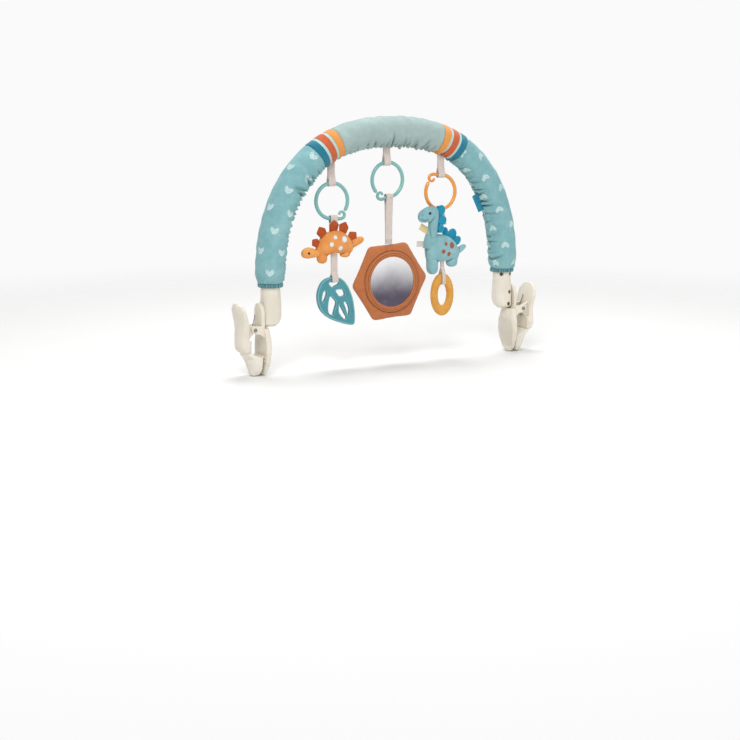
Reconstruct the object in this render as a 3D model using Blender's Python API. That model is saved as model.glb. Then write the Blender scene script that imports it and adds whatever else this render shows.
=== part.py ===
"""Padded toy arch for a pushchair: a soft arch on two spring clips, with three hanging toys.

The arch spans X, its front looks along -Y and Z is up. The origin lies midway between the two clips,
on the line of the rim that they grip. Lengths are in metres and angles in radians.
"""

import math

import bmesh
import bpy
import numpy as np
from mathutils import Matrix, Vector

# Clearances that every fit uses
SEAT_GAP = 0.0003
RUNNING_GAP = 0.0004
OVERRUN = 0.004

# Arch centreline: a superellipse on two short straight legs
ARCH_HALF_WIDTH = 0.1955
ARCH_RISE = 0.2097
ARCH_EXPONENT = 2.32
ARCH_BASE_Z = 0.082
PATTERN_SHIFT = -0.0065

# Core rod and foam
ROD_RADIUS = 0.0035
ROD_END_Z = 0.058
ROD_HEAD_RADIUS = 0.006
ROD_HEAD_LENGTH = 0.003
ROD_FIT = 0.0005
FOAM_RADIUS = 0.016
FOAM_FOOT_Z = 0.099
CORE_SIDES = 8
CORE_STEP = 0.030

# Sleeve panels, with the gathers along their inner side
SLEEVE_RADIUS = 0.0218
SLEEVE_FIT = 0.0006
SLEEVE_FOOT_Z = 0.0833
SLEEVE_FOOT_RADIUS = 0.0178
SLEEVE_TAPER = 0.018
SLEEVE_SIDES = 16
GATHER_PITCH = 0.0150
GATHER_DEPTH = 0.0034
GATHER_RISE = 0.0010
GATHER_SHARPNESS = 1.5
PANEL_SEAM = 0.0003

# Stripe bands, measured along the arch from its middle
STRIPE_START = 0.085
STRIPE_WIDTH = 0.0105
STRIPE_SPACE = 0.004
STRIPE_COUNT = 3
STRIPE_RELIEF = 0.0006

# Elastic cuff at each foot of the sleeve
CUFF_BOTTOM_Z = 0.0775
CUFF_RADIUS = 0.0172
CUFF_LIP_RADIUS = 0.0158
CUFF_GATHER = 0.0007
CUFF_GATHERS = 10

# Arm housing, two mirrored halves around the rod and the tilt hub
HOUSING_RADIUS = 0.014
HOUSING_HALF_WIDTH = 0.0145
HOUSING_HALF_DEPTH = 0.012
HOUSING_TOP_Z = 0.098
HOUSING_NECK_Z = 0.068
HOUSING_SHOULDER_Z = 0.050
HOUSING_SQUARENESS = 3.0
HOUSING_EDGE = 0.0035
HOUSING_INNER_EDGE = 0.0095
HOUSING_INNER_RISE = 0.015
HOUSING_SIDES = 16

# Tilt joint: a round hub of the clip in the foot of the housing
TILT_Z = 0.0375
TILT_FOOT_RADIUS = 0.0165
HUB_RADIUS = 0.0042
HUB_FLANGE_RADIUS = 0.0064
HUB_FLANGE_WIDTH = 0.003
HUB_REACH = 0.009

# Screws that close the housing
SCREW_HEAD_RADIUS = 0.0026
SCREW_HEAD_HEIGHT = 0.0016
SCREW_SHAFT_RADIUS = 0.0012
SCREW_LENGTH = 0.016
SCREW_SINK = 0.0012
SCREW_SOCKET_RADIUS = 0.0014
SCREW_SPREAD = 0.0077
SCREW_TOP_Z = 0.0745
SCREW_MIDDLE_Z = 0.0466
SCREW_FOOT_Z = 0.0282
SCREW_FOOT_INSET = 0.0015

# Clip: throat over the rim, jaw hinge and lever
THROAT_HALF_WIDTH = 0.0107
THROAT_TOP_Z = 0.0132
THROAT_OFFSET = 0.0270
THROAT_STEPS = 12
HINGE_OFFSET = 0.0310
HINGE_Z = 0.0200
PIN_RADIUS = 0.0015
PIN_HEAD_RADIUS = 0.0027
PIN_HEAD_HEIGHT = 0.0012
LUG_RADIUS = 0.0050
LUG_WIDTH = 0.0037
LUG_OUTER = 0.0150
LUG_SPLIT = 0.0004
JAW_THICKNESS = 0.0130
JAW_BOTTOM_Z = -0.047
JAW_HALF_WIDTH = 0.0215
JAW_TOOTH_PITCH = 0.005
JAW_TOOTH_HEIGHT = 0.0008
JAW_TEETH_TOP_Z = -0.019
JAW_TEETH = 4
ROOF_THICKNESS = 0.0056
ROOF_HALF_WIDTH = 0.013
TAB_THICKNESS = 0.0070
TAB_TOP_Z = 0.056
TAB_HALF_WIDTH = 0.013
RIB_WIDTH = 0.0024
RIB_HEIGHT = 0.0018
RIB_TOP_Z = 0.041

# Outer jaw with its finger paddle, and the soft tip pushed onto it
PADDLE_TOP_Z = 0.0575
PADDLE_HALF_WIDTH = 0.0208
PADDLE_THICKNESS = 0.0132
PADDLE_LEAN = 0.0088
OUTER_JAW_FACE = 0.0405
SEAM_Z = -0.012
TIP_BOTTOM_Z = -0.047
TIP_HALF_WIDTH = 0.0155
TIP_FACE = 0.0195
TIP_TOOTH_PITCH = 0.0055
TIP_TOOTH_HEIGHT = 0.0012
TIP_TEETH = 4
TONGUE_LENGTH = 0.0045
TONGUE_INSET = 0.0035
TONGUE_HALF_WIDTH = 0.007
TONGUE_HALF_THICKNESS = 0.0018

# Torsion spring round the jaw pin
SPRING_WIRE_RADIUS = 0.0006
SPRING_COIL_RADIUS = 0.0036
SPRING_TURNS = 5
SPRING_PITCH = 0.0021
SPRING_TURN_POINTS = 8
SPRING_LEG = 0.019
SPRING_SIDES = 6

# Linking rings, each an open ring whose one end runs into a small curl
RING_RADIUS = 0.0253
RING_WIRE = 0.0027
CURL_RADIUS = 0.0052
CURL_END_RADIUS = 0.0036
CURL_WIRE_SHARE = 0.62
CURL_SWEEP = math.radians(235)
CURL_RUN_IN = math.radians(30)
CURL_GAP = 0.0006
RING_STEP = math.radians(15)
RING_SIDES = 8

# Ribbons
RIBBON_WIDTH = 0.011
RIBBON_THICKNESS = 0.001
RIBBON_SPREAD = 0.0009
THIN_RIBBON_WIDTH = 0.0058
NECK_LOOP_WIDTH = 0.008

# Places of the three toys: ring centres, from the arch's half width, with the ribbons set off from them
LEFT_RING_SHARE = -0.49872
CENTRE_RING_SHARE = -0.03325
RIGHT_RING_SHARE = 0.42967
LEFT_HANGER_SHIFT = 0.0010
CENTRE_HANGER_SHIFT = 0.0015
LEFT_RIBBON_SHIFT = 0.0022
CENTRE_RIBBON_SHIFT = 0.0022
LEAF_RIBBON_SHIFT = 0.0032
LEFT_RING = (ARCH_HALF_WIDTH * LEFT_RING_SHARE, 0.1948)
CENTRE_RING = (ARCH_HALF_WIDTH * CENTRE_RING_SHARE, 0.2222)
RIGHT_RING = (ARCH_HALF_WIDTH * RIGHT_RING_SHARE, 0.2020)
LEFT_HANGER_X = LEFT_RING[0] - LEFT_HANGER_SHIFT
CENTRE_HANGER_X = CENTRE_RING[0] - CENTRE_HANGER_SHIFT
RIGHT_HANGER_X = RIGHT_RING[0]
LEFT_RIBBON_X = LEFT_RING[0] + LEFT_RIBBON_SHIFT
CENTRE_RIBBON_X = CENTRE_RING[0] + CENTRE_RIBBON_SHIFT
RIGHT_RIBBON_X = RIGHT_RING[0]
LEAF_RIBBON_X = LEFT_RING[0] + LEAF_RIBBON_SHIFT
LEFT_CURL = math.radians(-52.6)
CENTRE_CURL = math.radians(-118)
RIGHT_CURL = math.radians(126)

# Stegosaurus: a stuffed body with tail, head, two legs and five felt plates
STEG_LENGTH = 0.0595
STEG_HEIGHT = 0.0385
STEG_HALF_THICKNESS = 0.013
STEG_CHEST_REACH = 0.0265
STEG_CHEST_X = LEFT_RING[0] - STEG_CHEST_REACH
STEG_BELLY_Z = 0.1145
STEG_HEAD_LENGTH = 0.0265
STEG_HEAD_HEIGHT = 0.016
STEG_HEAD_HALF_THICKNESS = 0.0075
STEG_HEAD_REACH = 0.0220
STEG_HEAD_X = STEG_CHEST_X - STEG_HEAD_REACH
STEG_HEAD_Z = 0.1142
STEG_TAIL_LENGTH = 0.0228
STEG_TAIL_RADIUS = 0.0062
STEG_TAIL_RISE = math.radians(22)
STEG_LEG_HALF_WIDTH = 0.0083
STEG_LEG_HALF_THICKNESS = 0.0078
STEG_FRONT_LEG_Z = 0.1058
STEG_REAR_LEG_Z = 0.1126
STEG_PLATE_HEIGHT = 0.0122
STEG_PLATE_WIDTH = 0.0125
STEG_PLATE_THICKNESS = 0.0024
STEG_PLATE_SINK = 0.002

# Leaf teether on a ribbon below the stegosaurus
LEAF_WIDTH = 0.0617
LEAF_HEIGHT = 0.072
LEAF_REACH = 0.0255
LEAF_X = LEFT_RING[0] - LEAF_REACH
LEAF_Z = 0.0142
LEAF_THICKNESS = 0.007
LEAF_EDGE = 0.0013

# Mirror cushion: hexagonal pouch, mirror disc and the stitched ring that holds it
HEX_RADIUS = 0.0640
HEX_TURN = math.radians(4)
HEX_CORNER_SHARE = 0.14
POUCH_HALF_DEPTH = 0.0085
POUCH_SEAM = 0.0012
POUCH_POINTS = 36
MIRROR_SHIFT = 0.0042
MIRROR_X = CENTRE_RING[0] + MIRROR_SHIFT
MIRROR_Z = 0.0739
MIRROR_RADIUS = 0.0385
MIRROR_THICKNESS = 0.0024
MIRROR_SINK = 0.001
MIRROR_VIEW_RADIUS = 0.0365
FRAME_OUTER_RADIUS = 0.0440
FRAME_HEIGHT = 0.0036
FRAME_SECTION = 5

# Long-necked dinosaur
DINO_LENGTH = 0.0568
DINO_HEIGHT = 0.0458
DINO_HALF_THICKNESS = 0.013
DINO_CHEST_REACH = 0.0242
DINO_CHEST_X = RIGHT_RING[0] - DINO_CHEST_REACH
DINO_BELLY_Z = 0.095
DINO_NECK_TOP_Z = 0.172
DINO_NECK_BOTTOM_Z = 0.133
DINO_NECK_SHIFT = 0.0052
DINO_NECK_X = DINO_CHEST_X + DINO_NECK_SHIFT
DINO_NECK_HALF_WIDTH = 0.0105
DINO_NECK_HALF_THICKNESS = 0.0088
DINO_HEAD_REACH = 0.0214
DINO_HEAD_X = DINO_CHEST_X - DINO_HEAD_REACH
DINO_HEAD_Z = 0.1587
DINO_HEAD_LENGTH = 0.0326
DINO_HEAD_HEIGHT = 0.024
DINO_HEAD_HALF_THICKNESS = 0.0078
DINO_FORWARD = 0.0128
DINO_LEG_HALF_WIDTH = 0.0096
DINO_LEG_HALF_THICKNESS = 0.0085
DINO_FRONT_LEG_SHIFT = 0.0105
DINO_FRONT_LEG_X = DINO_CHEST_X + DINO_FRONT_LEG_SHIFT
DINO_REAR_LEG_SHIFT = 0.0454
DINO_REAR_LEG_X = DINO_CHEST_X + DINO_REAR_LEG_SHIFT
DINO_FRONT_LEG_Z = 0.0796
DINO_REAR_LEG_Z = 0.0892
DINO_TAIL_LENGTH = 0.018
DINO_TAIL_RADIUS = 0.0052
DINO_TAIL_RISE = math.radians(31)
CREST_THICKNESS = 0.0022
CREST_BAND = 0.0062
NECK_CREST_REACH = 0.0092
BACK_CREST_REACH = 0.0125
CREST_LOBE_POINTS = 9

# Oval ring teether below the long-necked dinosaur
OVAL_SHIFT = 0.0042
OVAL_X = RIGHT_RING[0] + OVAL_SHIFT
OVAL_Z = 0.0488
OVAL_HALF_WIDTH = 0.0193
OVAL_HALF_HEIGHT = 0.0322
OVAL_HOLE_HALF_WIDTH = 0.0086
OVAL_HOLE_HALF_HEIGHT = 0.0162
OVAL_THICKNESS = 0.0095
OVAL_EDGE = 0.003
OVAL_POINTS = 24

# Sewn tags
TAG_THICKNESS = 0.0016
ARCH_TAG_WIDTH = 0.027
ARCH_TAG_REACH = 0.0095
ARCH_TAG_START = 0.198
CREAM_TAG_WIDTH = 0.0098
CREAM_TAG_REACH = 0.0142
CREAM_TAG_Z = 0.1462
CREAM_TAG_TURN = math.radians(-30)
WHITE_TAG_WIDTH = 0.0085
WHITE_TAG_REACH = 0.0165
WHITE_TAG_Z = 0.1258
WHITE_TAG_TURN = math.radians(-3)

# Outline tables, as shares of the piece's own length or width and height
STEG_BODY_SHARES = (
    (0.0, 0.09, 0.25, 0.30),
    (0.06, 0.02, 0.48, 0.62),
    (0.17, 0.02, 0.78, 0.85),
    (0.34, 0.08, 0.95, 0.97),
    (0.53, 0.12, 1.0, 1.0),
    (0.71, 0.10, 0.95, 0.97),
    (0.86, 0.07, 0.78, 0.85),
    (0.95, 0.13, 0.53, 0.62),
    (1.0, 0.24, 0.38, 0.30),
)
STEG_HEAD_SHARES = (
    (0.0, 0.38, 0.58, 0.33),
    (0.09, 0.11, 0.84, 0.74),
    (0.32, 0.0, 1.0, 1.0),
    (0.56, 0.03, 0.97, 1.0),
    (0.78, 0.06, 0.80, 0.87),
    (1.0, 0.12, 0.70, 0.74),
)
STEG_PLATE_PLACES_SHARE = (0.06, 0.20, 0.47, 0.74, 0.94)
STEG_PLATE_SIZES_SHARE = (0.85, 1.1, 1.1, 1.1, 0.95)
STEG_PLATE_LEANS = (
    math.radians(-56),
    math.radians(-36),
    math.radians(-9),
    math.radians(12),
    math.radians(38),
)
LIMB_SHARES = ((0.0, 0.30), (0.10, 0.68), (0.30, 0.94), (0.62, 1.0), (1.0, 0.96))
TAIL_SHARES = ((-0.30, 0.9), (0.0, 1.0), (0.35, 0.98), (0.68, 0.85), (0.92, 0.6), (1.0, 0.25))
LEAF_OUTLINE_SHARES = (
    (0.40, 1.0),
    (0.16, 0.93),
    (0.02, 0.73),
    (0.02, 0.49),
    (0.14, 0.29),
    (0.36, 0.15),
    (0.65, 0.05),
    (0.87, 0.0),
    (0.97, 0.01),
    (1.0, 0.09),
    (0.99, 0.32),
    (0.92, 0.60),
    (0.77, 0.85),
    (0.60, 0.97),
)
LEAF_HOLES_SHARES = (
    ((0.31, 0.86), (0.34, 0.905), (0.56, 0.905), (0.59, 0.86), (0.47, 0.815), (0.40, 0.78)),
    ((0.48, 0.72), (0.53, 0.735), (0.66, 0.735), (0.71, 0.70), (0.735, 0.61), (0.62, 0.59), (0.57, 0.61)),
    ((0.18, 0.72), (0.23, 0.725), (0.26, 0.68), (0.22, 0.58), (0.165, 0.49), (0.125, 0.55), (0.15, 0.67)),
    (
        (0.34, 0.61),
        (0.38, 0.60),
        (0.495, 0.50),
        (0.50, 0.45),
        (0.435, 0.29),
        (0.42, 0.215),
        (0.31, 0.265),
        (0.285, 0.35),
        (0.30, 0.50),
    ),
    ((0.57, 0.42), (0.60, 0.425), (0.695, 0.275), (0.785, 0.145), (0.735, 0.115), (0.63, 0.20), (0.57, 0.28)),
    ((0.695, 0.475), (0.755, 0.48), (0.82, 0.41), (0.85, 0.30), (0.84, 0.19), (0.805, 0.205), (0.755, 0.35)),
)
LEAF_BAR_SHARE = (0.9525, 0.435)
DINO_BODY_SHARES = (
    (0.0, 0.19, 0.88, 0.42),
    (0.06, 0.06, 0.97, 0.70),
    (0.18, 0.0, 1.0, 0.88),
    (0.36, 0.06, 0.99, 0.96),
    (0.53, 0.08, 0.96, 1.0),
    (0.69, 0.07, 0.88, 0.97),
    (0.83, 0.06, 0.74, 0.87),
    (0.94, 0.12, 0.57, 0.62),
    (1.0, 0.25, 0.44, 0.28),
)
DINO_NECK_SHARES = ((0.0, 1.0, 1.0), (0.22, 0.85, 0.93), (0.48, 0.73, 0.86), (0.72, 0.71, 0.86), (1.0, 0.72, 0.86))
DINO_HEAD_SHARES = (
    (0.0, 0.29, 0.47, 0.32),
    (0.08, 0.08, 0.66, 0.70),
    (0.27, 0.0, 0.84, 0.92),
    (0.50, 0.02, 0.97, 1.0),
    (0.73, 0.08, 1.0, 1.0),
    (0.90, 0.20, 0.93, 0.83),
    (1.0, 0.35, 0.76, 0.45),
)
NECK_LOBES_SHARES = ((0.14, 0.14, 0.5), (0.455, 0.165, 1.0), (0.815, 0.185, 0.62))
BACK_LOBES_SHARES = ((0.575, 0.10, 0.88), (0.765, 0.085, 1.15), (0.905, 0.05, 0.80))
CROWN_PLACES_SHARE = (-1.0, -0.8, -0.45, 0.0, 0.45, 0.8, 1.0)
JAW_PROFILE_SHARES = (
    (0.0, 0.18, 0.34),
    (0.03, 0.38, 0.46),
    (0.11, 0.62, 0.62),
    (0.28, 0.87, 0.84),
    (0.50, 1.0, 1.0),
    (0.72, 0.95, 1.0),
    (0.88, 0.80, 0.86),
    (1.0, 0.68, 0.76),
)
TAB_PROFILE_SHARES = ((0.0, 1.0), (0.62, 1.0), (0.80, 0.90), (0.92, 0.66), (1.0, 0.28))
PADDLE_PROFILE_SHARES = (
    (0.0, 0.84, 1.0),
    (0.14, 0.86, 1.0),
    (0.30, 0.80, 1.0),
    (0.46, 0.84, 0.92),
    (0.60, 0.95, 0.80),
    (0.74, 1.0, 0.74),
    (0.86, 0.92, 0.68),
    (0.95, 0.66, 0.58),
    (1.0, 0.28, 0.42),
)
TIP_PROFILE_SHARES = (
    (0.0, 0.20, 0.36, 0.28),
    (0.06, 0.10, 0.42, 0.52),
    (0.22, 0.02, 0.46, 0.76),
    (0.50, 0.0, 0.54, 0.92),
    (0.76, 0.0, 0.68, 1.0),
    (0.86, 0.28, 0.76, 1.0),
    (1.0, 0.53, 0.80, 1.0),
)

# Colours of the pieces as linear values, with roughness and metallic
FINISHES = {
    "pale_aqua_plush": ((0.40, 0.60, 0.57), 0.95, 0.0),
    "aqua_plush": ((0.24, 0.52, 0.54), 0.95, 0.0),
    "striped_plush": ((0.70, 0.25, 0.10), 0.95, 0.0),
    "elastic": ((0.20, 0.46, 0.48), 0.9, 0.0),
    "foam": ((0.78, 0.75, 0.62), 0.98, 0.0),
    "rod_plastic": ((0.10, 0.10, 0.11), 0.45, 0.0),
    "ivory_plastic": ((0.80, 0.76, 0.66), 0.42, 0.0),
    "soft_ivory": ((0.82, 0.79, 0.70), 0.65, 0.0),
    "steel": ((0.55, 0.55, 0.56), 0.3, 1.0),
    "ribbon": ((0.69, 0.59, 0.54), 0.9, 0.0),
    "mint_plastic": ((0.27, 0.60, 0.52), 0.35, 0.0),
    "orange_plastic": ((0.86, 0.38, 0.06), 0.35, 0.0),
    "orange_plush": ((0.85, 0.31, 0.09), 0.95, 0.0),
    "teal_rubber": ((0.09, 0.34, 0.34), 0.5, 0.0),
    "terracotta_cloth": ((0.58, 0.20, 0.08), 0.9, 0.0),
    "mirror": ((0.80, 0.82, 0.84), 0.05, 1.0),
    "blue_plush": ((0.22, 0.45, 0.48), 0.95, 0.0),
    "blue_felt": ((0.01, 0.28, 0.50), 0.95, 0.0),
    "cream_cloth": ((0.87, 0.74, 0.40), 0.9, 0.0),
    "white_cloth": ((0.85, 0.78, 0.72), 0.9, 0.0),
    "blue_cloth": ((0.03, 0.33, 0.55), 0.9, 0.0),
    "orange_rubber": ((0.80, 0.40, 0.08), 0.5, 0.0),
}


def clear_scene():
    for item in list(bpy.data.objects):
        bpy.data.objects.remove(item, do_unlink=True)


def finish(name):
    found = bpy.data.materials.get(name)
    if found:
        return found
    colour, roughness, metallic = FINISHES[name]
    made = bpy.data.materials.new(name)
    made.use_nodes = True
    shader = made.node_tree.nodes["Principled BSDF"]
    shader.inputs["Base Color"].default_value = (*colour, 1)
    shader.inputs["Roughness"].default_value = roughness
    shader.inputs["Metallic"].default_value = metallic
    return made


# Mesh tools


def mesh_object(name, shape):
    shape.normal_update()
    bmesh.ops.recalc_face_normals(shape, faces=shape.faces)
    mesh = bpy.data.meshes.new(name)
    shape.to_mesh(mesh)
    shape.free()
    made = bpy.data.objects.new(name, mesh)
    bpy.context.scene.collection.objects.link(made)
    return made


def boolean(base, operation, *tools):
    """Cut or join closed shapes and return the result as a new shape."""
    target = mesh_object("target", base)
    helpers = []
    for tool in tools:
        helper = mesh_object("helper", tool)
        step = target.modifiers.new(operation, "BOOLEAN")
        step.operation = operation
        step.solver = "EXACT"
        step.object = helper
        helpers.append(helper)
    graph = bpy.context.evaluated_depsgraph_get()
    result = bmesh.new()
    result.from_object(target, graph)
    for item in [target, *helpers]:
        data = item.data
        bpy.data.objects.remove(item, do_unlink=True)
        bpy.data.meshes.remove(data)
    bmesh.ops.dissolve_degenerate(result, dist=SEAT_GAP / CORE_SIDES / CORE_SIDES, edges=result.edges)
    return result


def union(base, *tools):
    return boolean(base, "UNION", *tools)


def cut(base, *tools):
    return boolean(base, "DIFFERENCE", *tools)


def strip_faces(shape, first, second):
    count = len(first)
    for i in range(count):
        j = (i + 1) % count
        shape.faces.new((first[i], first[j], second[j], second[i]))


def loft(rings):
    """Skin a row of rings with equal point counts and close both ends."""
    shape = bmesh.new()
    rows = [[shape.verts.new(point) for point in ring] for ring in rings]
    for first, second in zip(rows, rows[1:]):
        strip_faces(shape, first, second)
    shape.faces.new(list(reversed(rows[0])))
    shape.faces.new(rows[-1])
    return shape


def hoop(rings):
    """Skin a row of rings that closes on itself."""
    shape = bmesh.new()
    rows = [[shape.verts.new(point) for point in ring] for ring in rings]
    for first, second in zip(rows, rows[1:] + rows[:1]):
        strip_faces(shape, first, second)
    return shape


def shell(outer, inner):
    """Skin an open pipe from its outer and inner rings, which share their point count."""
    shape = bmesh.new()
    outer_rows = [[shape.verts.new(point) for point in ring] for ring in outer]
    inner_rows = [[shape.verts.new(point) for point in ring] for ring in inner]
    for rows in (outer_rows, inner_rows):
        for first, second in zip(rows, rows[1:]):
            strip_faces(shape, first, second)
    strip_faces(shape, outer_rows[0], inner_rows[0])
    strip_faces(shape, outer_rows[-1], inner_rows[-1])
    return shape


def prism(outline, start, end):
    """Extrude an outline of X and Z along Y."""
    return loft([[Vector((x, y, z)) for x, z in outline] for y in (start, end)])


def slab(outline, start, end):
    """Extrude an outline of Y and Z along X."""
    return loft([[Vector((x, y, z)) for y, z in outline] for x in (start, end)])


def box(low, high):
    corners = [(low[0], low[2]), (high[0], low[2]), (high[0], high[2]), (low[0], high[2])]
    return prism(corners, low[1], high[1])


def circle(centre, side, other, radius, count):
    ring = []
    for i in range(count):
        angle = math.tau * (i + 0.5) / count
        ring.append(centre + side * math.cos(angle) * radius + other * math.sin(angle) * radius)
    return ring


def rod(start, end, radius, count=16):
    start, end = Vector(start), Vector(end)
    along = (end - start).normalized()
    helper = Vector((0, 0, 1)) if abs(along.z) < abs(along.x) + abs(along.y) else Vector((1, 0, 0))
    side = along.cross(helper).normalized()
    other = along.cross(side)
    return loft([circle(point, side, other, radius, count) for point in (start, end)])


def turned(start, direction, steps, count=12):
    """Turn a profile of (distance, radius) steps about a straight axis."""
    start, along = Vector(start), Vector(direction).normalized()
    helper = Vector((0, 0, 1)) if abs(along.z) < abs(along.x) + abs(along.y) else Vector((1, 0, 0))
    side = along.cross(helper).normalized()
    other = along.cross(side)
    return loft([circle(start + along * place, side, other, radius, count) for place, radius in steps])


def smooth_closed(points, steps):
    """Read a smooth closed curve through hand-chosen points."""
    count = len(points)
    curve = []
    for i in range(count):
        before, here, after, beyond = (np.array(points[(i + k) % count]) for k in (-1, 0, 1, 2))
        for j in range(steps):
            t = j / steps
            curve.append(
                tuple(
                    (
                        2 * here
                        + (after - before) * t
                        + (2 * before - 5 * here + 4 * after - beyond) * t**2
                        + (3 * here - before - 3 * after + beyond) * t**3
                    )
                    / 2
                )
            )
    return curve


def inset_outline(points, distance):
    """Move each point of a closed outline inward along its own normal."""
    array = np.array(points)
    ahead = np.roll(array, -1, axis=0) - np.roll(array, 1, axis=0)
    normal = np.column_stack([-ahead[:, 1], ahead[:, 0]])
    normal /= np.linalg.norm(normal, axis=1)[:, None]
    area = np.sum(array[:, 0] * np.roll(array[:, 1], -1) - np.roll(array[:, 0], -1) * array[:, 1])
    moved = array + normal * distance * (1 if area > 0 else -1)
    return [tuple(point) for point in moved]


def oval_ring(centre, half_a, half_b, side, other, count, squareness=2.0):
    ring = []
    for i in range(count):
        angle = math.tau * (i + 0.5) / count
        c, s = math.cos(angle), math.sin(angle)
        a = math.copysign(abs(c) ** (2 / squareness), c) * half_a
        b = math.copysign(abs(s) ** (2 / squareness), s) * half_b
        ring.append(centre + side * a + other * b)
    return ring


def sweep(points, radii, sides):
    """Skin a round tube of changing radius along a path of points."""
    points = [Vector(point) for point in points]
    rings = []
    normal = None
    for i, point in enumerate(points):
        ahead = points[min(i + 1, len(points) - 1)] - points[max(i - 1, 0)]
        ahead.normalize()
        if normal is None:
            helper = Vector((0, 1, 0)) if abs(ahead.y) < abs(ahead.x) + abs(ahead.z) else Vector((1, 0, 0))
            normal = ahead.cross(helper).normalized()
        normal = (normal - ahead * normal.dot(ahead)).normalized()
        rings.append(circle(point, normal, ahead.cross(normal), radii[i], sides))
    return loft(rings)


def strap(path, half_thickness, centre_x, width):
    """A flat ribbon across X that follows a path of Y and Z."""
    array = np.array(path)
    ahead = np.gradient(array, axis=0)
    ahead /= np.linalg.norm(ahead, axis=1)[:, None]
    normal = np.column_stack([-ahead[:, 1], ahead[:, 0]]) * half_thickness
    outline = [tuple(point) for point in array + normal]
    outline += [tuple(point) for point in (array - normal)[::-1]]
    return slab(outline, centre_x - width / 2, centre_x + width / 2)


def arc(centre, radius, start, end, count):
    """Points of Y and Z on an arc."""
    points = []
    for i in range(count + 1):
        angle = start + (end - start) * i / count
        points.append((centre[0] + radius * math.cos(angle), centre[1] + radius * math.sin(angle)))
    return points


# Arch centreline


class Centreline:
    """The arch's middle line, read by the distance along it from the apex."""

    def __init__(self, samples=2400):
        turn = np.linspace(-math.pi / 2, math.pi / 2, samples)
        power = 2 / ARCH_EXPONENT
        x = ARCH_HALF_WIDTH * np.sign(turn) * np.abs(np.sin(turn)) ** power
        z = ARCH_BASE_Z + ARCH_RISE * np.abs(np.cos(turn)) ** power
        x = np.concatenate([[-ARCH_HALF_WIDTH], x, [ARCH_HALF_WIDTH]])
        z = np.concatenate([[0], z, [0]])
        length = np.concatenate([[0], np.cumsum(np.hypot(np.diff(x), np.diff(z)))])
        self.x, self.z = x, z
        self.s = length - length[-1] / 2

    def place(self, s):
        return Vector((float(np.interp(s, self.s, self.x)), 0, float(np.interp(s, self.s, self.z))))

    def outward(self, s):
        step = SLEEVE_RADIUS / SLEEVE_SIDES
        ahead = self.place(s + step) - self.place(s - step)
        return Vector((-ahead.z, 0, ahead.x)).normalized()

    def at_height(self, z):
        """Distance from the apex, on the right leg, of the point at a height."""
        half = len(self.s) // 2
        return float(np.interp(-z, -self.z[half:], self.s[half:]))

    def ring(self, s, radius, sides):
        """A cross-section ring; the radius is a number or a function of the share of inner side."""
        centre, outward = self.place(s), self.outward(s)
        ring = []
        for i in range(sides):
            angle = math.tau * i / sides
            inner = (1 - math.cos(angle)) / 2
            reach = radius(inner) if callable(radius) else radius
            ring.append(centre + (outward * math.cos(angle) + Vector((0, math.sin(angle), 0))) * reach)
        return ring


LINE = Centreline()


def even_stations(start, end, step):
    count = max(1, round(abs(end - start) / step))
    return [start + (end - start) * i / count for i in range(count + 1)]


def panel_limits():
    """Distances of the seams between the sleeve panels, from the left foot to the right."""
    foot = LINE.at_height(SLEEVE_FOOT_Z)
    inner = STRIPE_START
    outer = STRIPE_START + STRIPE_COUNT * STRIPE_WIDTH + (STRIPE_COUNT - 1) * STRIPE_SPACE
    return [-foot, PATTERN_SHIFT - outer, PATTERN_SHIFT - inner, PATTERN_SHIFT + inner, PATTERN_SHIFT + outer, foot]


def core_stations():
    """Stations that the core and the inside of each panel share, so that their facets run alike."""
    limits = panel_limits()
    stations = []
    for start, end in zip(limits, limits[1:]):
        stations += even_stations(start, end, CORE_STEP)[:-1]
    return stations + limits[-1:]


def arch_rod():
    foot = LINE.at_height(ROD_END_Z)
    neck = LINE.at_height(ROD_END_Z + ROD_HEAD_LENGTH)
    stations = core_stations()
    rings = [LINE.ring(-foot, ROD_HEAD_RADIUS, CORE_SIDES), LINE.ring(-neck, ROD_HEAD_RADIUS, CORE_SIDES)]
    rings += [LINE.ring(s, ROD_RADIUS, CORE_SIDES) for s in [-neck, *stations, neck]]
    rings += [LINE.ring(neck, ROD_HEAD_RADIUS, CORE_SIDES), LINE.ring(foot, ROD_HEAD_RADIUS, CORE_SIDES)]
    return loft(rings)


def arch_foam():
    foot = LINE.at_height(FOAM_FOOT_Z)
    stations = [-foot, *[s for s in core_stations() if abs(s) < foot - SLEEVE_WALL], foot]
    outer = [LINE.ring(s, FOAM_RADIUS, CORE_SIDES) for s in stations]
    inner = [LINE.ring(s, ROD_RADIUS + ROD_FIT, CORE_SIDES) for s in stations]
    return shell(outer, inner)


SLEEVE_WALL = SLEEVE_RADIUS - FOAM_RADIUS - SLEEVE_FIT


def sleeve_radius(s, folded, foot):
    """Outer radius at a station: full, gathered on the inner side and tapered towards the foot."""
    full, gather = SLEEVE_RADIUS, GATHER_RISE - GATHER_DEPTH * folded
    left = foot - abs(s)
    if left < SLEEVE_TAPER:
        share = max(0.0, left / SLEEVE_TAPER)
        full = SLEEVE_FOOT_RADIUS + (SLEEVE_RADIUS - SLEEVE_FOOT_RADIUS) * math.sin(share * math.pi / 2)
        gather *= (1 + share) / 2
    return lambda inner: full + gather * inner**GATHER_SHARPNESS


def sleeve_inside(stations):
    """Bore rings that hug the foam and, below its foot, the arm housing."""
    foam_foot = LINE.at_height(FOAM_FOOT_Z)
    rings = []
    for s in stations:
        radius = FOAM_RADIUS if abs(s) <= foam_foot + PANEL_SEAM else HOUSING_RADIUS
        rings.append(LINE.ring(s, radius + SLEEVE_FIT, SLEEVE_SIDES))
    return rings


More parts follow.
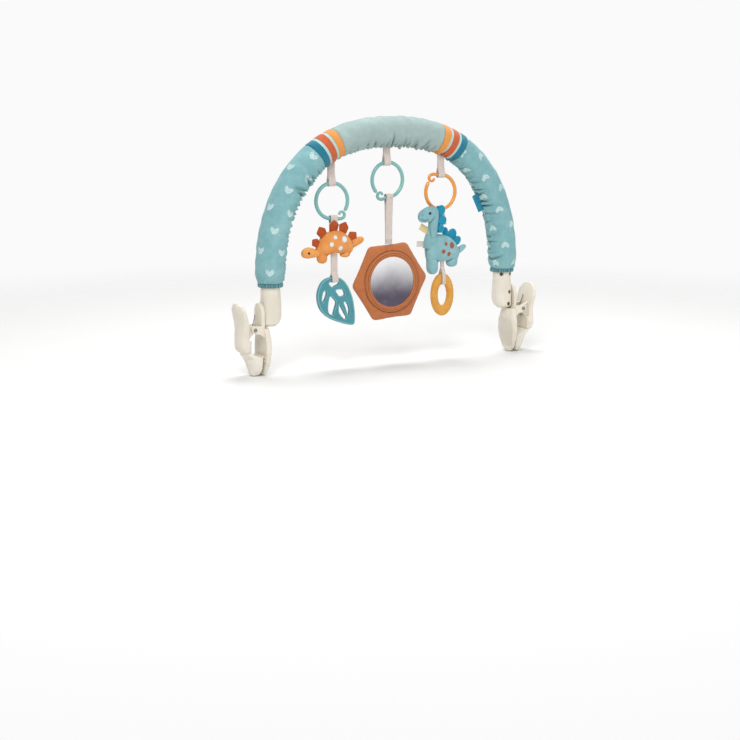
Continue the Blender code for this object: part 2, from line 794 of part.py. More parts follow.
def sleeve_outer(start, end, extra=0.0):
    """Outer rings of a gathered panel: every other ring is drawn in on the inner side."""
    foot = LINE.at_height(SLEEVE_FOOT_Z)
    rings = []
    for i, s in enumerate(even_stations(start, end, GATHER_PITCH / 2)):
        reach = sleeve_radius(s, i % 2, foot)
        rings.append(LINE.ring(s, lambda inner, reach=reach: reach(inner) + extra, SLEEVE_SIDES))
    return rings


def stripe_outer(start, end, extra=0.0):
    """Outer rings of a striped panel: three raised bands with narrow spaces between them."""
    low, high = SLEEVE_RADIUS - STRIPE_RELIEF + extra, SLEEVE_RADIUS + STRIPE_RELIEF + extra
    rings = []
    for i in range(STRIPE_COUNT):
        first = start + i * (STRIPE_WIDTH + STRIPE_SPACE)
        last = min(first + STRIPE_WIDTH, end)
        rings += [
            LINE.ring(first, low, SLEEVE_SIDES),
            LINE.ring((first + last) / 2, high, SLEEVE_SIDES),
            LINE.ring(last, low, SLEEVE_SIDES),
        ]
    return rings


def arch_space():
    """The whole covered arch, a seat's gap larger, to trim what is sewn to it."""
    limits = panel_limits()
    rings = []
    for i, (start, end) in enumerate(zip(limits, limits[1:])):
        outer = stripe_outer if i % 2 else sleeve_outer
        rings += outer(start + PANEL_SEAM / 2, end - PANEL_SEAM / 2, SEAT_GAP)
    return loft(rings)


def sleeve_panel(start, end):
    """A gathered panel between two seams."""
    step = LINE.at_height(FOAM_FOOT_Z)
    inside = [s for s in core_stations() if start - PANEL_SEAM < s < end + PANEL_SEAM]
    start, end = start + PANEL_SEAM / 2, end - PANEL_SEAM / 2
    inside[0], inside[-1] = start, end
    for sign in (-1, 1):
        if start < sign * step < end:
            inside = [s for s in inside if abs(s) < step or s in (start, end)]
            inside += [sign * step, sign * (step + SLEEVE_FIT * 3)]
    inside.sort()
    return shell(sleeve_outer(start, end), sleeve_inside(inside))


def stripe_panel(start, end):
    inside = [s for s in core_stations() if start - PANEL_SEAM < s < end + PANEL_SEAM]
    start, end = start + PANEL_SEAM / 2, end - PANEL_SEAM / 2
    inside[0], inside[-1] = start, end
    inner = [LINE.ring(s, FOAM_RADIUS + SLEEVE_FIT, SLEEVE_SIDES) for s in inside]
    return shell(stripe_outer(start, end), inner)


def cuff():
    """Elastic hem of the right foot, gathered into small folds."""
    top = SLEEVE_FOOT_Z - PANEL_SEAM
    height = top - CUFF_BOTTOM_Z
    inner_radius = HOUSING_RADIUS + RUNNING_GAP
    sides = 2 * CUFF_GATHERS

    def level(z, radius, gather):
        ring = []
        for i in range(sides):
            angle = math.tau * i / sides
            reach = radius + (gather if i % 2 else -gather)
            ring.append(Vector((ARCH_HALF_WIDTH + reach * math.cos(angle), reach * math.sin(angle), z)))
        return ring

    outer = [
        level(CUFF_BOTTOM_Z, CUFF_LIP_RADIUS, CUFF_GATHER / 2),
        level(CUFF_BOTTOM_Z + height / 2, CUFF_RADIUS, CUFF_GATHER),
        level(top, CUFF_RADIUS, CUFF_GATHER / 2),
    ]
    inner = [level(z, inner_radius, 0) for z in (CUFF_BOTTOM_Z, top)]
    return shell(outer, inner)


def arch_tag():
    """Plain folded tag sewn into the inner side of the right side panel."""
    start, end = ARCH_TAG_START, ARCH_TAG_START + ARCH_TAG_WIDTH
    near = [LINE.place(s) - LINE.outward(s) * FOAM_RADIUS for s in (start, end)]
    far = [LINE.place(s) - LINE.outward(s) * (SLEEVE_RADIUS + ARCH_TAG_REACH) for s in (end, start)]
    outline = [(point.x, point.z) for point in near + far]
    return cut(prism(outline, -TAG_THICKNESS / 2, TAG_THICKNESS / 2), arch_space())


# Arm housing and its screws


def housing_levels():
    """Height, outer and inner half width, half depth and squareness of the sections, from foot to top."""
    levels = []
    steps = 5
    low = math.radians(14)
    foot = TILT_Z - TILT_FOOT_RADIUS * math.cos(low)

    def inner_width(z):
        share = min(1.0, (z - foot) / HOUSING_INNER_RISE)
        return HOUSING_HALF_WIDTH - HOUSING_INNER_EDGE * (1 - math.sin(share * math.pi / 2))

    high = math.asin(HOUSING_HALF_DEPTH / TILT_FOOT_RADIUS)
    for i in range(steps):
        angle = low + (high - low) * i / (steps - 1)
        share = i / (steps - 1)
        z = TILT_Z - TILT_FOOT_RADIUS * math.cos(angle)
        outer = HOUSING_HALF_WIDTH - HOUSING_EDGE * (1 - math.sin(share * math.pi / 2))
        levels.append((z, outer, inner_width(z), TILT_FOOT_RADIUS * math.sin(angle), HOUSING_SQUARENESS))
    width, depth = HOUSING_HALF_WIDTH, HOUSING_HALF_DEPTH
    middle = (levels[-1][0] + TILT_Z) / 2
    levels.append((middle, width, inner_width(middle), depth, HOUSING_SQUARENESS))
    levels.append((TILT_Z, width, width, depth, HOUSING_SQUARENESS))
    levels.append((HOUSING_SHOULDER_Z, width, width, depth, HOUSING_SQUARENESS))
    middle = (HOUSING_SHOULDER_Z + HOUSING_NECK_Z) / 2
    width, depth = (width + HOUSING_RADIUS) / 2, (depth + HOUSING_RADIUS) / 2
    levels.append((middle, width, width, depth, 2.4))
    levels.append((HOUSING_NECK_Z, HOUSING_RADIUS, HOUSING_RADIUS, HOUSING_RADIUS, 2.0))
    levels.append((HOUSING_TOP_Z, HOUSING_RADIUS, HOUSING_RADIUS, HOUSING_RADIUS, 2.0))
    return levels


def housing_half(sign):
    """One moulded half of the right housing; sign -1 is the screw side, at the front."""
    rings = []
    steps = HOUSING_SIDES // 2
    for z, outer, inner, half_depth, squareness in housing_levels():
        ring = []
        for i in range(steps + 1):
            angle = math.pi * i / steps
            c, s = math.cos(angle), math.sin(angle)
            x = math.copysign(abs(c) ** (2 / squareness), c) * (outer if c > 0 else inner)
            y = max(s ** (2 / squareness) * half_depth if s > 0 else 0, SEAT_GAP / 2)
            ring.append(Vector((ARCH_HALF_WIDTH + x, sign * y, z)))
        rings.append(ring)
    return loft(rings)


def screw_places():
    middle = ARCH_HALF_WIDTH
    return (
        (middle - SCREW_SPREAD, SCREW_TOP_Z, HOUSING_RADIUS),
        (middle + SCREW_SPREAD, SCREW_TOP_Z, HOUSING_RADIUS),
        (middle + SCREW_SPREAD, SCREW_MIDDLE_Z, HOUSING_HALF_DEPTH),
        (middle + SCREW_SPREAD - SCREW_FOOT_INSET, SCREW_FOOT_Z, HOUSING_HALF_DEPTH),
    )


def screw_seat(x, depth):
    """Y of the screw's socket floor, below the housing's face at that X."""
    off = abs(x - ARCH_HALF_WIDTH)
    share = min(1.0, off / HOUSING_RADIUS)
    if depth == HOUSING_RADIUS:
        face = math.sqrt(HOUSING_RADIUS**2 - off**2)
    else:
        face = HOUSING_HALF_DEPTH * (1 - share**HOUSING_SQUARENESS) ** (1 / HOUSING_SQUARENESS)
    return -(face - SCREW_SINK - SCREW_HEAD_HEIGHT)


def core_cutters():
    """Hollows that both halves share: rod channel, rod head pocket and the bore for the tilt hub."""
    channel = ROD_RADIUS + 2 * RUNNING_GAP
    pocket = ROD_HEAD_RADIUS + RUNNING_GAP
    x = ARCH_HALF_WIDTH
    low, high = ROD_END_Z - RUNNING_GAP, ROD_END_Z + ROD_HEAD_LENGTH + RUNNING_GAP
    hub_inner = x - HUB_REACH
    flange = HUB_FLANGE_RADIUS + RUNNING_GAP
    hub_steps = (
        (-RUNNING_GAP, flange),
        (HUB_FLANGE_WIDTH + RUNNING_GAP, flange),
        (HUB_FLANGE_WIDTH + RUNNING_GAP, HUB_RADIUS + RUNNING_GAP),
        (HUB_REACH + HOUSING_HALF_WIDTH + OVERRUN, HUB_RADIUS + RUNNING_GAP),
    )
    return [
        turned((x, 0, low), (0, 0, 1), ((0, pocket), (high - low, pocket), (high - low, channel), (HOUSING_TOP_Z - low + OVERRUN, channel)), 12),
        turned((hub_inner, 0, TILT_Z), (1, 0, 0), hub_steps, 12),
    ]


def housing_front():
    tools = core_cutters()
    for x, z, depth in screw_places():
        seat = screw_seat(x, depth)
        socket = SCREW_HEAD_RADIUS + RUNNING_GAP
        hole = SCREW_SHAFT_RADIUS + RUNNING_GAP
        tools.append(turned((x, -HOUSING_RADIUS - OVERRUN, z), (0, 1, 0), (
            (0, socket),
            (seat + HOUSING_RADIUS + OVERRUN, socket),
            (seat + HOUSING_RADIUS + OVERRUN, hole),
            (HOUSING_RADIUS + 2 * OVERRUN, hole),
        )))
    return cut(housing_half(-1), *tools)


def housing_back():
    tools = core_cutters()
    for x, z, depth in screw_places():
        seat = screw_seat(x, depth)
        hole = SCREW_SHAFT_RADIUS + RUNNING_GAP
        tools.append(rod((x, -OVERRUN, z), (x, seat + SCREW_LENGTH + RUNNING_GAP, z), hole, 8))
    return cut(housing_half(1), *tools)


def screw(x, z, depth):
    """Pan head with a round socket, on a plain shaft."""
    seat = screw_seat(x, depth) - SEAT_GAP
    top = seat - SCREW_HEAD_HEIGHT
    steps = (
        (0, SCREW_HEAD_RADIUS - SCREW_HEAD_HEIGHT / 4),
        (SCREW_HEAD_HEIGHT / 3, SCREW_HEAD_RADIUS),
        (SCREW_HEAD_HEIGHT, SCREW_HEAD_RADIUS),
        (SCREW_HEAD_HEIGHT, SCREW_SHAFT_RADIUS),
        (SCREW_LENGTH - SCREW_SHAFT_RADIUS, SCREW_SHAFT_RADIUS),
        (SCREW_LENGTH, SCREW_SHAFT_RADIUS / 3),
    )
    body = turned((x, top, z), (0, 1, 0), steps, 8)
    socket = rod((x, top - OVERRUN, z), (x, top + SCREW_HEAD_HEIGHT / 2, z), SCREW_SOCKET_RADIUS, 6)
    return cut(body, socket)


# Clip pieces, modelled for the right arm


def throat_cutter():
    """Rounded slot over the rim, open below."""
    x = ARCH_HALF_WIDTH + THROAT_OFFSET
    top = arc((x, THROAT_TOP_Z - THROAT_HALF_WIDTH), THROAT_HALF_WIDTH, 0, math.pi, THROAT_STEPS)
    low = TIP_BOTTOM_Z - OVERRUN
    outline = [(x + THROAT_HALF_WIDTH, low), *top, (x - THROAT_HALF_WIDTH, low)]
    half = PADDLE_HALF_WIDTH + OVERRUN
    return prism(outline, -half, half)


def plate_section(z, inner, outer, half_width, crown):
    """Flat on its inner side and crowned on its outer side, wide across Y."""
    ring = [Vector((inner, -half_width, z))]
    for share in CROWN_PLACES_SHARE:
        bulge = (outer - inner) * (1 - crown * abs(share) ** 3)
        ring.append(Vector((inner + bulge, half_width * share, z)))
    ring.append(Vector((inner, half_width, z)))
    return ring


def jaw_face():
    return ARCH_HALF_WIDTH + THROAT_OFFSET - THROAT_HALF_WIDTH


def roof_z():
    return TILT_Z - TILT_FOOT_RADIUS - RUNNING_GAP


def lug_pair(outer, x_from, z_low, z_high):
    """Two lugs round the hinge, one on each side, reaching back to x_from."""
    hinge = (ARCH_HALF_WIDTH + HINGE_OFFSET, HINGE_Z)
    reach = x_from - hinge[0]
    start = math.pi / 2 if reach < 0 else -math.pi / 2
    nose = [
        (hinge[0] + LUG_RADIUS * math.cos(start - math.pi * i / 8), hinge[1] + LUG_RADIUS * math.sin(start - math.pi * i / 8))
        for i in range(9)
    ]
    first, last = (z_low, z_high) if reach < 0 else (z_high, z_low)
    outline = nose + [(x_from, first), (x_from, last)]
    inner = outer - LUG_WIDTH
    return [prism(outline, -outer, -inner), prism(outline, inner, outer)]


def pin_bore():
    x = ARCH_HALF_WIDTH + HINGE_OFFSET
    half = LUG_OUTER + OVERRUN
    return rod((x, -half, HINGE_Z), (x, half, HINGE_Z), PIN_RADIUS + RUNNING_GAP, 12)


def inner_jaw():
    """Fixed side of the clip: spoon jaw, roof over the rim, finger tab, hinge lugs and tilt hub."""
    face = jaw_face()
    back = face - JAW_THICKNESS
    roof_top = roof_z()
    tab_inner = ARCH_HALF_WIDTH + HOUSING_HALF_WIDTH + RUNNING_GAP
    tab_outer = tab_inner + TAB_THICKNESS

    def jaw_section(share, width, thick):
        z = JAW_BOTTOM_Z + (roof_top - JAW_BOTTOM_Z) * share
        return plate_section(z, face, face - JAW_THICKNESS * thick, JAW_HALF_WIDTH * width, 0.45)

    jaw = loft([jaw_section(*row) for row in JAW_PROFILE_SHARES])
    tab = loft(
        [
            plate_section(THROAT_TOP_Z + (TAB_TOP_Z - THROAT_TOP_Z) * share, tab_inner, tab_outer, TAB_HALF_WIDTH * width, 0.3)
            for share, width in TAB_PROFILE_SHARES
        ]
    )
    roof = box((back + JAW_THICKNESS / 2, -ROOF_HALF_WIDTH, 0), (tab_outer - TAB_THICKNESS / 3, ROOF_HALF_WIDTH, roof_top))
    lugs = lug_pair(LUG_OUTER, tab_inner + TAB_THICKNESS / 3, THROAT_TOP_Z - ROOF_THICKNESS, HINGE_Z + LUG_RADIUS)
    hub_steps = (
        (0, HUB_FLANGE_RADIUS),
        (HUB_FLANGE_WIDTH, HUB_FLANGE_RADIUS),
        (HUB_FLANGE_WIDTH, HUB_RADIUS),
        (HUB_REACH + HOUSING_HALF_WIDTH + TAB_THICKNESS / 2, HUB_RADIUS),
    )
    hub = turned((ARCH_HALF_WIDTH - HUB_REACH, 0, TILT_Z), (1, 0, 0), hub_steps, 12)
    rib_outline = [
        (tab_outer - TAB_THICKNESS / 2, roof_top),
        (tab_outer + RIB_HEIGHT, roof_top),
        (tab_outer - TAB_THICKNESS / 4, RIB_TOP_Z),
        (tab_outer - TAB_THICKNESS / 2, RIB_TOP_Z),
    ]
    rib = prism(rib_outline, -RIB_WIDTH / 2, RIB_WIDTH / 2)
    teeth = []
    for i in range(JAW_TEETH):
        z = JAW_TEETH_TOP_Z - i * JAW_TOOTH_PITCH
        half = JAW_HALF_WIDTH * (0.74 - 0.12 * i)
        outline = [
            (face - JAW_TOOTH_HEIGHT, z),
            (face + JAW_TOOTH_HEIGHT, z - JAW_TOOTH_PITCH / 4),
            (face + JAW_TOOTH_HEIGHT, z - JAW_TOOTH_PITCH / 2),
            (face - JAW_TOOTH_HEIGHT, z - 3 * JAW_TOOTH_PITCH / 4),
        ]
        teeth.append(prism(outline, -half, half))
    whole = cut(union(jaw, roof, tab, *lugs), throat_cutter())
    whole = union(whole, hub, rib, *teeth)
    return cut(whole, pin_bore())


def paddle_face(z):
    """Inner face of the lever at a height; above the hinge it leans outward."""
    share = max(0.0, (z - HINGE_Z) / (PADDLE_TOP_Z - HINGE_Z))
    return ARCH_HALF_WIDTH + OUTER_JAW_FACE + PADDLE_LEAN * share**1.3


def outer_jaw():
    """Moving side of the clip: finger paddle above the hinge and jaw below it, down to the seam."""
    face = ARCH_HALF_WIDTH + OUTER_JAW_FACE
    height = PADDLE_TOP_Z - SEAM_Z
    rings = []
    for share, width, thick in PADDLE_PROFILE_SHARES:
        z = SEAM_Z + height * share
        inner = paddle_face(z)
        rings.append(plate_section(z, inner, inner + PADDLE_THICKNESS * thick, PADDLE_HALF_WIDTH * width, 0.45))
    plate = loft(rings)
    heel_half = PADDLE_HALF_WIDTH * PADDLE_PROFILE_SHARES[2][1]
    heel_inner = ARCH_HALF_WIDTH + THROAT_OFFSET + THROAT_HALF_WIDTH
    middle = face + PADDLE_THICKNESS / 3
    shoulder = HINGE_Z - 3 * LUG_RADIUS
    heel = prism(
        [(heel_inner, SEAM_Z), (middle, SEAM_Z), (middle, shoulder + LUG_RADIUS), (heel_inner, shoulder)], -heel_half, heel_half
    )
    lug_outer = LUG_OUTER - LUG_WIDTH - LUG_SPLIT
    lugs = lug_pair(lug_outer, face + PADDLE_THICKNESS / 3, 0, HINGE_Z + 2 * LUG_RADIUS)
    tongue_x = heel_inner + TONGUE_INSET
    tongue = box(
        (tongue_x - TONGUE_HALF_THICKNESS, -TONGUE_HALF_WIDTH, SEAM_Z - TONGUE_LENGTH),
        (tongue_x + TONGUE_HALF_THICKNESS, TONGUE_HALF_WIDTH, SEAM_Z + TONGUE_LENGTH / 2),
    )
    whole = union(plate, heel, *lugs)
    whole = cut(whole, throat_cutter(), pin_bore())
    return union(whole, tongue)


def jaw_tip():
    """Soft toothed nose that is pushed up onto the outer jaw."""
    top = SEAM_Z - SEAT_GAP
    height = top - TIP_BOTTOM_Z
    inner_x = ARCH_HALF_WIDTH + TIP_FACE
    outer_x = ARCH_HALF_WIDTH + OUTER_JAW_FACE + PADDLE_THICKNESS
    reach = outer_x - inner_x
    rings = []
    for share, low, high, width in TIP_PROFILE_SHARES:
        z = TIP_BOTTOM_Z + height * share
        rings.append(plate_section(z, inner_x + reach * low, inner_x + reach * high, TIP_HALF_WIDTH * width, 0.4))
    nose = loft(rings)
    teeth = []
    for i in range(TIP_TEETH):
        z = TIP_BOTTOM_Z + height * 0.80 - i * TIP_TOOTH_PITCH
        half = TIP_HALF_WIDTH * (0.94 - 0.08 * i)
        outline = [
            (inner_x + TIP_TOOTH_HEIGHT, z + TIP_TOOTH_PITCH / 2),
            (inner_x - TIP_TOOTH_HEIGHT, z + TIP_TOOTH_PITCH / 8),
            (inner_x - TIP_TOOTH_HEIGHT, z - TIP_TOOTH_PITCH / 8),
            (inner_x + TIP_TOOTH_HEIGHT, z - TIP_TOOTH_PITCH / 2 + SEAT_GAP),
        ]
        teeth.append(prism(outline, -half, half))
    tongue_x = ARCH_HALF_WIDTH + THROAT_OFFSET + THROAT_HALF_WIDTH + TONGUE_INSET
    slot = box(
        (tongue_x - TONGUE_HALF_THICKNESS - SEAT_GAP, -TONGUE_HALF_WIDTH - SEAT_GAP, SEAM_Z - TONGUE_LENGTH - SEAT_GAP),
        (tongue_x + TONGUE_HALF_THICKNESS + SEAT_GAP, TONGUE_HALF_WIDTH + SEAT_GAP, SEAM_Z + OVERRUN),
    )
    return cut(union(nose, *teeth), slot)


def hinge_pin():
    x = ARCH_HALF_WIDTH + HINGE_OFFSET
    start = LUG_OUTER + SEAT_GAP + PIN_HEAD_HEIGHT
    steps = (
        (0, PIN_HEAD_RADIUS - PIN_HEAD_HEIGHT / 2),
        (PIN_HEAD_HEIGHT / 2, PIN_HEAD_RADIUS),
        (PIN_HEAD_HEIGHT, PIN_HEAD_RADIUS),
        (PIN_HEAD_HEIGHT, PIN_RADIUS),
        (2 * start - PIN_HEAD_HEIGHT, PIN_RADIUS),
        (2 * start - PIN_HEAD_HEIGHT, PIN_HEAD_RADIUS),
        (2 * start - PIN_HEAD_HEIGHT / 2, PIN_HEAD_RADIUS),
        (2 * start, PIN_HEAD_RADIUS - PIN_HEAD_HEIGHT / 2),
    )
    return turned((x, -start, HINGE_Z), (0, 1, 0), steps, 10)


def spring_path():
    """One leg up the finger tab, the coil round the pin and one leg up the paddle."""
    x, z = ARCH_HALF_WIDTH + HINGE_OFFSET, HINGE_Z
    start_angle = math.pi
    turns = SPRING_TURNS - 0.5
    count = round(turns * SPRING_TURN_POINTS)
    width = SPRING_PITCH * turns
    coil = []
    for i in range(count + 1):
        angle = start_angle + math.tau * turns * i / count
        y = -width / 2 + width * i / count
        coil.append(Vector((x + SPRING_COIL_RADIUS * math.cos(angle), y, z + SPRING_COIL_RADIUS * math.sin(angle))))
    tab_face = ARCH_HALF_WIDTH + HOUSING_HALF_WIDTH + RUNNING_GAP + TAB_THICKNESS
    first = Vector((tab_face + SPRING_WIRE_RADIUS + 2 * SEAT_GAP, coil[0].y, z + SPRING_LEG))
    last = Vector((paddle_face(z + SPRING_LEG) - SPRING_WIRE_RADIUS - 2 * SEAT_GAP, coil[-1].y, z + SPRING_LEG))
    return [first, (first + coil[0]) / 2, *coil, (coil[-1] + last) / 2, last]


def least_gap(points, radius, neighbours):
    """Smallest space between parts of one wire that aren't next to each other."""
    dense = []
    for first, second in zip(points, points[1:]):
        dense += [first.lerp(second, i / 4) for i in range(4)]
    array = np.array([tuple(point) for point in dense])
    gap = math.inf
    for i in range(len(array)):
        far = array[i + neighbours * 4 :]
        if len(far):
            gap = min(gap, float(np.min(np.linalg.norm(far - array[i], axis=1))))
    return gap - 2 * radius


def torsion_spring():
    path = spring_path()
    gap = least_gap(path, SPRING_WIRE_RADIUS, SPRING_TURN_POINTS // 2)
    print(f"torsion spring: least gap {gap * 1000:.2f} mm")
    return sweep(path, [SPRING_WIRE_RADIUS] * len(path), SPRING_SIDES)


# Linking rings


def ring_path(place, curl_angle, way):
    """From the ring's free end right round and into the curl; way is 1 or -1."""
    centre = Vector((place[0], 0, place[1]))

    def polar(angle, radius):
        return centre + Vector((math.cos(angle), 0, math.sin(angle))) * radius

    ahead = (CURL_RADIUS + RING_WIRE + RING_WIRE + CURL_GAP) / RING_RADIUS
    start = curl_angle + way * ahead
    sweep_total = math.tau - ahead
    count = round((sweep_total - CURL_RUN_IN) / RING_STEP)
    points, radii = [], []
    for i in range(count + 1):
        angle = start + way * (sweep_total - CURL_RUN_IN) * i / count
        points.append(polar(angle, RING_RADIUS))
        radii.append(RING_WIRE)
    run = 4
    for i in range(1, run):
        share = i / run
        angle = curl_angle - way * CURL_RUN_IN * (1 - share)
        points.append(polar(angle, RING_RADIUS + CURL_RADIUS * (1 - math.cos(share * math.pi)) / 2))
        radii.append(RING_WIRE * (1 - (1 - CURL_WIRE_SHARE) * share / 2))
    middle = polar(curl_angle, RING_RADIUS)
    turns = 9
    for i in range(turns + 1):
        share = i / turns
        angle = curl_angle + way * CURL_SWEEP * share
        reach = CURL_RADIUS + (CURL_END_RADIUS - CURL_RADIUS) * share
        points.append(middle + Vector((math.cos(angle), 0, math.sin(angle))) * reach)
        radii.append(RING_WIRE * (1 - (1 - CURL_WIRE_SHARE) * (0.5 + share / 2)))
    radii[0] = RING_WIRE * 0.6
    points.insert(1, points[0].lerp(points[1], 0.3))
    radii.insert(1, RING_WIRE)
    radii[-1] *= 0.6
    return points, radii


def linking_ring(place, curl_angle, way):
    points, radii = ring_path(place, curl_angle, way)
    return sweep(points, radii, RING_SIDES)


# Ribbons


def ribbon_turn(offset, width):
    """How far the ring's wire bends away under a ribbon, and the radius at which the ribbon goes round it."""
    bend = RING_RADIUS - math.sqrt(RING_RADIUS**2 - (abs(offset) + width / 2) ** 2)
    return bend, RING_WIRE + bend / 2 + RUNNING_GAP + RIBBON_THICKNESS / 2


def hanger(centre_x, ring_place):
    """Loop sewn into the arch's inner seam, round the top of a ring."""
    bend, radius = ribbon_turn(centre_x - ring_place[0], RIBBON_WIDTH)
    wire_z = ring_place[1] + RING_RADIUS - bend / 2
    top = LINE.place(float(np.interp(centre_x, LINE.x, LINE.s))).z
    above = wire_z + 3 * RING_WIRE
    side = [(-RIBBON_SPREAD, top), (-RIBBON_SPREAD, above + 2 * RING_WIRE), (-(RIBBON_SPREAD + radius) / 2, above)]
    path = side + arc((0, wire_z), radius, -math.pi, 0, 8) + [(-y, z) for y, z in reversed(side)]
    return cut(strap(path, RIBBON_THICKNESS / 2, centre_x, RIBBON_WIDTH), arch_space())


def toy_loop(centre_x, width, ring_place, foot_z, foot_y=0.0):
    """Ribbon up from the toy's seam, over the ring's lower wire and back down."""
    bend, radius = ribbon_turn(centre_x - ring_place[0], width)
    wire = Vector((0, ring_place[1] - RING_RADIUS + bend / 2))
    lean = math.atan2(foot_y, wire.y - foot_z)
    length = math.hypot(foot_y, wire.y - foot_z)
    down, side = Vector((math.sin(lean), -math.cos(lean))), Vector((math.cos(lean), math.sin(lean)))
    foot, near = wire + down * length, wire + down * min(3 * RING_WIRE, length - RING_WIRE)
    half = (RIBBON_SPREAD + radius) / 2
    path = [tuple(foot - side * RIBBON_SPREAD), tuple(near - side * half)]
    path += arc(tuple(wire), radius, math.pi + lean, lean, 8)
    path += [tuple(near + side * half), tuple(foot + side * RIBBON_SPREAD)]
    return strap(path, RIBBON_THICKNESS / 2, centre_x, width)


def hanging_strap(centre_x, width, top_z, bar_z, bar_height, bar_depth):
    """Doubled ribbon down from a seam and round the top bar of a teether."""
    off = SEAT_GAP + RIBBON_THICKNESS / 2
    corner = (-bar_depth / 2, bar_z - bar_height / 2)
    high = bar_z + bar_height / 2
    side = [(-RIBBON_SPREAD, top_z), (-RIBBON_SPREAD, high + bar_depth), (corner[0] - off, high)]
    side += arc(corner, off, math.pi, 1.5 * math.pi, 2)
    path = side + [(-y, z) for y, z in reversed(side)]
    return strap(path, RIBBON_THICKNESS / 2, centre_x, width)


# Stuffed toys


def stuffed(rows, origin, length, height, half_thickness, extra=0.0, forward=0.0, sides=12):
    """Swelling form along X: rows of (place, low, high, thickness) shares of its own size."""
    rings = []
    for i, (place, low, high, thick) in enumerate(rows):
        x = origin[0] + length * place
        if i == 0:
            x -= extra
        if i == len(rows) - 1:
            x += extra
        bottom, top = origin[1] + height * low - extra, origin[1] + height * high + extra
        centre = Vector((x, -forward, (bottom + top) / 2))
        rings.append(oval_ring(centre, half_thickness * thick + extra, (top - bottom) / 2, Vector((0, 1, 0)), Vector((0, 0, 1)), sides, 2.2))
    return loft(rings)


def limb(x, low_z, high_z, half_width, half_thickness, forward=0.0, sides=10):
    rings = []
    for place, size in LIMB_SHARES:
        centre = Vector((x, -forward, low_z + (high_z - low_z) * place))
        rings.append(oval_ring(centre, half_width * size, half_thickness * size, Vector((1, 0, 0)), Vector((0, 1, 0)), sides, 2.2))
    return loft(rings)


def tail(start, length, radius, rise):
    along = Vector((math.cos(rise), 0, math.sin(rise)))
    points = [Vector(start) + along * length * place for place, size in TAIL_SHARES]
    return sweep(points, [radius * size for place, size in TAIL_SHARES], 10)


def steg_origin():
    return (STEG_CHEST_X, STEG_BELLY_Z)


def steg_body_form(extra=0.0):
    return stuffed(STEG_BODY_SHARES, steg_origin(), STEG_LENGTH, STEG_HEIGHT, STEG_HALF_THICKNESS, extra)


def belly_z(x, rows, origin, length, height):
    """Height of a stuffed body's belly seam at a place along it."""
    share = (x - origin[0]) / length
    return origin[1] + height * float(np.interp(share, [row[0] for row in rows], [row[1] for row in rows]))


def steg_back(place):
    """Point on the back's seam at a share of the body's length."""
    places = [row[0] for row in STEG_BODY_SHARES]
    tops = [row[2] for row in STEG_BODY_SHARES]
    return (STEG_CHEST_X + STEG_LENGTH * place, STEG_BELLY_Z + STEG_HEIGHT * float(np.interp(place, places, tops)))


def steg_plate(place, size, lean):
    """Five-cornered felt plate standing on the back's seam."""
    x, z = steg_back(place)
    width, height = STEG_PLATE_WIDTH * size, STEG_PLATE_HEIGHT * size
    outline = [
        (-width * 0.32, -STEG_PLATE_SINK),
        (width * 0.32, -STEG_PLATE_SINK),
        (width * 0.5, height * 0.5),
        (width * 0.1, height),
        (-width * 0.5, height * 0.62),
    ]
    c, s = math.cos(-lean), math.sin(-lean)
    turned_outline = [(x + a * c - b * s, z + a * s + b * c) for a, b in outline]
    return prism(turned_outline, -STEG_PLATE_THICKNESS / 2, STEG_PLATE_THICKNESS / 2)


def stegosaurus_body():
    tail_start = (STEG_CHEST_X + STEG_LENGTH * 0.95, 0, STEG_BELLY_Z + STEG_HEIGHT * 0.43)
    plates = [steg_plate(*row) for row in zip(STEG_PLATE_PLACES_SHARE, STEG_PLATE_SIZES_SHARE, STEG_PLATE_LEANS)]
    return union(steg_body_form(), tail(tail_start, STEG_TAIL_LENGTH, STEG_TAIL_RADIUS, STEG_TAIL_RISE), *plates)


def steg_head_form(extra=0.0):
    origin = (STEG_HEAD_X, STEG_HEAD_Z)
    half = STEG_HEAD_HALF_THICKNESS
    return stuffed(STEG_HEAD_SHARES, origin, STEG_HEAD_LENGTH, STEG_HEAD_HEIGHT, half, extra, sides=10)


def stegosaurus_head():
    first = steg_plate(STEG_PLATE_PLACES_SHARE[0], STEG_PLATE_SIZES_SHARE[0] * 1.08, STEG_PLATE_LEANS[0])
    return cut(steg_head_form(), steg_body_form(SEAT_GAP), first)


def stegosaurus_leg(share, low_z):
    x = STEG_CHEST_X + STEG_LENGTH * share
    high = STEG_BELLY_Z + STEG_HEIGHT * 0.22
    leg = limb(x, low_z, high, STEG_LEG_HALF_WIDTH, STEG_LEG_HALF_THICKNESS)
    return cut(leg, steg_body_form(SEAT_GAP), steg_head_form(SEAT_GAP))


def leaf_point(share):
    return (LEAF_X + LEAF_WIDTH * share[0], LEAF_Z + LEAF_HEIGHT * share[1])


def leaf_teether():
    outline = smooth_closed([leaf_point(share) for share in LEAF_OUTLINE_SHARES], 2)
    half = LEAF_THICKNESS / 2
    rows = ((-half, LEAF_EDGE), (-half + LEAF_EDGE, 0), (half - LEAF_EDGE, 0), (half, LEAF_EDGE))
    plate = loft([[Vector((x, y, z)) for x, z in inset_outline(outline, inset)] for y, inset in rows])
    holes = []
    for hole in LEAF_HOLES_SHARES:
        holes.append(prism([leaf_point(share) for share in hole], -half - OVERRUN, half + OVERRUN))
    return cut(plate, *holes)


# Mirror cushion


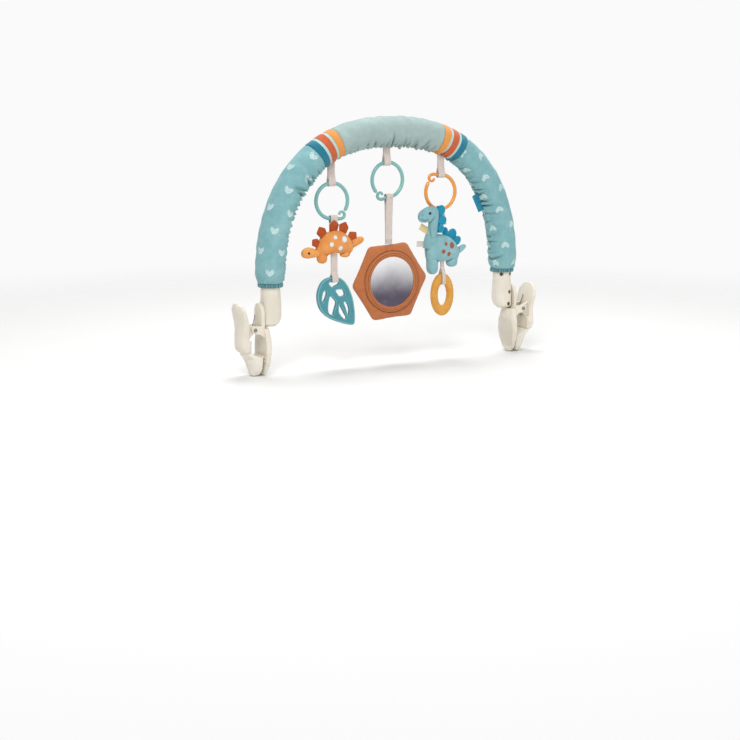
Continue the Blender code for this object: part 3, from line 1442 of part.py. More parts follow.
def hex_ring(y, scale, inset=0.0):
    """Hexagon with softened corners, at a share of full size."""
    ring = []
    corner = math.tau / 6
    for i in range(POUCH_POINTS):
        angle = math.tau * i / POUCH_POINTS
        local = (angle % corner) - corner / 2
        flat = math.cos(corner / 2) / math.cos(local)
        reach = HEX_RADIUS * (flat * (1 - HEX_CORNER_SHARE) + math.cos(corner / 2) ** 0.5 * HEX_CORNER_SHARE)
        reach = (reach - inset) * scale
        ring.append(
            Vector((MIRROR_X + reach * math.cos(angle + HEX_TURN), y, MIRROR_Z + reach * math.sin(angle + HEX_TURN)))
        )
    return ring


def disc_ring(y, radius):
    ring = []
    for i in range(POUCH_POINTS):
        angle = math.tau * i / POUCH_POINTS + HEX_TURN
        ring.append(Vector((MIRROR_X + radius * math.cos(angle), y, MIRROR_Z + radius * math.sin(angle))))
    return ring


def frame_seat_y():
    return -POUCH_HALF_DEPTH


def mirror_seat_y():
    return -POUCH_HALF_DEPTH + MIRROR_THICKNESS + MIRROR_SINK


def mirror_pouch():
    """Cushion with a drawn-in seam, a crown on both sides and a round pocket for the mirror."""
    depth = POUCH_HALF_DEPTH
    rings = [
        disc_ring(depth * 1.08, FRAME_OUTER_RADIUS * 0.35),
        disc_ring(depth, FRAME_OUTER_RADIUS * 0.9),
        hex_ring(depth * 0.72, 0.90),
        hex_ring(depth * 0.38, 0.97),
        hex_ring(POUCH_SEAM, 1.0),
        hex_ring(-POUCH_SEAM, 1.0),
        hex_ring(-depth * 0.38, 0.97),
        hex_ring(-depth * 0.72, 0.90),
        disc_ring(-depth + SEAT_GAP, FRAME_OUTER_RADIUS + SEAT_GAP * 3),
        disc_ring(-depth, FRAME_OUTER_RADIUS - SEAT_GAP),
        disc_ring(frame_seat_y(), MIRROR_RADIUS + RUNNING_GAP),
        disc_ring(mirror_seat_y() + SEAT_GAP, MIRROR_RADIUS + RUNNING_GAP),
    ]
    return loft(rings)


def mirror_disc():
    back = mirror_seat_y()
    front = back - MIRROR_THICKNESS
    edge = MIRROR_THICKNESS / 5
    return loft(
        [
            disc_ring(back, MIRROR_RADIUS - edge),
            disc_ring(back - edge, MIRROR_RADIUS),
            disc_ring(front + edge, MIRROR_RADIUS),
            disc_ring(front, MIRROR_RADIUS - edge),
        ]
    )


def mirror_frame():
    """Padded cloth ring stitched over the mirror's edge."""
    back = frame_seat_y() - SEAT_GAP
    middle = (MIRROR_VIEW_RADIUS + FRAME_OUTER_RADIUS) / 2
    half = (FRAME_OUTER_RADIUS - MIRROR_VIEW_RADIUS) / 2
    rows = []
    for i in range(FRAME_SECTION + 1):
        angle = math.pi * i / FRAME_SECTION
        rows.append((middle + half * math.cos(angle), back - FRAME_HEIGHT * math.sin(angle) ** 0.7))
    rings = [disc_ring(y, radius) for radius, y in rows]
    return hoop(rings)


# Long-necked dinosaur


def dino_body_form(extra=0.0):
    return stuffed(DINO_BODY_SHARES, (DINO_CHEST_X, DINO_BELLY_Z), DINO_LENGTH, DINO_HEIGHT, DINO_HALF_THICKNESS, extra)


def dino_forward(z):
    """How far the neck has come forward at a height."""
    share = (z - DINO_NECK_BOTTOM_Z) / (DINO_NECK_TOP_Z - DINO_NECK_BOTTOM_Z)
    return DINO_FORWARD * min(1.0, max(0.0, 0.35 + 0.85 * share))


def dino_tail_form(extra=0.0):
    start = (DINO_CHEST_X + DINO_LENGTH * 0.95, 0, DINO_BELLY_Z + DINO_HEIGHT * 0.37)
    return tail(start, DINO_TAIL_LENGTH, DINO_TAIL_RADIUS + extra, DINO_TAIL_RISE)


def dinosaur_body():
    return union(dino_body_form(), dino_tail_form())


def neck_form(extra=0.0):
    rings = []
    for place, wide, thick in DINO_NECK_SHARES:
        z = DINO_NECK_BOTTOM_Z + (DINO_NECK_TOP_Z - DINO_NECK_BOTTOM_Z) * place
        centre = Vector((DINO_NECK_X, -dino_forward(z), z))
        rings.append(
            oval_ring(centre, DINO_NECK_HALF_WIDTH * wide + extra, DINO_NECK_HALF_THICKNESS * thick + extra, Vector((1, 0, 0)), Vector((0, 1, 0)), 12, 2.2)
        )
    return loft(rings)


def head_form(extra=0.0):
    return stuffed(
        DINO_HEAD_SHARES,
        (DINO_HEAD_X, DINO_HEAD_Z),
        DINO_HEAD_LENGTH,
        DINO_HEAD_HEIGHT,
        DINO_HEAD_HALF_THICKNESS,
        extra,
        DINO_FORWARD,
    )


def dinosaur_neck_head():
    return cut(union(head_form(), neck_form()), dino_body_form(SEAT_GAP))


def dinosaur_leg(x, low_z):
    high = DINO_BELLY_Z + DINO_HEIGHT * 0.22
    leg = limb(x, low_z, high, DINO_LEG_HALF_WIDTH, DINO_LEG_HALF_THICKNESS)
    return cut(leg, dino_body_form(SEAT_GAP))


def scalloped(base, rows, reach, sink, y):
    """Felt strip along a seam: lobes outside it, and an inner edge sunk by a set depth."""
    outline, back = [], []
    for place, half, size in rows:
        out = base(place)[1]
        for i in range(CREST_LOBE_POINTS):
            angle = math.pi * i / (CREST_LOBE_POINTS - 1)
            point = base(place - half * math.cos(angle))[0]
            outline.append(point + out * reach * size * math.sin(angle))
        back.append(base(place)[0] - out * sink)
    first, last = rows[0], rows[-1]
    start, end = base(first[0] - first[1]), base(last[0] + last[1])
    outline += [end[0] - end[1] * sink, *reversed(back), start[0] - start[1] * sink]
    return prism([(point.x, point.z) for point in outline], y - CREST_THICKNESS / 2, y + CREST_THICKNESS / 2)


def neck_seam(share):
    """Base line of the neck's crest, from the withers to the top of the head, and its outward way."""
    x = DINO_NECK_X + DINO_NECK_HALF_WIDTH * DINO_NECK_SHARES[2][1] + CREST_BAND
    low = DINO_BELLY_Z + DINO_HEIGHT
    high = DINO_HEAD_Z + DINO_HEAD_HEIGHT * 1.1
    return Vector((x, 0, low + (high - low) * share)), Vector((1, 0, 0))


def back_seam(share):
    """Point on the back at a share of the body's length, and its outward way."""

    def top(place):
        places = [row[0] for row in DINO_BODY_SHARES]
        tops = [row[2] for row in DINO_BODY_SHARES]
        height = DINO_HEIGHT * float(np.interp(place, places, tops))
        return Vector((DINO_CHEST_X + DINO_LENGTH * place, 0, DINO_BELLY_Z + height))

    along = top(share + 0.08) - top(share - 0.08)
    return top(share), Vector((-along.z, 0, along.x)).normalized()


def neck_crest():
    shape = scalloped(neck_seam, NECK_LOBES_SHARES, NECK_CREST_REACH, CREST_BAND + DINO_NECK_HALF_WIDTH / 4, -DINO_FORWARD)
    return cut(shape, neck_form(SEAT_GAP), head_form(SEAT_GAP), dino_body_form(SEAT_GAP))


def back_crest():
    shape = scalloped(back_seam, BACK_LOBES_SHARES, BACK_CREST_REACH, CREST_BAND / 2, 0.0)
    return cut(shape, dino_body_form(SEAT_GAP), dino_tail_form(SEAT_GAP))


def side_tag(right_x, centre_z, width, reach, turn, y, carriers):
    """Flat folded loop sewn into a front seam, pointing to -X."""
    outline = [(-reach, -width / 2), (width / 2, -width / 2), (width / 2, width / 2), (-reach, width / 2)]
    c, s = math.cos(turn), math.sin(turn)
    points = [(right_x + a * c - b * s, centre_z + a * s + b * c) for a, b in outline]
    return cut(prism(points, y - TAG_THICKNESS / 2, y + TAG_THICKNESS / 2), *carriers)


def oval_teether():
    """Flat oval ring with rounded edges."""
    half = OVAL_THICKNESS / 2
    section = ((0, -half + OVAL_EDGE), (OVAL_EDGE, -half), (1, -half), (2, -half + OVAL_EDGE), (2, half - OVAL_EDGE), (1, half), (OVAL_EDGE, half), (0, half - OVAL_EDGE))
    rings = []
    for i in range(OVAL_POINTS):
        angle = math.tau * i / OVAL_POINTS
        c, s = math.cos(angle), math.sin(angle)
        inner = Vector((OVAL_HOLE_HALF_WIDTH * c, 0, OVAL_HOLE_HALF_HEIGHT * s))
        outer = Vector((OVAL_HALF_WIDTH * c, 0, OVAL_HALF_HEIGHT * s))
        wide = (outer - inner).length
        ring = []
        for place, y in section:
            if place == 1:
                reach = wide - OVAL_EDGE
            elif place == 2:
                reach = wide
            else:
                reach = place
            point = inner + (outer - inner).normalized() * reach
            ring.append(Vector((OVAL_X + point.x, y, OVAL_Z + point.z)))
        rings.append(ring)
    return hoop(rings)


# Assembly


def frame_empty(name, place, turn=0.0, parent=None):
    empty = bpy.data.objects.new(name, None)
    bpy.context.scene.collection.objects.link(empty)
    world = Matrix.Translation(Vector(place)) @ Matrix.Rotation(turn, 4, "Z")
    if parent:
        empty.parent = parent
        bpy.context.view_layer.update()
        empty.matrix_basis = parent.matrix_world.inverted() @ world
    else:
        empty.matrix_basis = world
    empty.empty_display_size = SLEEVE_RADIUS
    bpy.context.view_layer.update()
    return empty


def add(name, shape, material, parent, smooth_angle=math.radians(38)):
    """Turn a shape in world places into a named object that rides on a parent."""
    made = mesh_object(name, shape)
    made.data.materials.append(finish(material))
    made.data.transform(parent.matrix_world.inverted())
    made.parent = parent
    made.data.shade_smooth()
    made.data.set_sharp_from_angle(angle=smooth_angle)
    return made


def add_copy(name, source, parent):
    """The same moulding on the other arm, turned half round with its parent."""
    made = bpy.data.objects.new(name, source.data)
    bpy.context.scene.collection.objects.link(made)
    made.parent = parent
    return made


def build_arch(root):
    limits = panel_limits()
    add("arch_rod", arch_rod(), "rod_plastic", root)
    add("foam_core", arch_foam(), "foam", root)
    add("sleeve_left", sleeve_panel(limits[0], limits[1]), "aqua_plush", root)
    add("stripes_left", stripe_panel(limits[1], limits[2]), "striped_plush", root)
    add("sleeve_centre", sleeve_panel(limits[2], limits[3]), "pale_aqua_plush", root)
    add("stripes_right", stripe_panel(limits[3], limits[4]), "striped_plush", root)
    add("sleeve_right", sleeve_panel(limits[4], limits[5]), "aqua_plush", root)
    add("arch_tag", arch_tag(), "blue_cloth", root)
    add("hanger_left", hanger(LEFT_HANGER_X, LEFT_RING), "ribbon", root)
    add("hanger_centre", hanger(CENTRE_HANGER_X, CENTRE_RING), "ribbon", root)
    add("hanger_right", hanger(RIGHT_HANGER_X, RIGHT_RING), "ribbon", root)


def build_clips():
    """Both arms carry the same mouldings: the left set is the right one turned half round."""
    hinge_x = ARCH_HALF_WIDTH + HINGE_OFFSET
    frames = {}
    for side, sign, turn in (("right", 1, 0.0), ("left", -1, math.pi)):
        arm = frame_empty(f"arm_{side}", (sign * ARCH_HALF_WIDTH, 0, 0), turn)
        tilt = frame_empty(f"tilt_axis_{side}", (sign * ARCH_HALF_WIDTH, 0, TILT_Z), turn, arm)
        hinge = frame_empty(f"jaw_axis_{side}", (sign * hinge_x, 0, HINGE_Z), turn, tilt)
        frames[side] = (arm, tilt, hinge)
    arm, tilt, hinge = frames["right"]
    pieces = [
        (add("cuff_right", cuff(), "elastic", arm), 0),
        (add("housing_front_right", housing_front(), "ivory_plastic", arm), 0),
        (add("housing_back_right", housing_back(), "ivory_plastic", arm), 0),
        (add("inner_jaw_right", inner_jaw(), "ivory_plastic", tilt), 1),
        (add("jaw_pin_right", hinge_pin(), "steel", tilt), 1),
        (add("jaw_spring_right", torsion_spring(), "steel", tilt), 1),
        (add("outer_jaw_right", outer_jaw(), "ivory_plastic", hinge), 2),
        (add("jaw_tip_right", jaw_tip(), "soft_ivory", hinge), 2),
    ]
    for i, place in enumerate(screw_places()):
        pieces.append((add(f"screw_{i + 1}_right", screw(*place), "steel", arm), 0))
    for piece, level in pieces:
        add_copy(piece.name.replace("_right", "_left"), piece, frames["left"][level])


def build_rings(rings):
    """Three linking rings, each swinging about the wire in its hanger."""
    for side, place, curl, way, material in rings:
        top = frame_empty(f"ring_axis_{side}", (place[0], 0, place[1] + RING_RADIUS))
        add(f"ring_{side}", linking_ring(place, curl, way), material, top)
        frame_empty(f"toy_axis_{side}", (place[0], 0, place[1] - RING_RADIUS), 0.0, top)


def build_stegosaurus(axis):
    back_z = steg_back((LEFT_RIBBON_X - STEG_CHEST_X) / STEG_LENGTH)[1] + 2 * SEAT_GAP
    loop = toy_loop(LEFT_RIBBON_X, RIBBON_WIDTH, LEFT_RING, back_z)
    add("stegosaurus_body", stegosaurus_body(), "orange_plush", axis)
    add("stegosaurus_head", stegosaurus_head(), "orange_plush", axis)
    add("stegosaurus_front_leg", stegosaurus_leg(0.16, STEG_FRONT_LEG_Z), "orange_plush", axis)
    add("stegosaurus_rear_leg", stegosaurus_leg(0.80, STEG_REAR_LEG_Z), "orange_plush", axis)
    plates = [steg_plate(*row) for row in zip(STEG_PLATE_PLACES_SHARE, STEG_PLATE_SIZES_SHARE, STEG_PLATE_LEANS)]
    add("stegosaurus_loop", cut(loop, steg_body_form(SEAT_GAP), *plates), "ribbon", axis)
    belly = min(
        belly_z(LEAF_RIBBON_X + side * RIBBON_WIDTH / 2, STEG_BODY_SHARES, steg_origin(), STEG_LENGTH, STEG_HEIGHT)
        for side in (-1, 1)
    )
    seam_z = belly - SEAT_GAP
    swing = frame_empty("leaf_axis", (LEAF_RIBBON_X, 0, seam_z), 0.0, axis)
    bar_z = LEAF_Z + LEAF_HEIGHT * LEAF_BAR_SHARE[0]
    bar_height = LEAF_HEIGHT * (1 - LEAF_BAR_SHARE[0]) * 2
    ribbon = hanging_strap(LEAF_RIBBON_X, RIBBON_WIDTH * 0.92, seam_z, bar_z, bar_height, LEAF_THICKNESS)
    add("leaf_ribbon", ribbon, "ribbon", swing)
    add("leaf_teether", leaf_teether(), "teal_rubber", swing)


def build_mirror(axis):
    offset = CENTRE_RIBBON_X - MIRROR_X
    edge = HEX_RADIUS * math.cos(math.pi / 6) + abs(offset) * math.tan(HEX_TURN)
    foot_z = MIRROR_Z + edge + POUCH_SEAM
    add("mirror_strap", toy_loop(CENTRE_RIBBON_X, RIBBON_WIDTH, CENTRE_RING, foot_z), "ribbon", axis)
    add("mirror_pouch", mirror_pouch(), "terracotta_cloth", axis)
    add("mirror_frame", mirror_frame(), "terracotta_cloth", axis)
    add("mirror_disc", mirror_disc(), "mirror", axis)


def build_dinosaur(axis):
    crest_back = -DINO_FORWARD + CREST_THICKNESS / 2 + SEAT_GAP + RIBBON_THICKNESS / 2 + RIBBON_SPREAD
    foot_z = RIGHT_RING[1] - RING_RADIUS - 2 * RIBBON_WIDTH
    add("dinosaur_body", dinosaur_body(), "blue_plush", axis)
    add("dinosaur_neck_head", dinosaur_neck_head(), "blue_plush", axis)
    add("dinosaur_front_leg", dinosaur_leg(DINO_FRONT_LEG_X, DINO_FRONT_LEG_Z), "blue_plush", axis)
    add("dinosaur_rear_leg", dinosaur_leg(DINO_REAR_LEG_X, DINO_REAR_LEG_Z), "blue_plush", axis)
    add("dinosaur_neck_crest", neck_crest(), "blue_felt", axis)
    add("dinosaur_back_crest", back_crest(), "blue_felt", axis)
    loop = toy_loop(RIGHT_RIBBON_X, NECK_LOOP_WIDTH, RIGHT_RING, foot_z, crest_back)
    add("dinosaur_loop", cut(loop, neck_form(SEAT_GAP), head_form(SEAT_GAP)), "ribbon", axis)
    cream_x = DINO_NECK_X - DINO_NECK_HALF_WIDTH * 0.8
    cream_y = -dino_forward(CREAM_TAG_Z)
    cream = side_tag(cream_x, CREAM_TAG_Z, CREAM_TAG_WIDTH, CREAM_TAG_REACH, CREAM_TAG_TURN, cream_y, [neck_form(SEAT_GAP)])
    add("cream_tag", cream, "cream_cloth", axis)
    white = side_tag(
        DINO_CHEST_X + DINO_LENGTH * 0.01,
        WHITE_TAG_Z,
        WHITE_TAG_WIDTH,
        WHITE_TAG_REACH,
        WHITE_TAG_TURN,
        0.0,
        [dino_body_form(SEAT_GAP), neck_form(SEAT_GAP)],
    )
    add("white_tag", white, "white_cloth", axis)
    origin = (DINO_CHEST_X, DINO_BELLY_Z)
    belly = min(
        belly_z(OVAL_X + side * THIN_RIBBON_WIDTH / 2, DINO_BODY_SHARES, origin, DINO_LENGTH, DINO_HEIGHT)
        for side in (-1, 1)
    )
    seam_z = belly - SEAT_GAP
    swing = frame_empty("oval_axis", (OVAL_X, 0, seam_z), 0.0, axis)
    sag = OVAL_HOLE_HALF_HEIGHT * (1 - math.sqrt(1 - (THIN_RIBBON_WIDTH / 2 / OVAL_HOLE_HALF_WIDTH) ** 2))
    bar_height = OVAL_HALF_HEIGHT - OVAL_HOLE_HALF_HEIGHT + sag
    bar_z = OVAL_Z + OVAL_HALF_HEIGHT - bar_height / 2
    ribbon = hanging_strap(OVAL_X, THIN_RIBBON_WIDTH, seam_z, bar_z, bar_height, OVAL_THICKNESS)
    add("oval_ribbon", ribbon, "ribbon", swing)
    add("oval_teether", oval_teether(), "orange_rubber", swing)


def main():
    clear_scene()
    root = frame_empty("arch_frame", (0, 0, 0))
    build_arch(root)
    build_clips()
    build_rings(
        (
            ("left", LEFT_RING, LEFT_CURL, 1, "mint_plastic"),
            ("centre", CENTRE_RING, CENTRE_CURL, -1, "mint_plastic"),
            ("right", RIGHT_RING, RIGHT_CURL, 1, "orange_plastic"),
        )
    )
    build_stegosaurus(bpy.data.objects["toy_axis_left"])
    build_mirror(bpy.data.objects["toy_axis_centre"])
    build_dinosaur(bpy.data.objects["toy_axis_right"])


main()
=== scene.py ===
"""Looks of the padded toy arch: sleeves, clips, rings, ribbons and the three toys on it."""

import math
from functools import partial

import bmesh
import bpy
import numpy as np
from mathutils import Matrix, Vector


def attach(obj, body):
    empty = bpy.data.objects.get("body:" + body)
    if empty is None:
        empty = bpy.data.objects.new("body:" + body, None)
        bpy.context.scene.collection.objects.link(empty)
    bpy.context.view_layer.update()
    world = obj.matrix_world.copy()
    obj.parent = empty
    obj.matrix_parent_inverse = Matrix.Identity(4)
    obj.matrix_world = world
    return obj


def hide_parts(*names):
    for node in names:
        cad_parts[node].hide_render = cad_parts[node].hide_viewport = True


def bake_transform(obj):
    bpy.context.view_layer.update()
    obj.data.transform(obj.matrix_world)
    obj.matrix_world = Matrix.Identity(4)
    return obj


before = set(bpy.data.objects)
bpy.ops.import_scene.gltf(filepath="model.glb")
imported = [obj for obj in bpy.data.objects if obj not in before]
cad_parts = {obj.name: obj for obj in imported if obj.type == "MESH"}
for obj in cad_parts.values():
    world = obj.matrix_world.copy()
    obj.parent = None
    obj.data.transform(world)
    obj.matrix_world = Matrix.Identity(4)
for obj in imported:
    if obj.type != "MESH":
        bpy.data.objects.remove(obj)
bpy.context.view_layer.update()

# Arch, as in the part's own sizes
ARCH_HALF_WIDTH = 0.1955
ARCH_RISE = 0.2097
ARCH_EXPONENT = 2.32
ARCH_BASE_Z = 0.082
PATTERN_SHIFT = -0.0065
FOAM_RADIUS = 0.016
FOAM_FOOT_Z = 0.099
SLEEVE_RADIUS = 0.0218
SLEEVE_INSIDE = 0.0167
SLEEVE_FOOT_Z = 0.0833
SLEEVE_FOOT_RADIUS = 0.0178
SLEEVE_TAPER = 0.018
STRIPE_START = 0.085
STRIPE_WIDTH = 0.0105
STRIPE_SPACE = 0.004
CUFF_BOTTOM_Z = 0.0775
CUFF_RADIUS = 0.0172
HOUSING_RADIUS = 0.014

# Rings, ribbons and the places that they share
RING_RADIUS = 0.0253
RING_WIRE = 0.0027
CURL_RADIUS = 0.0052
CURL_END_RADIUS = 0.0036
RIBBON_WIDTH = 0.011
RIBBON_THICKNESS = 0.001
RIBBON_SPREAD = 0.0009
LEFT_RING = (-0.0975, 0.1948)
CENTRE_RING = (-0.0065, 0.2222)
RIGHT_RING = (0.0840, 0.2020)

# Time that the soft pieces get to swell, in simulation steps
SWELL_STEPS = 18


def paint(code, strength=1.0):
    """Linear colour from a six-figure paint code."""
    parts = [int(code[i : i + 2], 16) / 255 for i in (0, 2, 4)]
    linear = [c / 12.92 if c <= 0.04045 else ((c + 0.055) / 1.055) ** 2.4 for c in parts]
    return (*[c * strength for c in linear], 1.0)


# Finishes


class Reading:
    """A number on its way through a finish, worked on with plain operators."""

    def __init__(self, finish, socket):
        self.finish = finish
        self.socket = socket

    def worked(self, operation, first, second=0.0):
        return self.finish.worked(operation, first, second)

    def __add__(self, other):
        return self.worked("ADD", self, other)

    __radd__ = __add__

    def __mul__(self, other):
        return self.worked("MULTIPLY", self, other)

    __rmul__ = __mul__

    def __sub__(self, other):
        return self.worked("SUBTRACT", self, other)

    def __rsub__(self, other):
        return self.worked("SUBTRACT", other, self)

    def __truediv__(self, other):
        return self.worked("DIVIDE", self, other)

    def __pow__(self, other):
        return self.worked("POWER", self, other)

    def __abs__(self):
        return self.worked("ABSOLUTE", self)

    def least(self, other):
        return self.worked("MINIMUM", self, other)

    def most(self, other):
        return self.worked("MAXIMUM", self, other)

    def wave(self):
        return self.worked("SINE", self)

    def between(self, low, high):
        """0 below low, 1 above high, and smooth in between."""
        settings = {"interpolation_type": "SMOOTHSTEP"}
        return self.finish.node("ShaderNodeMapRange", settings, {"Value": self, "From Min": low, "From Max": high})


class Finish:
    """A node material being built for one kind of surface."""

    def __init__(self, name):
        self.material = bpy.data.materials.new(name)
        self.material.use_nodes = True
        self.tree = self.material.node_tree
        self.shader = self.tree.nodes["Principled BSDF"]

    def connect(self, socket, value):
        if isinstance(value, Reading):
            self.tree.links.new(value.socket, socket)
        elif value is not None:
            socket.default_value = value

    def node(self, kind, settings=None, inputs=None, output=0):
        made = self.tree.nodes.new(kind)
        for name, value in (settings or {}).items():
            setattr(made, name, value)
        for name, value in (inputs or {}).items():
            self.connect(made.inputs[name], value)
        return Reading(self, made.outputs[output])

    def place(self, scale=(1, 1, 1), uv=None):
        """Object coordinates, or the piece's own cloth map, stretched by a scale."""
        if uv:
            start = self.node("ShaderNodeUVMap", {"uv_map": uv})
        else:
            start = self.node("ShaderNodeTexCoord", output="Object")
        if scale == (1, 1, 1):
            return start
        return self.node("ShaderNodeMapping", {"vector_type": "POINT"}, {"Vector": start, "Scale": scale})

    def axis(self, place, which):
        return self.node("ShaderNodeSeparateXYZ", None, {0: place}, "XYZ".index(which))

    def noise(self, place, scale, detail=2.0, rough=0.5):
        inputs = {"Vector": place, "Scale": scale, "Detail": detail, "Roughness": rough}
        return self.node("ShaderNodeTexNoise", None, inputs)

    def cells(self, place, scale, output="Distance"):
        return self.node("ShaderNodeTexVoronoi", None, {"Vector": place, "Scale": scale}, output)

    def folds(self):
        """How much painted shade a point gets for lying in a fold or crease, from 0 to 1, as marked on the mesh."""
        return self.node("ShaderNodeAttribute", {"attribute_name": "fold"}, None, "Fac")

    def mix(self, share, first, second):
        return self.node("ShaderNodeMix", {"data_type": "RGBA"}, {0: share, 6: first, 7: second}, 2)

    def worked(self, operation, first, second=0.0):
        return self.node("ShaderNodeMath", {"operation": operation}, {0: first, 1: second})

    def done(self, colour, roughness, bumps=(), **fixed):
        """Set the shader; bumps are pairs of a height reading and its depth in metres."""
        self.connect(self.shader.inputs["Base Color"], colour)
        self.connect(self.shader.inputs["Roughness"], roughness)
        normal = None
        for height, depth in bumps:
            normal = self.node("ShaderNodeBump", None, {"Height": height, "Distance": depth, "Normal": normal})
        self.connect(self.shader.inputs["Normal"], normal)
        for name, value in fixed.items():
            self.connect(self.shader.inputs[name.replace("_", " ").title()], value)
        return self.material


def nap_finish(name, colour, shade, worn, spots=None, sheen=0.35):
    """Short-pile plush: brushed patches, a fine nap, and a paler bloom along its swells."""
    made = Finish(name)
    place = made.place()
    brushed = made.noise(place, 85.0, 3.0, 0.6)
    patch = made.noise(place, 24.0, 2.0)
    nap = made.noise(place, 1500.0, 2.0, 0.7)
    tuft = made.noise(place, 520.0, 2.0, 0.6)
    base = made.mix(0.35 + brushed.between(0.30, 0.70) * 0.5, paint(shade), paint(colour))
    base = made.mix(patch.between(0.50, 0.80) * 0.3, base, paint(worn))
    base = made.mix(tuft.between(0.34, 0.70) * 0.38, base, paint(shade))
    if spots:
        base = spots(made, base)
    # Painted shade: darker in the folds and creases marked on the mesh.
    base = made.mix(made.folds() * 0.85, base, paint(shade, 0.34))
    bumps = ((nap, 0.00035), (tuft, 0.0004), (brushed, 0.0004))
    rough = 0.86 + nap * 0.12
    return made.done(base, rough, bumps, sheen_weight=sheen, sheen_roughness=0.45, sheen_tint=paint(worn))


def woven_finish(name, colour, shade, pitch=0.0007, uv=None, sheen=0.15, across=1.0):
    """Plain woven tape or cotton: crossing threads with uneven slubs."""
    made = Finish(name)
    place = made.place(uv=uv)
    turn = math.tau / pitch
    first = (made.axis(place, "X") * turn).wave()
    second = (made.axis(place, "Y" if uv else "Z") * turn * across).wave()
    weave = (first * second) * 0.5 + 0.5
    slub = made.noise(place, 260.0, 3.0, 0.6)
    soil = made.noise(place, 38.0, 2.0)
    base = made.mix(weave * 0.45 + slub * 0.4, paint(shade), paint(colour))
    base = made.mix(soil.between(0.52, 0.8) * 0.35, base, paint(shade))
    # Painted shade: darker in the folds and creases marked on the mesh.
    base = made.mix(made.folds() * 0.85, base, paint(shade, 0.30))
    bumps = ((weave, 0.00016), (slub, 0.0002))
    return made.done(base, 0.78 + slub * 0.2, bumps, sheen_weight=sheen, sheen_roughness=0.5)


def moulded_finish(name, colour, shade, rough=0.42, grain=0.00006, coat=0.0, glow=0.0):
    """Moulded plastic or rubber: fine grain, flow marks, and rubbed duller patches."""
    made = Finish(name)
    place = made.place()
    flow = made.noise(place, 30.0, 3.0, 0.55)
    fine = made.noise(place, 1900.0, 2.0, 0.6)
    rub = made.noise(place, 130.0, 4.0, 0.65)
    base = made.mix(flow.between(0.35, 0.7) * 0.6, paint(colour), paint(shade))
    base = made.mix(rub.between(0.58, 0.8) * 0.25, base, paint(shade))
    # Painted shade: darker in the creases and hollows marked on the mesh.
    base = made.mix(made.folds() * 0.45, base, paint(shade, 0.5))
    roughness = rough + rub.between(0.45, 0.75) * 0.14 + (fine - 0.5) * 0.08
    bumps = ((fine, grain), (flow, 0.0006))
    return made.done(base, roughness, bumps, coat_weight=coat, subsurface_weight=glow, subsurface_scale=0.003)


def steel_finish(name, colour="8F8C86", shade="6D6862"):
    """Drawn spring and screw steel with fine scratches and dull spots."""
    made = Finish(name)
    place = made.place()
    scratch = made.noise(made.place((1, 1, 0.12)), 2600.0, 2.0)
    dull = made.noise(place, 240.0, 3.0)
    base = made.mix(dull.between(0.4, 0.7), paint(colour), paint(shade))
    return made.done(base, 0.3 + dull * 0.25 + scratch * 0.1, ((scratch, 0.00005),), metallic=1.0)


# Mesh work


def piece(name, mesh, finishes, body, nodes=(), padded=None):
    """Put a finished mesh in the scene, on its body and in place of the nodes that it stands for."""
    made = bpy.data.objects.new(name, mesh)
    bpy.context.scene.collection.objects.link(made)
    for finish in finishes if isinstance(finishes, (list, tuple)) else [finishes]:
        made.data.materials.append(finish)
    # Padded pieces get painted shade in their creases.
    if padded is not None and "fold" not in mesh.attributes:
        mark_crease_shade(mesh)
    if nodes:
        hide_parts(*nodes)
    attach(made, body)
    return made


def mesh_from(shape, name, angle=60):
    """Close a shape into a mesh with outward faces, smooth but for its sharp edges."""
    bmesh.ops.recalc_face_normals(shape, faces=shape.faces)
    mesh = bpy.data.meshes.new(name)
    shape.to_mesh(mesh)
    shape.free()
    mesh.shade_smooth()
    mesh.set_sharp_from_angle(angle=math.radians(angle))
    return mesh


def skin(rows, closed=False, along=None, girth=None):
    """Skin rows of ring points. A cloth map holds metres round the ring and along the rows."""
    rows = np.asarray(rows, float)
    count, sides = rows.shape[:2]
    shape = bmesh.new()
    verts = [[shape.verts.new(point) for point in row] for row in rows]
    cloth = shape.loops.layers.uv.new("cloth") if along is not None else None
    steps = count if closed else count - 1
    for i in range(steps):
        j = (i + 1) % count
        for k in range(sides):
            n = (k + 1) % sides
            face = shape.faces.new((verts[i][k], verts[i][n], verts[j][n], verts[j][k]))
            if cloth:
                corners = ((k, i), (k + 1, i), (k + 1, j), (k, j))
                for loop, (side, row) in zip(face.loops, corners):
                    loop[cloth].uv = (girth * (side / sides - 0.5), along[row])
    if not closed:
        shape.faces.new(list(reversed(verts[0])))
        shape.faces.new(verts[-1])
    return shape


def ease(value):
    value = np.clip(value, 0, 1)
    return value * value * (3 - 2 * value)


def worked(made, *steps):
    """Apply modifiers to an object and return the result as a plain mesh."""
    for kind, settings in steps:
        step = made.modifiers.new(kind, kind)
        for name, value in settings.items():
            setattr(step, name, value)
    graph = bpy.context.evaluated_depsgraph_get()
    mesh = bpy.data.meshes.new_from_object(made.evaluated_get(graph))
    data = made.data
    bpy.data.objects.remove(made, do_unlink=True)
    if data.users == 0:
        bpy.data.meshes.remove(data)
    return mesh


def loose(mesh, name="work"):
    made = bpy.data.objects.new(name, mesh)
    bpy.context.scene.collection.objects.link(made)
    return made


def points_of(mesh):
    co = np.empty(len(mesh.vertices) * 3, np.float32)
    mesh.vertices.foreach_get("co", co)
    return co.reshape(-1, 3).astype(float)


def normals_of(mesh):
    co = np.empty(len(mesh.vertices) * 3, np.float32)
    mesh.vertices.foreach_get("normal", co)
    return co.reshape(-1, 3).astype(float)


def put_points(mesh, points):
    mesh.vertices.foreach_set("co", points.astype(np.float32).ravel())
    mesh.update()


# Painted shade: how dark each point is painted, kept in the mesh's fold attribute.
def mark_painted_shade(mesh, values):
    layer = mesh.attributes.new("fold", "FLOAT", "POINT")
    layer.data.foreach_set("value", np.asarray(values, np.float32))


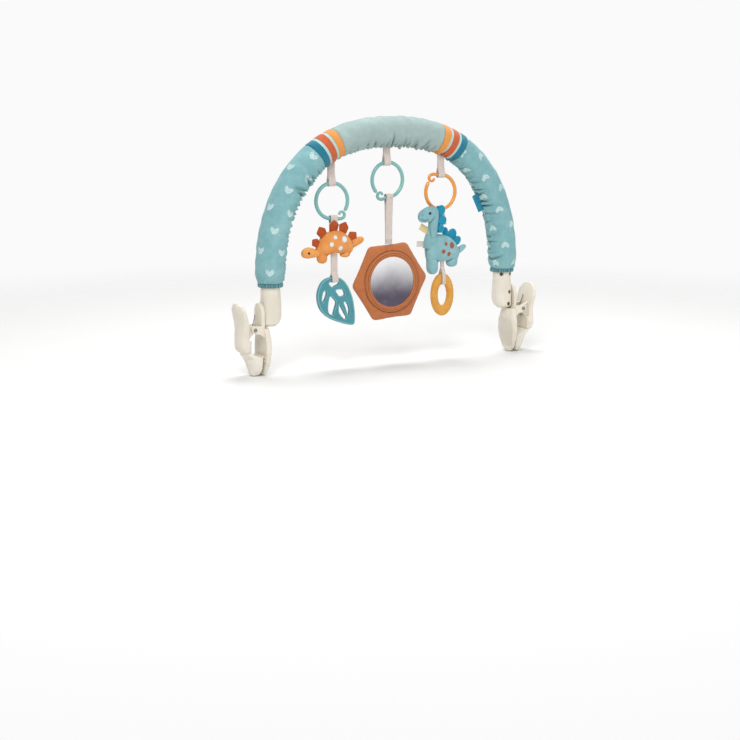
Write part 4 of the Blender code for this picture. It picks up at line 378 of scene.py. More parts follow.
def mark_crease_shade(mesh, limit=260.0, passes=5):
    """Mark where a surface bends inwards, for its finish to paint shade there."""
    count = len(mesh.vertices)
    ends = np.empty(len(mesh.edges) * 2, np.int32)
    mesh.edges.foreach_get("vertices", ends)
    a, b = ends[::2], ends[1::2]
    points, normals = points_of(mesh), normals_of(mesh)
    degree = np.maximum(np.bincount(a, minlength=count) + np.bincount(b, minlength=count), 1)

    def around(values):
        return (np.bincount(a, values[b], count) + np.bincount(b, values[a], count)) / degree

    step = points[a] - points[b]
    square = np.sum(step * step, axis=1)
    long = (np.bincount(a, square, count) + np.bincount(b, square, count)) / degree
    middle = np.stack([around(points[:, k]) for k in range(3)], -1)
    bend = 4 * np.sum((middle - points) * normals, axis=1) / np.maximum(long, 1e-12)
    for _ in range(passes):
        bend = (bend + around(bend)) / 2
    mark_painted_shade(mesh, np.clip(bend / limit, 0, 1))


def node_copy(*nodes):
    """Merged copy of one or more nodes' solids."""
    shape = bmesh.new()
    for node in nodes:
        shape.from_mesh(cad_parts[node].data)
    bmesh.ops.remove_doubles(shape, verts=shape.verts, dist=0.000002)
    bmesh.ops.recalc_face_normals(shape, faces=shape.faces)
    mesh = bpy.data.meshes.new(nodes[0] + "_copy")
    shape.to_mesh(mesh)
    shape.free()
    return mesh


def moulded_copy(node, grain=0.0005, passes=4, share=0.35):
    """A node's moulding with its facets and edges eased, as it leaves a real mould."""
    made = loose(node_copy(node))
    mesh = worked(
        made,
        ("REMESH", {"mode": "VOXEL", "voxel_size": grain, "adaptivity": 0.0}),
        ("SMOOTH", {"factor": 0.5, "iterations": passes}),
        ("DECIMATE", {"ratio": share}),
    )
    mesh.shade_smooth()
    return mesh


def stuffed_copy(mesh, grain, swell, pressure=3.5, passes=3):
    """Fill a sewn form: fine even cloth, blown up a little by its filling, with capped movement."""
    mesh = worked(
        loose(mesh),
        ("REMESH", {"mode": "VOXEL", "voxel_size": grain, "adaptivity": 0.0}),
        ("SMOOTH", {"factor": 0.5, "iterations": passes}),
    )
    start = points_of(mesh)
    made = loose(mesh)
    cloth = made.modifiers.new("swell", "CLOTH")
    cloth.settings.quality = 4
    cloth.settings.mass = 0.3
    cloth.settings.tension_stiffness = 12
    cloth.settings.compression_stiffness = 12
    cloth.settings.bending_stiffness = 0.4
    cloth.settings.use_pressure = True
    cloth.settings.uniform_pressure_force = pressure
    cloth.settings.effector_weights.gravity = 0
    cloth.collision_settings.use_collision = False
    cloth.point_cache.frame_start = 1
    cloth.point_cache.frame_end = SWELL_STEPS
    for step in range(1, SWELL_STEPS + 1):
        bpy.context.scene.frame_set(step)
    graph = bpy.context.evaluated_depsgraph_get()
    swollen = bpy.data.meshes.new_from_object(made.evaluated_get(graph))
    bpy.data.objects.remove(made, do_unlink=True)
    bpy.context.scene.frame_set(1)
    moved = points_of(swollen) - start
    mesh = swollen
    length = np.linalg.norm(moved, axis=1)[:, None]
    put_points(mesh, start + moved * np.minimum(1, swell / np.maximum(length, 1e-9)))
    mesh = worked(loose(mesh), ("SMOOTH", {"factor": 0.5, "iterations": 2}), ("SUBSURF", {"levels": 1, "render_levels": 1}))
    mesh.shade_smooth()
    return mesh


def path_curve(paths, name="path", closed=False):
    """Poly curve through points, with a radius at each where four numbers are given."""
    curve = bpy.data.curves.new(name, "CURVE")
    curve.dimensions = "3D"
    for path in paths:
        spline = curve.splines.new("POLY")
        spline.points.add(len(path) - 1)
        for point, values in zip(spline.points, path):
            point.co = (values[0], values[1], values[2], 1)
            point.radius = values[3] if len(values) > 3 else 1
        spline.use_cyclic_u = closed
    return loose(curve, name)


def smooth_path(points, steps, closed=False):
    """A smooth line through given points of any number of columns."""
    array = np.asarray(points, float)
    count = len(array)
    out = []
    last = count if closed else count - 1
    for i in range(last):
        pick = [(i + k) % count if closed else min(max(i + k, 0), count - 1) for k in (-1, 0, 1, 2)]
        before, here, after, beyond = array[pick]
        for j in range(steps):
            t = j / steps
            out.append(
                (2 * here + (after - before) * t
                 + (2 * before - 5 * here + 4 * after - beyond) * t**2
                 + (3 * here - before - 3 * after + beyond) * t**3) / 2
            )
    if not closed:
        out.append(array[-1])
    return np.array(out)


# Made along a path: wires and rows of stitches


class Steps:
    """A geometry-node tree being built, with its sizes as named inputs."""

    def __init__(self, name, sizes):
        self.tree = bpy.data.node_groups.new(name, "GeometryNodeTree")
        face = self.tree.interface
        face.new_socket("Geometry", in_out="INPUT", socket_type="NodeSocketGeometry")
        for label, kind in sizes:
            face.new_socket(label, in_out="INPUT", socket_type=kind)
        face.new_socket("Geometry", in_out="OUTPUT", socket_type="NodeSocketGeometry")
        self.start = self.tree.nodes.new("NodeGroupInput")
        self.end = self.tree.nodes.new("NodeGroupOutput")

    def size(self, label):
        return self.start.outputs[label]

    def node(self, kind, settings=None, inputs=None, output=0):
        made = self.tree.nodes.new(kind)
        for name, value in (settings or {}).items():
            setattr(made, name, value)
        for name, value in (inputs or {}).items():
            if isinstance(value, bpy.types.NodeSocket):
                self.tree.links.new(value, made.inputs[name])
            else:
                made.inputs[name].default_value = value
        return made.outputs[output]

    def finish(self, geometry):
        real = self.node("GeometryNodeRealizeInstances", None, {"Geometry": geometry})
        smooth = self.node("GeometryNodeSetShadeSmooth", None, {"Geometry": real})
        coated = self.node("GeometryNodeSetMaterial", None, {"Geometry": smooth, "Material": self.size("Finish")})
        self.tree.links.new(coated, self.end.inputs[0])
        return self.tree


def wire_tree():
    """Round wire along the path, as thick at each point as the path says."""
    made = Steps(
        "drawn wire",
        (("Thickness", "NodeSocketFloat"), ("Sides", "NodeSocketInt"), ("Finish", "NodeSocketMaterial")),
    )
    ring = made.node("GeometryNodeCurvePrimitiveCircle", None, {"Resolution": made.size("Sides"), "Radius": made.size("Thickness")})
    thick = made.node("GeometryNodeInputRadius")
    inputs = {"Curve": made.start.outputs["Geometry"], "Profile Curve": ring, "Fill Caps": True}
    tube = made.tree.nodes.new("GeometryNodeCurveToMesh")
    if "Scale" in tube.inputs:
        inputs["Scale"] = thick
    made.tree.nodes.remove(tube)
    return made.finish(made.node("GeometryNodeCurveToMesh", None, inputs))


def stitch_tree():
    """A row of short rounded stitches lying along the path, a little uneven."""
    made = Steps(
        "row of stitches",
        (
            ("Pitch", "NodeSocketFloat"),
            ("Stitch length", "NodeSocketFloat"),
            ("Thread", "NodeSocketFloat"),
            ("Seed", "NodeSocketInt"),
            ("Finish", "NodeSocketMaterial"),
        ),
    )
    row = made.node(
        "GeometryNodeCurveToPoints",
        {"mode": "LENGTH"},
        {"Curve": made.start.outputs["Geometry"], "Length": made.size("Pitch")},
    )
    points = row.node
    half = made.node("ShaderNodeMath", {"operation": "MULTIPLY"}, {0: made.size("Stitch length"), 1: 0.5})
    bead = made.node("GeometryNodeMeshUVSphere", None, {"Segments": 6, "Rings": 5, "Radius": 1.0})
    form = made.node("ShaderNodeCombineXYZ", None, {0: made.size("Thread"), 1: made.size("Thread"), 2: half})
    stitch = made.node("GeometryNodeTransform", None, {"Geometry": bead, "Scale": form})
    turn = made.node("FunctionNodeRandomValue", {"data_type": "FLOAT_VECTOR"}, {0: (-0.07, -0.07, -0.07), 1: (0.07, 0.07, 0.07), "Seed": made.size("Seed")})
    skew = made.node("FunctionNodeRotateRotation", {"rotation_space": "LOCAL"}, {"Rotation": points.outputs["Rotation"], "Rotate By": turn})
    laid = made.node("GeometryNodeInstanceOnPoints", None, {"Points": points.outputs["Points"], "Instance": stitch, "Rotation": skew})
    return made.finish(laid)


WIRE = wire_tree()
STITCHES = stitch_tree()


def along_path(tree, name, paths, sizes, body, nodes=(), closed=False):
    """Run a tree along the paths and keep the result as one plain mesh on a body."""
    made = path_curve(paths, name + "_path", closed)
    step = made.modifiers.new("make", "NODES")
    step.node_group = tree
    for item in tree.interface.items_tree:
        if item.in_out == "INPUT" and item.name in sizes:
            step[item.identifier] = sizes[item.name]
    graph = bpy.context.evaluated_depsgraph_get()
    mesh = bpy.data.meshes.new_from_object(made.evaluated_get(graph))
    curve = made.data
    bpy.data.objects.remove(made, do_unlink=True)
    bpy.data.curves.remove(curve)
    shape = bmesh.new()
    shape.from_mesh(mesh)
    bmesh.ops.remove_doubles(shape, verts=shape.verts, dist=0.000001)
    mesh = mesh_from(shape, name, 50)
    mesh.materials.clear()
    return piece(name, mesh, sizes["Finish"], body, nodes)


def sew(name, paths, thread, body, pitch=0.0026, length=0.0019, thick=0.00022, seed=1, closed=False):
    """Sew rows of thread along paths that lie on the cloth."""
    sizes = {"Pitch": pitch, "Stitch length": length, "Thread": thick, "Seed": seed, "Finish": thread}
    return along_path(STITCHES, name, paths, sizes, body, closed=closed)


# The finishes of this toy arch


def sprout_print(made, base):
    """Pale two-leaf sprouts printed in half-dropped rows on the cloth map."""
    cloth = made.place(uv="cloth")
    row = made.axis(cloth, "Y") / 0.0285
    across = made.axis(cloth, "X") / 0.0340 + 0.19
    line = row - made.worked("ROUND", row)
    drop = made.worked("ROUND", row) * 0.5
    side = across + drop
    x = (side - made.worked("ROUND", side)) * 0.0272
    y = line * 0.0228
    mask = None
    for turn in (-0.62, 0.62):
        along = y * math.cos(turn) + x * math.sin(turn) - 0.0032
        off = x * math.cos(turn) - y * math.sin(turn)
        low = made.worked("SQRT", (off - 0.0044) ** 2.0 + along * along)
        high = made.worked("SQRT", (off + 0.0044) ** 2.0 + along * along)
        leaf = 1 - (low.most(high) - 0.0066).between(-0.0003, 0.0003)
        rib = abs(off).between(0.00015, 0.00040)
        leaf = leaf * (rib * 0.8 + 0.2)
        mask = leaf if mask is None else mask.most(leaf)
    wear = made.noise(cloth, 420.0, 3.0, 0.7).between(0.30, 0.52)
    return made.mix(mask * wear * 0.8, base, paint("D6E8E4"))


def stripe_cloth(name, start, codes):
    """Plush panel with three dyed bands across it and pale piping cloth between them."""
    made = Finish(name)
    place = made.place()
    cloth = made.place(uv="cloth")
    run = made.axis(cloth, "Y") - start
    wobble = (made.noise(cloth, 300.0, 2.0) - 0.5) * 0.0006
    pile = made.noise(place, 620.0, 3.0, 0.65)
    fine = made.noise(place, 1500.0, 2.0, 0.7)
    broad = made.noise(place, 70.0, 3.0)
    base = made.mix(pile * 0.6, paint("A9C9C2"), paint("CBE0DA"))
    bands = None
    folds = made.folds()
    for i, (code, shade) in enumerate(codes):
        first = i * (STRIPE_WIDTH + STRIPE_SPACE)
        inside = abs(run + wobble - (first + STRIPE_WIDTH / 2))
        mask = 1 - inside.between(STRIPE_WIDTH / 2 - 0.0003, STRIPE_WIDTH / 2 + 0.0002)
        dye = made.mix(pile.between(0.32, 0.70) * 0.7 + broad.between(0.5, 0.8) * 0.2, paint(code), paint(shade))
        base = made.mix(mask, base, dye)
        bands = mask if bands is None else bands.most(mask)
    # Painted shade: near-black teal in the panel's folds.
    base = made.mix(folds * 0.7, base, paint("1F3A3E"))
    bumps = ((fine, 0.0003), (pile, 0.0005), (bands, 0.0006))
    return made.done(base, 0.84 + fine * 0.14, bumps, sheen_weight=0.25, sheen_roughness=0.5)


def spotted(spots, light, rim):
    """Oval appliqued spots at given places of X and Z, on both faces of a toy."""

    def add(made, base):
        place = made.place()
        x, z = made.axis(place, "X"), made.axis(place, "Z")
        ragged = (made.noise(place, 700.0, 2.0) - 0.5) * 0.10
        whole = ring = None
        for px, pz, half_x, half_z in spots:
            a, b = (x - px) / half_x, (z - pz) / half_z
            reach = made.worked("SQRT", a * a + b * b) + ragged
            disc = 1 - reach.between(0.90, 1.02)
            edge = (1 - reach.between(1.02, 1.12)) * reach.between(0.84, 0.92)
            whole = disc if whole is None else whole.most(disc)
            ring = edge if ring is None else ring.most(edge)
        thread = (made.axis(place, "X") * 5200.0 + made.axis(place, "Z") * 2600.0).wave() * 0.5 + 0.5
        patch = made.mix(thread * 0.35, paint(light), paint(rim))
        patch = made.mix(ring * 0.55, patch, paint(rim))
        return made.mix(whole, base, patch)

    return add


def mirror_finish():
    """Acrylic mirror film: silver with a faint violet cast, painted as a reflection that darkens from near-white at
    the top to violet-grey at the bottom, with small ripples and wiping haze.
    """
    made = Finish("mirror film")
    place = made.place()
    height = made.axis(place, "Z")
    ripple = made.noise(made.place((1, 1, 0.6)), 26.0, 2.0)
    haze = made.noise(place, 90.0, 4.0, 0.6)
    # Painted reflection: violet-grey low on the disc, near-white high on it.
    depth = (height + (ripple - 0.5) * 0.022).between(0.050, 0.113)
    base = made.mix(depth, paint("5A5361"), paint("F4F3F5"))
    base = made.mix(haze.between(0.5, 0.8) * 0.12, base, paint("C9C6CC"))
    rough = 0.05 + haze * 0.07
    return made.done(base, rough, ((ripple, 0.0009),), metallic=1.0)


def ring_finish(name, colour, shade):
    """Glossy moulded link with flow marks and teething scuffs."""
    return moulded_finish(name, colour, shade, 0.30, 0.00003, 0.25, 0.05)


def speckled_finish(name, colour, shade, light):
    """Teether rubber with a fine raised speckle."""
    made = Finish(name)
    place = made.place()
    speck = made.cells(place, 620.0)
    soft = made.noise(place, 45.0, 3.0)
    fine = made.noise(place, 1500.0, 2.0, 0.6)
    dots = 1 - speck.between(0.20, 0.48)
    base = made.mix(soft.between(0.35, 0.7) * 0.7, paint(colour), paint(shade))
    base = made.mix(dots * 0.55, base, paint(light))
    return made.done(base, 0.48 + fine * 0.12, ((dots, 0.00035), (fine, 0.0001)), subsurface_weight=0.06, subsurface_scale=0.003)


def leaf_finish():
    """Teether rubber: the raised rims and veins are painted paler than the faces between them, as a painted highlight.
    """
    made = Finish("teal teether rubber")
    place = made.place()
    height = abs(made.axis(place, "Y"))
    soft = made.noise(place, 60.0, 3.0, 0.6)
    fine = made.noise(place, 1500.0, 2.0, 0.6)
    # Painted highlight along the raised rims.
    rim = (height + (soft - 0.5) * 0.0006).between(0.0024, 0.0031)
    base = made.mix(soft.between(0.35, 0.7) * 0.6, paint("44909A"), paint("347A84"))
    base = made.mix(rim * 0.6, base, paint("8CC3C6"))
    return made.done(base, 0.44 + fine * 0.14, ((fine, 0.00008), (soft, 0.0004)), subsurface_weight=0.05, subsurface_scale=0.003)


SIDE_PLUSH = nap_finish("aqua printed plush", "8DBBBE", "6EA2A7", "B2D2D1", sprout_print)
CENTRE_PLUSH = nap_finish("pale aqua plush", "AABDB9", "94ABA8", "C0CFCC")
ELASTIC = woven_finish("gathered aqua hem", "7CAFB5", "548E97", 0.0008)
FOAM = nap_finish("foam", "D9D4BF", "C4BEA6", "E6E2D2", sheen=0.0)
ROD_FINISH = moulded_finish("rod plastic", "3A3A3D", "2C2C30", 0.45)
IVORY = moulded_finish("ivory clip plastic", "E4DDCE", "D6CDBB", 0.40, 0.00008, 0.05, 0.04)
SOFT_IVORY = moulded_finish("soft ivory tip", "E9E3D6", "DAD2C2", 0.58, 0.00010, 0.0, 0.06)
STEEL = steel_finish("steel")
SCREW = steel_finish("bronze screw", "8F6A3C", "4E3620")
RIBBON = woven_finish("ribbon", "E6DBD4", "C6B8B0", 0.0009)
MINT = ring_finish("mint link", "7BB2AD", "639B97")
GOLD = ring_finish("golden link", "E99B3A", "D88426")
STEG_PLUSH = nap_finish(
    "orange plush", "ECA45C", "DC853D", "F2BA82",
    spotted(((-0.0974, 0.1436, 0.0028, 0.0028), (-0.0828, 0.1402, 0.0044, 0.0046),
             (-0.1039, 0.1337, 0.0031, 0.0034), (-0.0894, 0.1276, 0.0034, 0.0034)), "E8F0EE", "A9CDDA"),
)
HEAD_PLUSH = nap_finish("yellow orange plush", "EFAA5C", "E0914A", "F5BE7C")
PLATE_FELT = nap_finish("rust felt", "BE541B", "A04112", "CE6B30", sheen=0.2)
DINO_PLUSH = nap_finish(
    "grey blue plush", "94C0C4", "72A5AC", "B6D5D6",
    spotted(((0.0874, 0.1255, 0.0025, 0.0031), (0.0978, 0.1230, 0.0042, 0.0052),
             (0.0834, 0.1142, 0.0034, 0.0034), (0.0930, 0.1102, 0.0030, 0.0036)), "A4573A", "8A4429"),
)
NECK_PLUSH = nap_finish("neck plush", "94C0C4", "72A5AC", "B6D5D6")
CREST_FELT = nap_finish("bright blue felt", "0B97B8", "067F9E", "30AAC6", sheen=0.2)
POUCH_CLOTH = woven_finish("terracotta cotton", "C97B4B", "B0632F", 0.0010)
FRAME_CLOTH = woven_finish("terracotta binding", "CC7E4C", "B4652F", 0.0009)
MIRROR = mirror_finish()
LEAF_RUBBER = leaf_finish()
OVAL_RUBBER = speckled_finish("golden teether rubber", "DE9E38", "CA882A", "F0C676")
CREAM_TAPE = woven_finish("cream tape", "EFDCA8", "D3BC84", 0.0008)
WHITE_TAPE = woven_finish("off-white tape", "EDE3D8", "CFC2B4", 0.0008)
BLUE_TAPE = woven_finish("blue tape", "2493B4", "1A7595", 0.0008)
PALE_THREAD = woven_finish("pale thread", "E9DDD2", "C9BAAE", 0.0004)
AQUA_THREAD = woven_finish("aqua thread", "8FC2C0", "6BA3A6", 0.0004)
RUST_THREAD = woven_finish("rust thread", "A5562A", "8A431D", 0.0004)
DARK_THREAD = woven_finish("dark thread", "12141A", "08090C", 0.0004)
ORANGE_THREAD = woven_finish("orange thread", "D9812F", "BC6A22", 0.0004)
PALE_BLUE_THREAD = woven_finish("pale blue thread", "A9D6E6", "7FB9CF", 0.0004)
BLUE_THREAD = woven_finish("blue thread", "4F8E98", "3A7782", 0.0004)


# Arch


def arch_line(samples=3000):
    turn = np.linspace(-math.pi / 2, math.pi / 2, samples)
    power = 2 / ARCH_EXPONENT
    x = ARCH_HALF_WIDTH * np.sign(turn) * np.abs(np.sin(turn)) ** power
    z = ARCH_BASE_Z + ARCH_RISE * np.abs(np.cos(turn)) ** power
    x = np.concatenate([[-ARCH_HALF_WIDTH], x, [ARCH_HALF_WIDTH]])
    z = np.concatenate([[0], z, [0]])
    length = np.concatenate([[0], np.cumsum(np.hypot(np.diff(x), np.diff(z)))])
    return length - length[-1] / 2, x, z


LINE_S, LINE_X, LINE_Z = arch_line()


def foot_place(z):
    """Distance along the arch from its middle to a height on the right leg."""
    half = len(LINE_S) // 2
    return float(np.interp(-z, -LINE_Z[half:], LINE_S[half:]))


def arch_frame(s):
    """Middle point and outward way at distances along the arch."""
    s = np.asarray(s, float)
    step = 0.0014
    ahead_x = np.interp(s + step, LINE_S, LINE_X) - np.interp(s - step, LINE_S, LINE_X)
    ahead_z = np.interp(s + step, LINE_S, LINE_Z) - np.interp(s - step, LINE_S, LINE_Z)
    length = np.hypot(ahead_x, ahead_z)
    return np.interp(s, LINE_S, LINE_X), np.interp(s, LINE_S, LINE_Z), -ahead_z / length, ahead_x / length


def tube_rows(s, turn, reach):
    """Points round the arch: turn runs from the outer side, through the back, to the inner side and the front."""
    x, z, out_x, out_z = arch_frame(s)
    reach = np.broadcast_to(reach, (len(s), len(turn)))
    across = np.cos(turn)[None] * reach
    return np.stack([
        x[:, None] + out_x[:, None] * across,
        np.sin(turn)[None] * reach,
        z[:, None] + out_z[:, None] * across,
    ], -1)


FOOT_S = foot_place(SLEEVE_FOOT_Z)
STRIPE_END = STRIPE_START + 3 * STRIPE_WIDTH + 2 * STRIPE_SPACE
PANELS = (-FOOT_S, PATTERN_SHIFT - STRIPE_END, PATTERN_SHIFT - STRIPE_START,
          PATTERN_SHIFT + STRIPE_START, PATTERN_SHIFT + STRIPE_END, FOOT_S)


def gathers(s, seam_turn, seed, pitch, strength):
    """Folds that fan out from the inner seam, deeper where the cloth is drawn in more."""
    chance = np.random.RandomState(seed)
    lift = np.zeros((len(s), len(seam_turn)))
    places = np.arange(s[0] + pitch * 0.4, s[-1] - pitch * 0.2, pitch)
    for place in places:
        for side in (1, -1):
            middle = place + chance.uniform(-0.3, 0.3) * pitch
            width = chance.uniform(0.0011, 0.0021)
            force = float(np.interp(middle, *strength)) * chance.uniform(0.55, 1.15)
            depth = 0.0032 * force
            reach = chance.uniform(1.0, 1.9) * (0.55 + 0.55 * force)
            slant = chance.uniform(-0.006, 0.006)
            bow = chance.uniform(-0.003, 0.003)
            far = seam_turn * side
            held = np.where(far > -0.12, 1 - ease(np.maximum(far, 0) / reach / 0.8 - 0.25), 0)
            line = middle + slant * np.maximum(far, 0) + bow * np.maximum(far, 0) ** 2
            off = (s[:, None] - line[None]) / (width * (1 + 0.5 * np.maximum(far, 0))[None])
            shape = -np.exp(-(off**2)) + 0.42 * np.exp(-((np.abs(off) - 2.1) ** 2))
            lift += depth * held[None] * shape
    return lift


def slow_swells(s, turn, seed, size=0.00030):
    """Gentle unevenness of the padding."""
    chance = np.random.RandomState(seed)
    lift = np.zeros((len(s), len(turn)))
    for i in range(9):
        long = chance.uniform(90, 420)
        round_count = chance.randint(1, 5)
        lift += np.sin(s[:, None] * long + chance.uniform(0, 6) + round_count * turn[None] + chance.uniform(0, 6))
    return lift * size / 3


def sleeve(name, start, end, finish, seed, pitch, strength, sides=88, step=0.0011):
    """Padded plush panel round the foam, gathered along the inner seam and drawn in at its ends."""
    start, end = start + 0.00015, end - 0.00015
    s = np.linspace(start, end, round((end - start) / step))
    turn = np.arange(sides) * math.tau / sides
    seam_turn = turn - math.pi
    left = FOOT_S - np.abs(s)
    share = np.clip(left / SLEEVE_TAPER, 0, 1)
    full = SLEEVE_FOOT_RADIUS + (SLEEVE_RADIUS - SLEEVE_FOOT_RADIUS) * np.sin(share * math.pi / 2)
    inner = (1 - np.cos(turn)) / 2
    folds = gathers(s, seam_turn, seed, pitch, strength)
    lift = folds + slow_swells(s, turn, seed + 1)
    lift -= 0.0006 * inner[None] ** 2
    lift -= 0.0007 * np.exp(-((seam_turn * SLEEVE_RADIUS / 0.0011) ** 2))[None]
    foot = np.exp(-(left / 0.0065))
    lift += foot[:, None] * 0.0008 * np.sin(23 * turn + 2 * np.sin(3 * turn))[None]
    chance = np.random.RandomState(seed + 7)
    for edge in (start, end):
        if abs(abs(edge) - FOOT_S) < 0.001:
            continue
        off = np.abs(s - edge)
        lift -= 0.0010 * np.exp(-((off / 0.0012) ** 2))[:, None]
        pucker = np.sin(turn * 17 + chance.uniform(0, 6) + 1.7 * np.sin(2 * turn))
        lift += 0.00028 * np.exp(-(off / 0.0045))[:, None] * pucker[None]
    rows = [tube_rows(s, turn, np.maximum(full[:, None] + lift, SLEEVE_INSIDE + 0.0006))]
    back = np.linspace(end, start, 12)
    rows.append(tube_rows(back, turn, np.full((12, sides), SLEEVE_INSIDE)))
    along = list(s) + list(back)
    shape = skin(np.concatenate(rows), True, along, math.tau * SLEEVE_RADIUS)
    mesh = mesh_from(shape, name, 80)
    # Painted shade in the valleys of the gathers.
    dark = np.clip((-folds - 0.0005) / 0.0021, 0, 1)
    mark_painted_shade(mesh, np.concatenate([dark.ravel(), np.zeros(12 * sides)]))
    return piece(name, mesh, finish, "arch", [name], 0.6)


def stripe_panel(name, start, end, finish, seed, sides=88, step=0.0006):
    """Striped plush panel: three bands stand a little proud of the piping cloth between them."""
    start, end = start + 0.00015, end - 0.00015
    s = np.linspace(start, end, round((end - start) / step))
    turn = np.arange(sides) * math.tau / sides
    seam_turn = turn - math.pi
    relief = np.zeros(len(s))
    for i in range(3):
        first = start + i * (STRIPE_WIDTH + STRIPE_SPACE)
        off = np.abs(s - (first + STRIPE_WIDTH / 2)) - STRIPE_WIDTH / 2
        relief += 0.0007 * (1 - ease((off + 0.0009) / 0.0012))
    strength = ([start, end], [0.45, 0.45])
    folds = gathers(s, seam_turn, seed, 0.0085, strength)
    lift = folds + slow_swells(s, turn, seed + 1, 0.0002)
    lift -= 0.0008 * ((1 - np.cos(turn)) / 2)[None] ** 2
    lift -= 0.0008 * np.exp(-((seam_turn * SLEEVE_RADIUS / 0.0010) ** 2))[None]
    for edge in (start, end):
        lift -= 0.0006 * np.exp(-(((s - edge) / 0.0007) ** 2))[:, None]
    reach = SLEEVE_RADIUS - 0.0004 + relief[:, None] + lift
    rows = [tube_rows(s, turn, np.maximum(reach, SLEEVE_INSIDE + 0.0006))]
    back = np.linspace(end, start, 5)
    rows.append(tube_rows(back, turn, np.full((5, sides), SLEEVE_INSIDE)))
    shape = skin(np.concatenate(rows), True, list(s) + list(back), math.tau * SLEEVE_RADIUS)
    mesh = mesh_from(shape, name, 80)
    # Painted shade in the valleys of the gathers.
    dark = np.clip((-folds - 0.0004) / 0.0016, 0, 1)
    mark_painted_shade(mesh, np.concatenate([dark.ravel(), np.zeros(5 * sides)]))
    return piece(name, mesh, finish, "arch", [name], 0.6)


def hem(name, side, finish):
    """Elastic hem: a small puffed roll, drawn into many uneven folds."""
    turn = np.arange(150) * math.tau / 150
    ring = np.sin(26 * turn + 1.6 * np.sin(3 * turn) + 0.9 * np.sin(7 * turn))
    fine = np.sin(61 * turn + 2.1 * np.sin(5 * turn))
    rows, dark = [], []
    inside = HOUSING_RADIUS + 0.0005
    for share in np.linspace(0, 1, 13):
        # Painted shade: darker in the valleys of the folds and towards the top, under the sleeve.
        dark.append(np.clip(-(ring * 0.7 + fine * 0.45) + 0.15 + 0.35 * share, 0, 1))
        z = CUFF_BOTTOM_Z + (SLEEVE_FOOT_Z + 0.0002 - CUFF_BOTTOM_Z) * share
        swell = math.sin(math.pi * (0.12 + 0.80 * share)) ** 0.6
        reach = CUFF_RADIUS - 0.0012 + 0.0014 * swell + (ring * 0.55 + fine * 0.30) * 0.0012 * (1.25 - 0.5 * share)
        rows.append(np.stack([reach * np.cos(turn), reach * np.sin(turn), z + ring * 0.0004 * (1 - share)], -1))
    for share in np.linspace(1, 0, 4):
        z = CUFF_BOTTOM_Z + 0.0004 + (SLEEVE_FOOT_Z - CUFF_BOTTOM_Z - 0.0004) * share
        rows.append(np.stack([inside * np.cos(turn), inside * np.sin(turn), np.full(len(turn), z)], -1))
    rows = np.array(rows)
    rows[..., 0] = rows[..., 0] + side * ARCH_HALF_WIDTH
    mesh = mesh_from(skin(rows, True), name, 80)
    mark_painted_shade(mesh, np.concatenate([np.ravel(dark), np.zeros(4 * len(turn))]))
    return piece(name, mesh, finish, "arch", [name], 0.4)


def build_arch():
    strength = ([-0.33, -0.26, -0.235, -0.20, -0.165, -0.14], [0.75, 0.35, 0.70, 1.25, 1.30, 0.85])
    made = sleeve("sleeve_left", PANELS[0], PANELS[1], SIDE_PLUSH, 11, 0.0088, strength)
    strength = ([0.10, 0.14, 0.18, 0.205, 0.24, 0.29, 0.33], [0.35, 0.45, 0.50, 1.05, 0.45, 0.60, 0.75])
    made = sleeve("sleeve_right", PANELS[4], PANELS[5], SIDE_PLUSH, 23, 0.0125, strength)
    strength = ([-0.09, -0.04, 0.0, 0.03, 0.08], [0.7, 0.65, 0.95, 1.1, 0.85])
    made = sleeve("sleeve_centre", PANELS[2], PANELS[3], CENTRE_PLUSH, 37, 0.0082, strength)
    dyes = (("107A92", "0A647C"), ("CF6133", "B64D22"), ("EA9C4A", "D88735"))
    stripe_panel("stripes_left", PANELS[1], PANELS[2], stripe_cloth("stripes left", PANELS[1], dyes), 5)
    stripe_panel("stripes_right", PANELS[3], PANELS[4], stripe_cloth("stripes right", PANELS[3], dyes[::-1]), 6)
    foam_foot = foot_place(FOAM_FOOT_Z)
    s = np.linspace(-foam_foot, foam_foot, 120)
    turn = np.arange(32) * math.tau / 32
    rows = [tube_rows(s, turn, np.full((120, 32), FOAM_RADIUS)), tube_rows(s[::-1], turn, np.full((120, 32), 0.004))]
    shape = skin(np.concatenate(rows), True)
    piece("foam_core", mesh_from(shape, "foam_core"), FOAM, "arch", ["foam_core"], 1.0)
    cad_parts["arch_rod"].data.materials.clear()
    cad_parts["arch_rod"].data.materials.append(ROD_FINISH)
    for side, name in ((1, "cuff_right"), (-1, "cuff_left")):
        hem(name, side, ELASTIC)
    rows = []
    for start, end in ((PANELS[0] + 0.012, PANELS[1] - 0.002), (PANELS[2] + 0.002, PANELS[3] - 0.002), (PANELS[4] + 0.002, PANELS[5] - 0.012)):
        for turned in (1, -1):
            s = np.linspace(start, end, 60)
            x, z, out_x, out_z = arch_frame(s)
            reach = SLEEVE_RADIUS - 0.0004
            spread = math.pi - 0.085
            rows.append(np.stack([
                x + out_x * math.cos(spread) * reach,
                np.full(60, turned * math.sin(spread) * reach),
                z + out_z * math.cos(spread) * reach,
            ], -1))
    sew("inner_seam_stitches", rows, AQUA_THREAD, "arch", 0.0030, 0.0022, 0.00022, 3)


# Clips: mouldings, screws, pins and springs


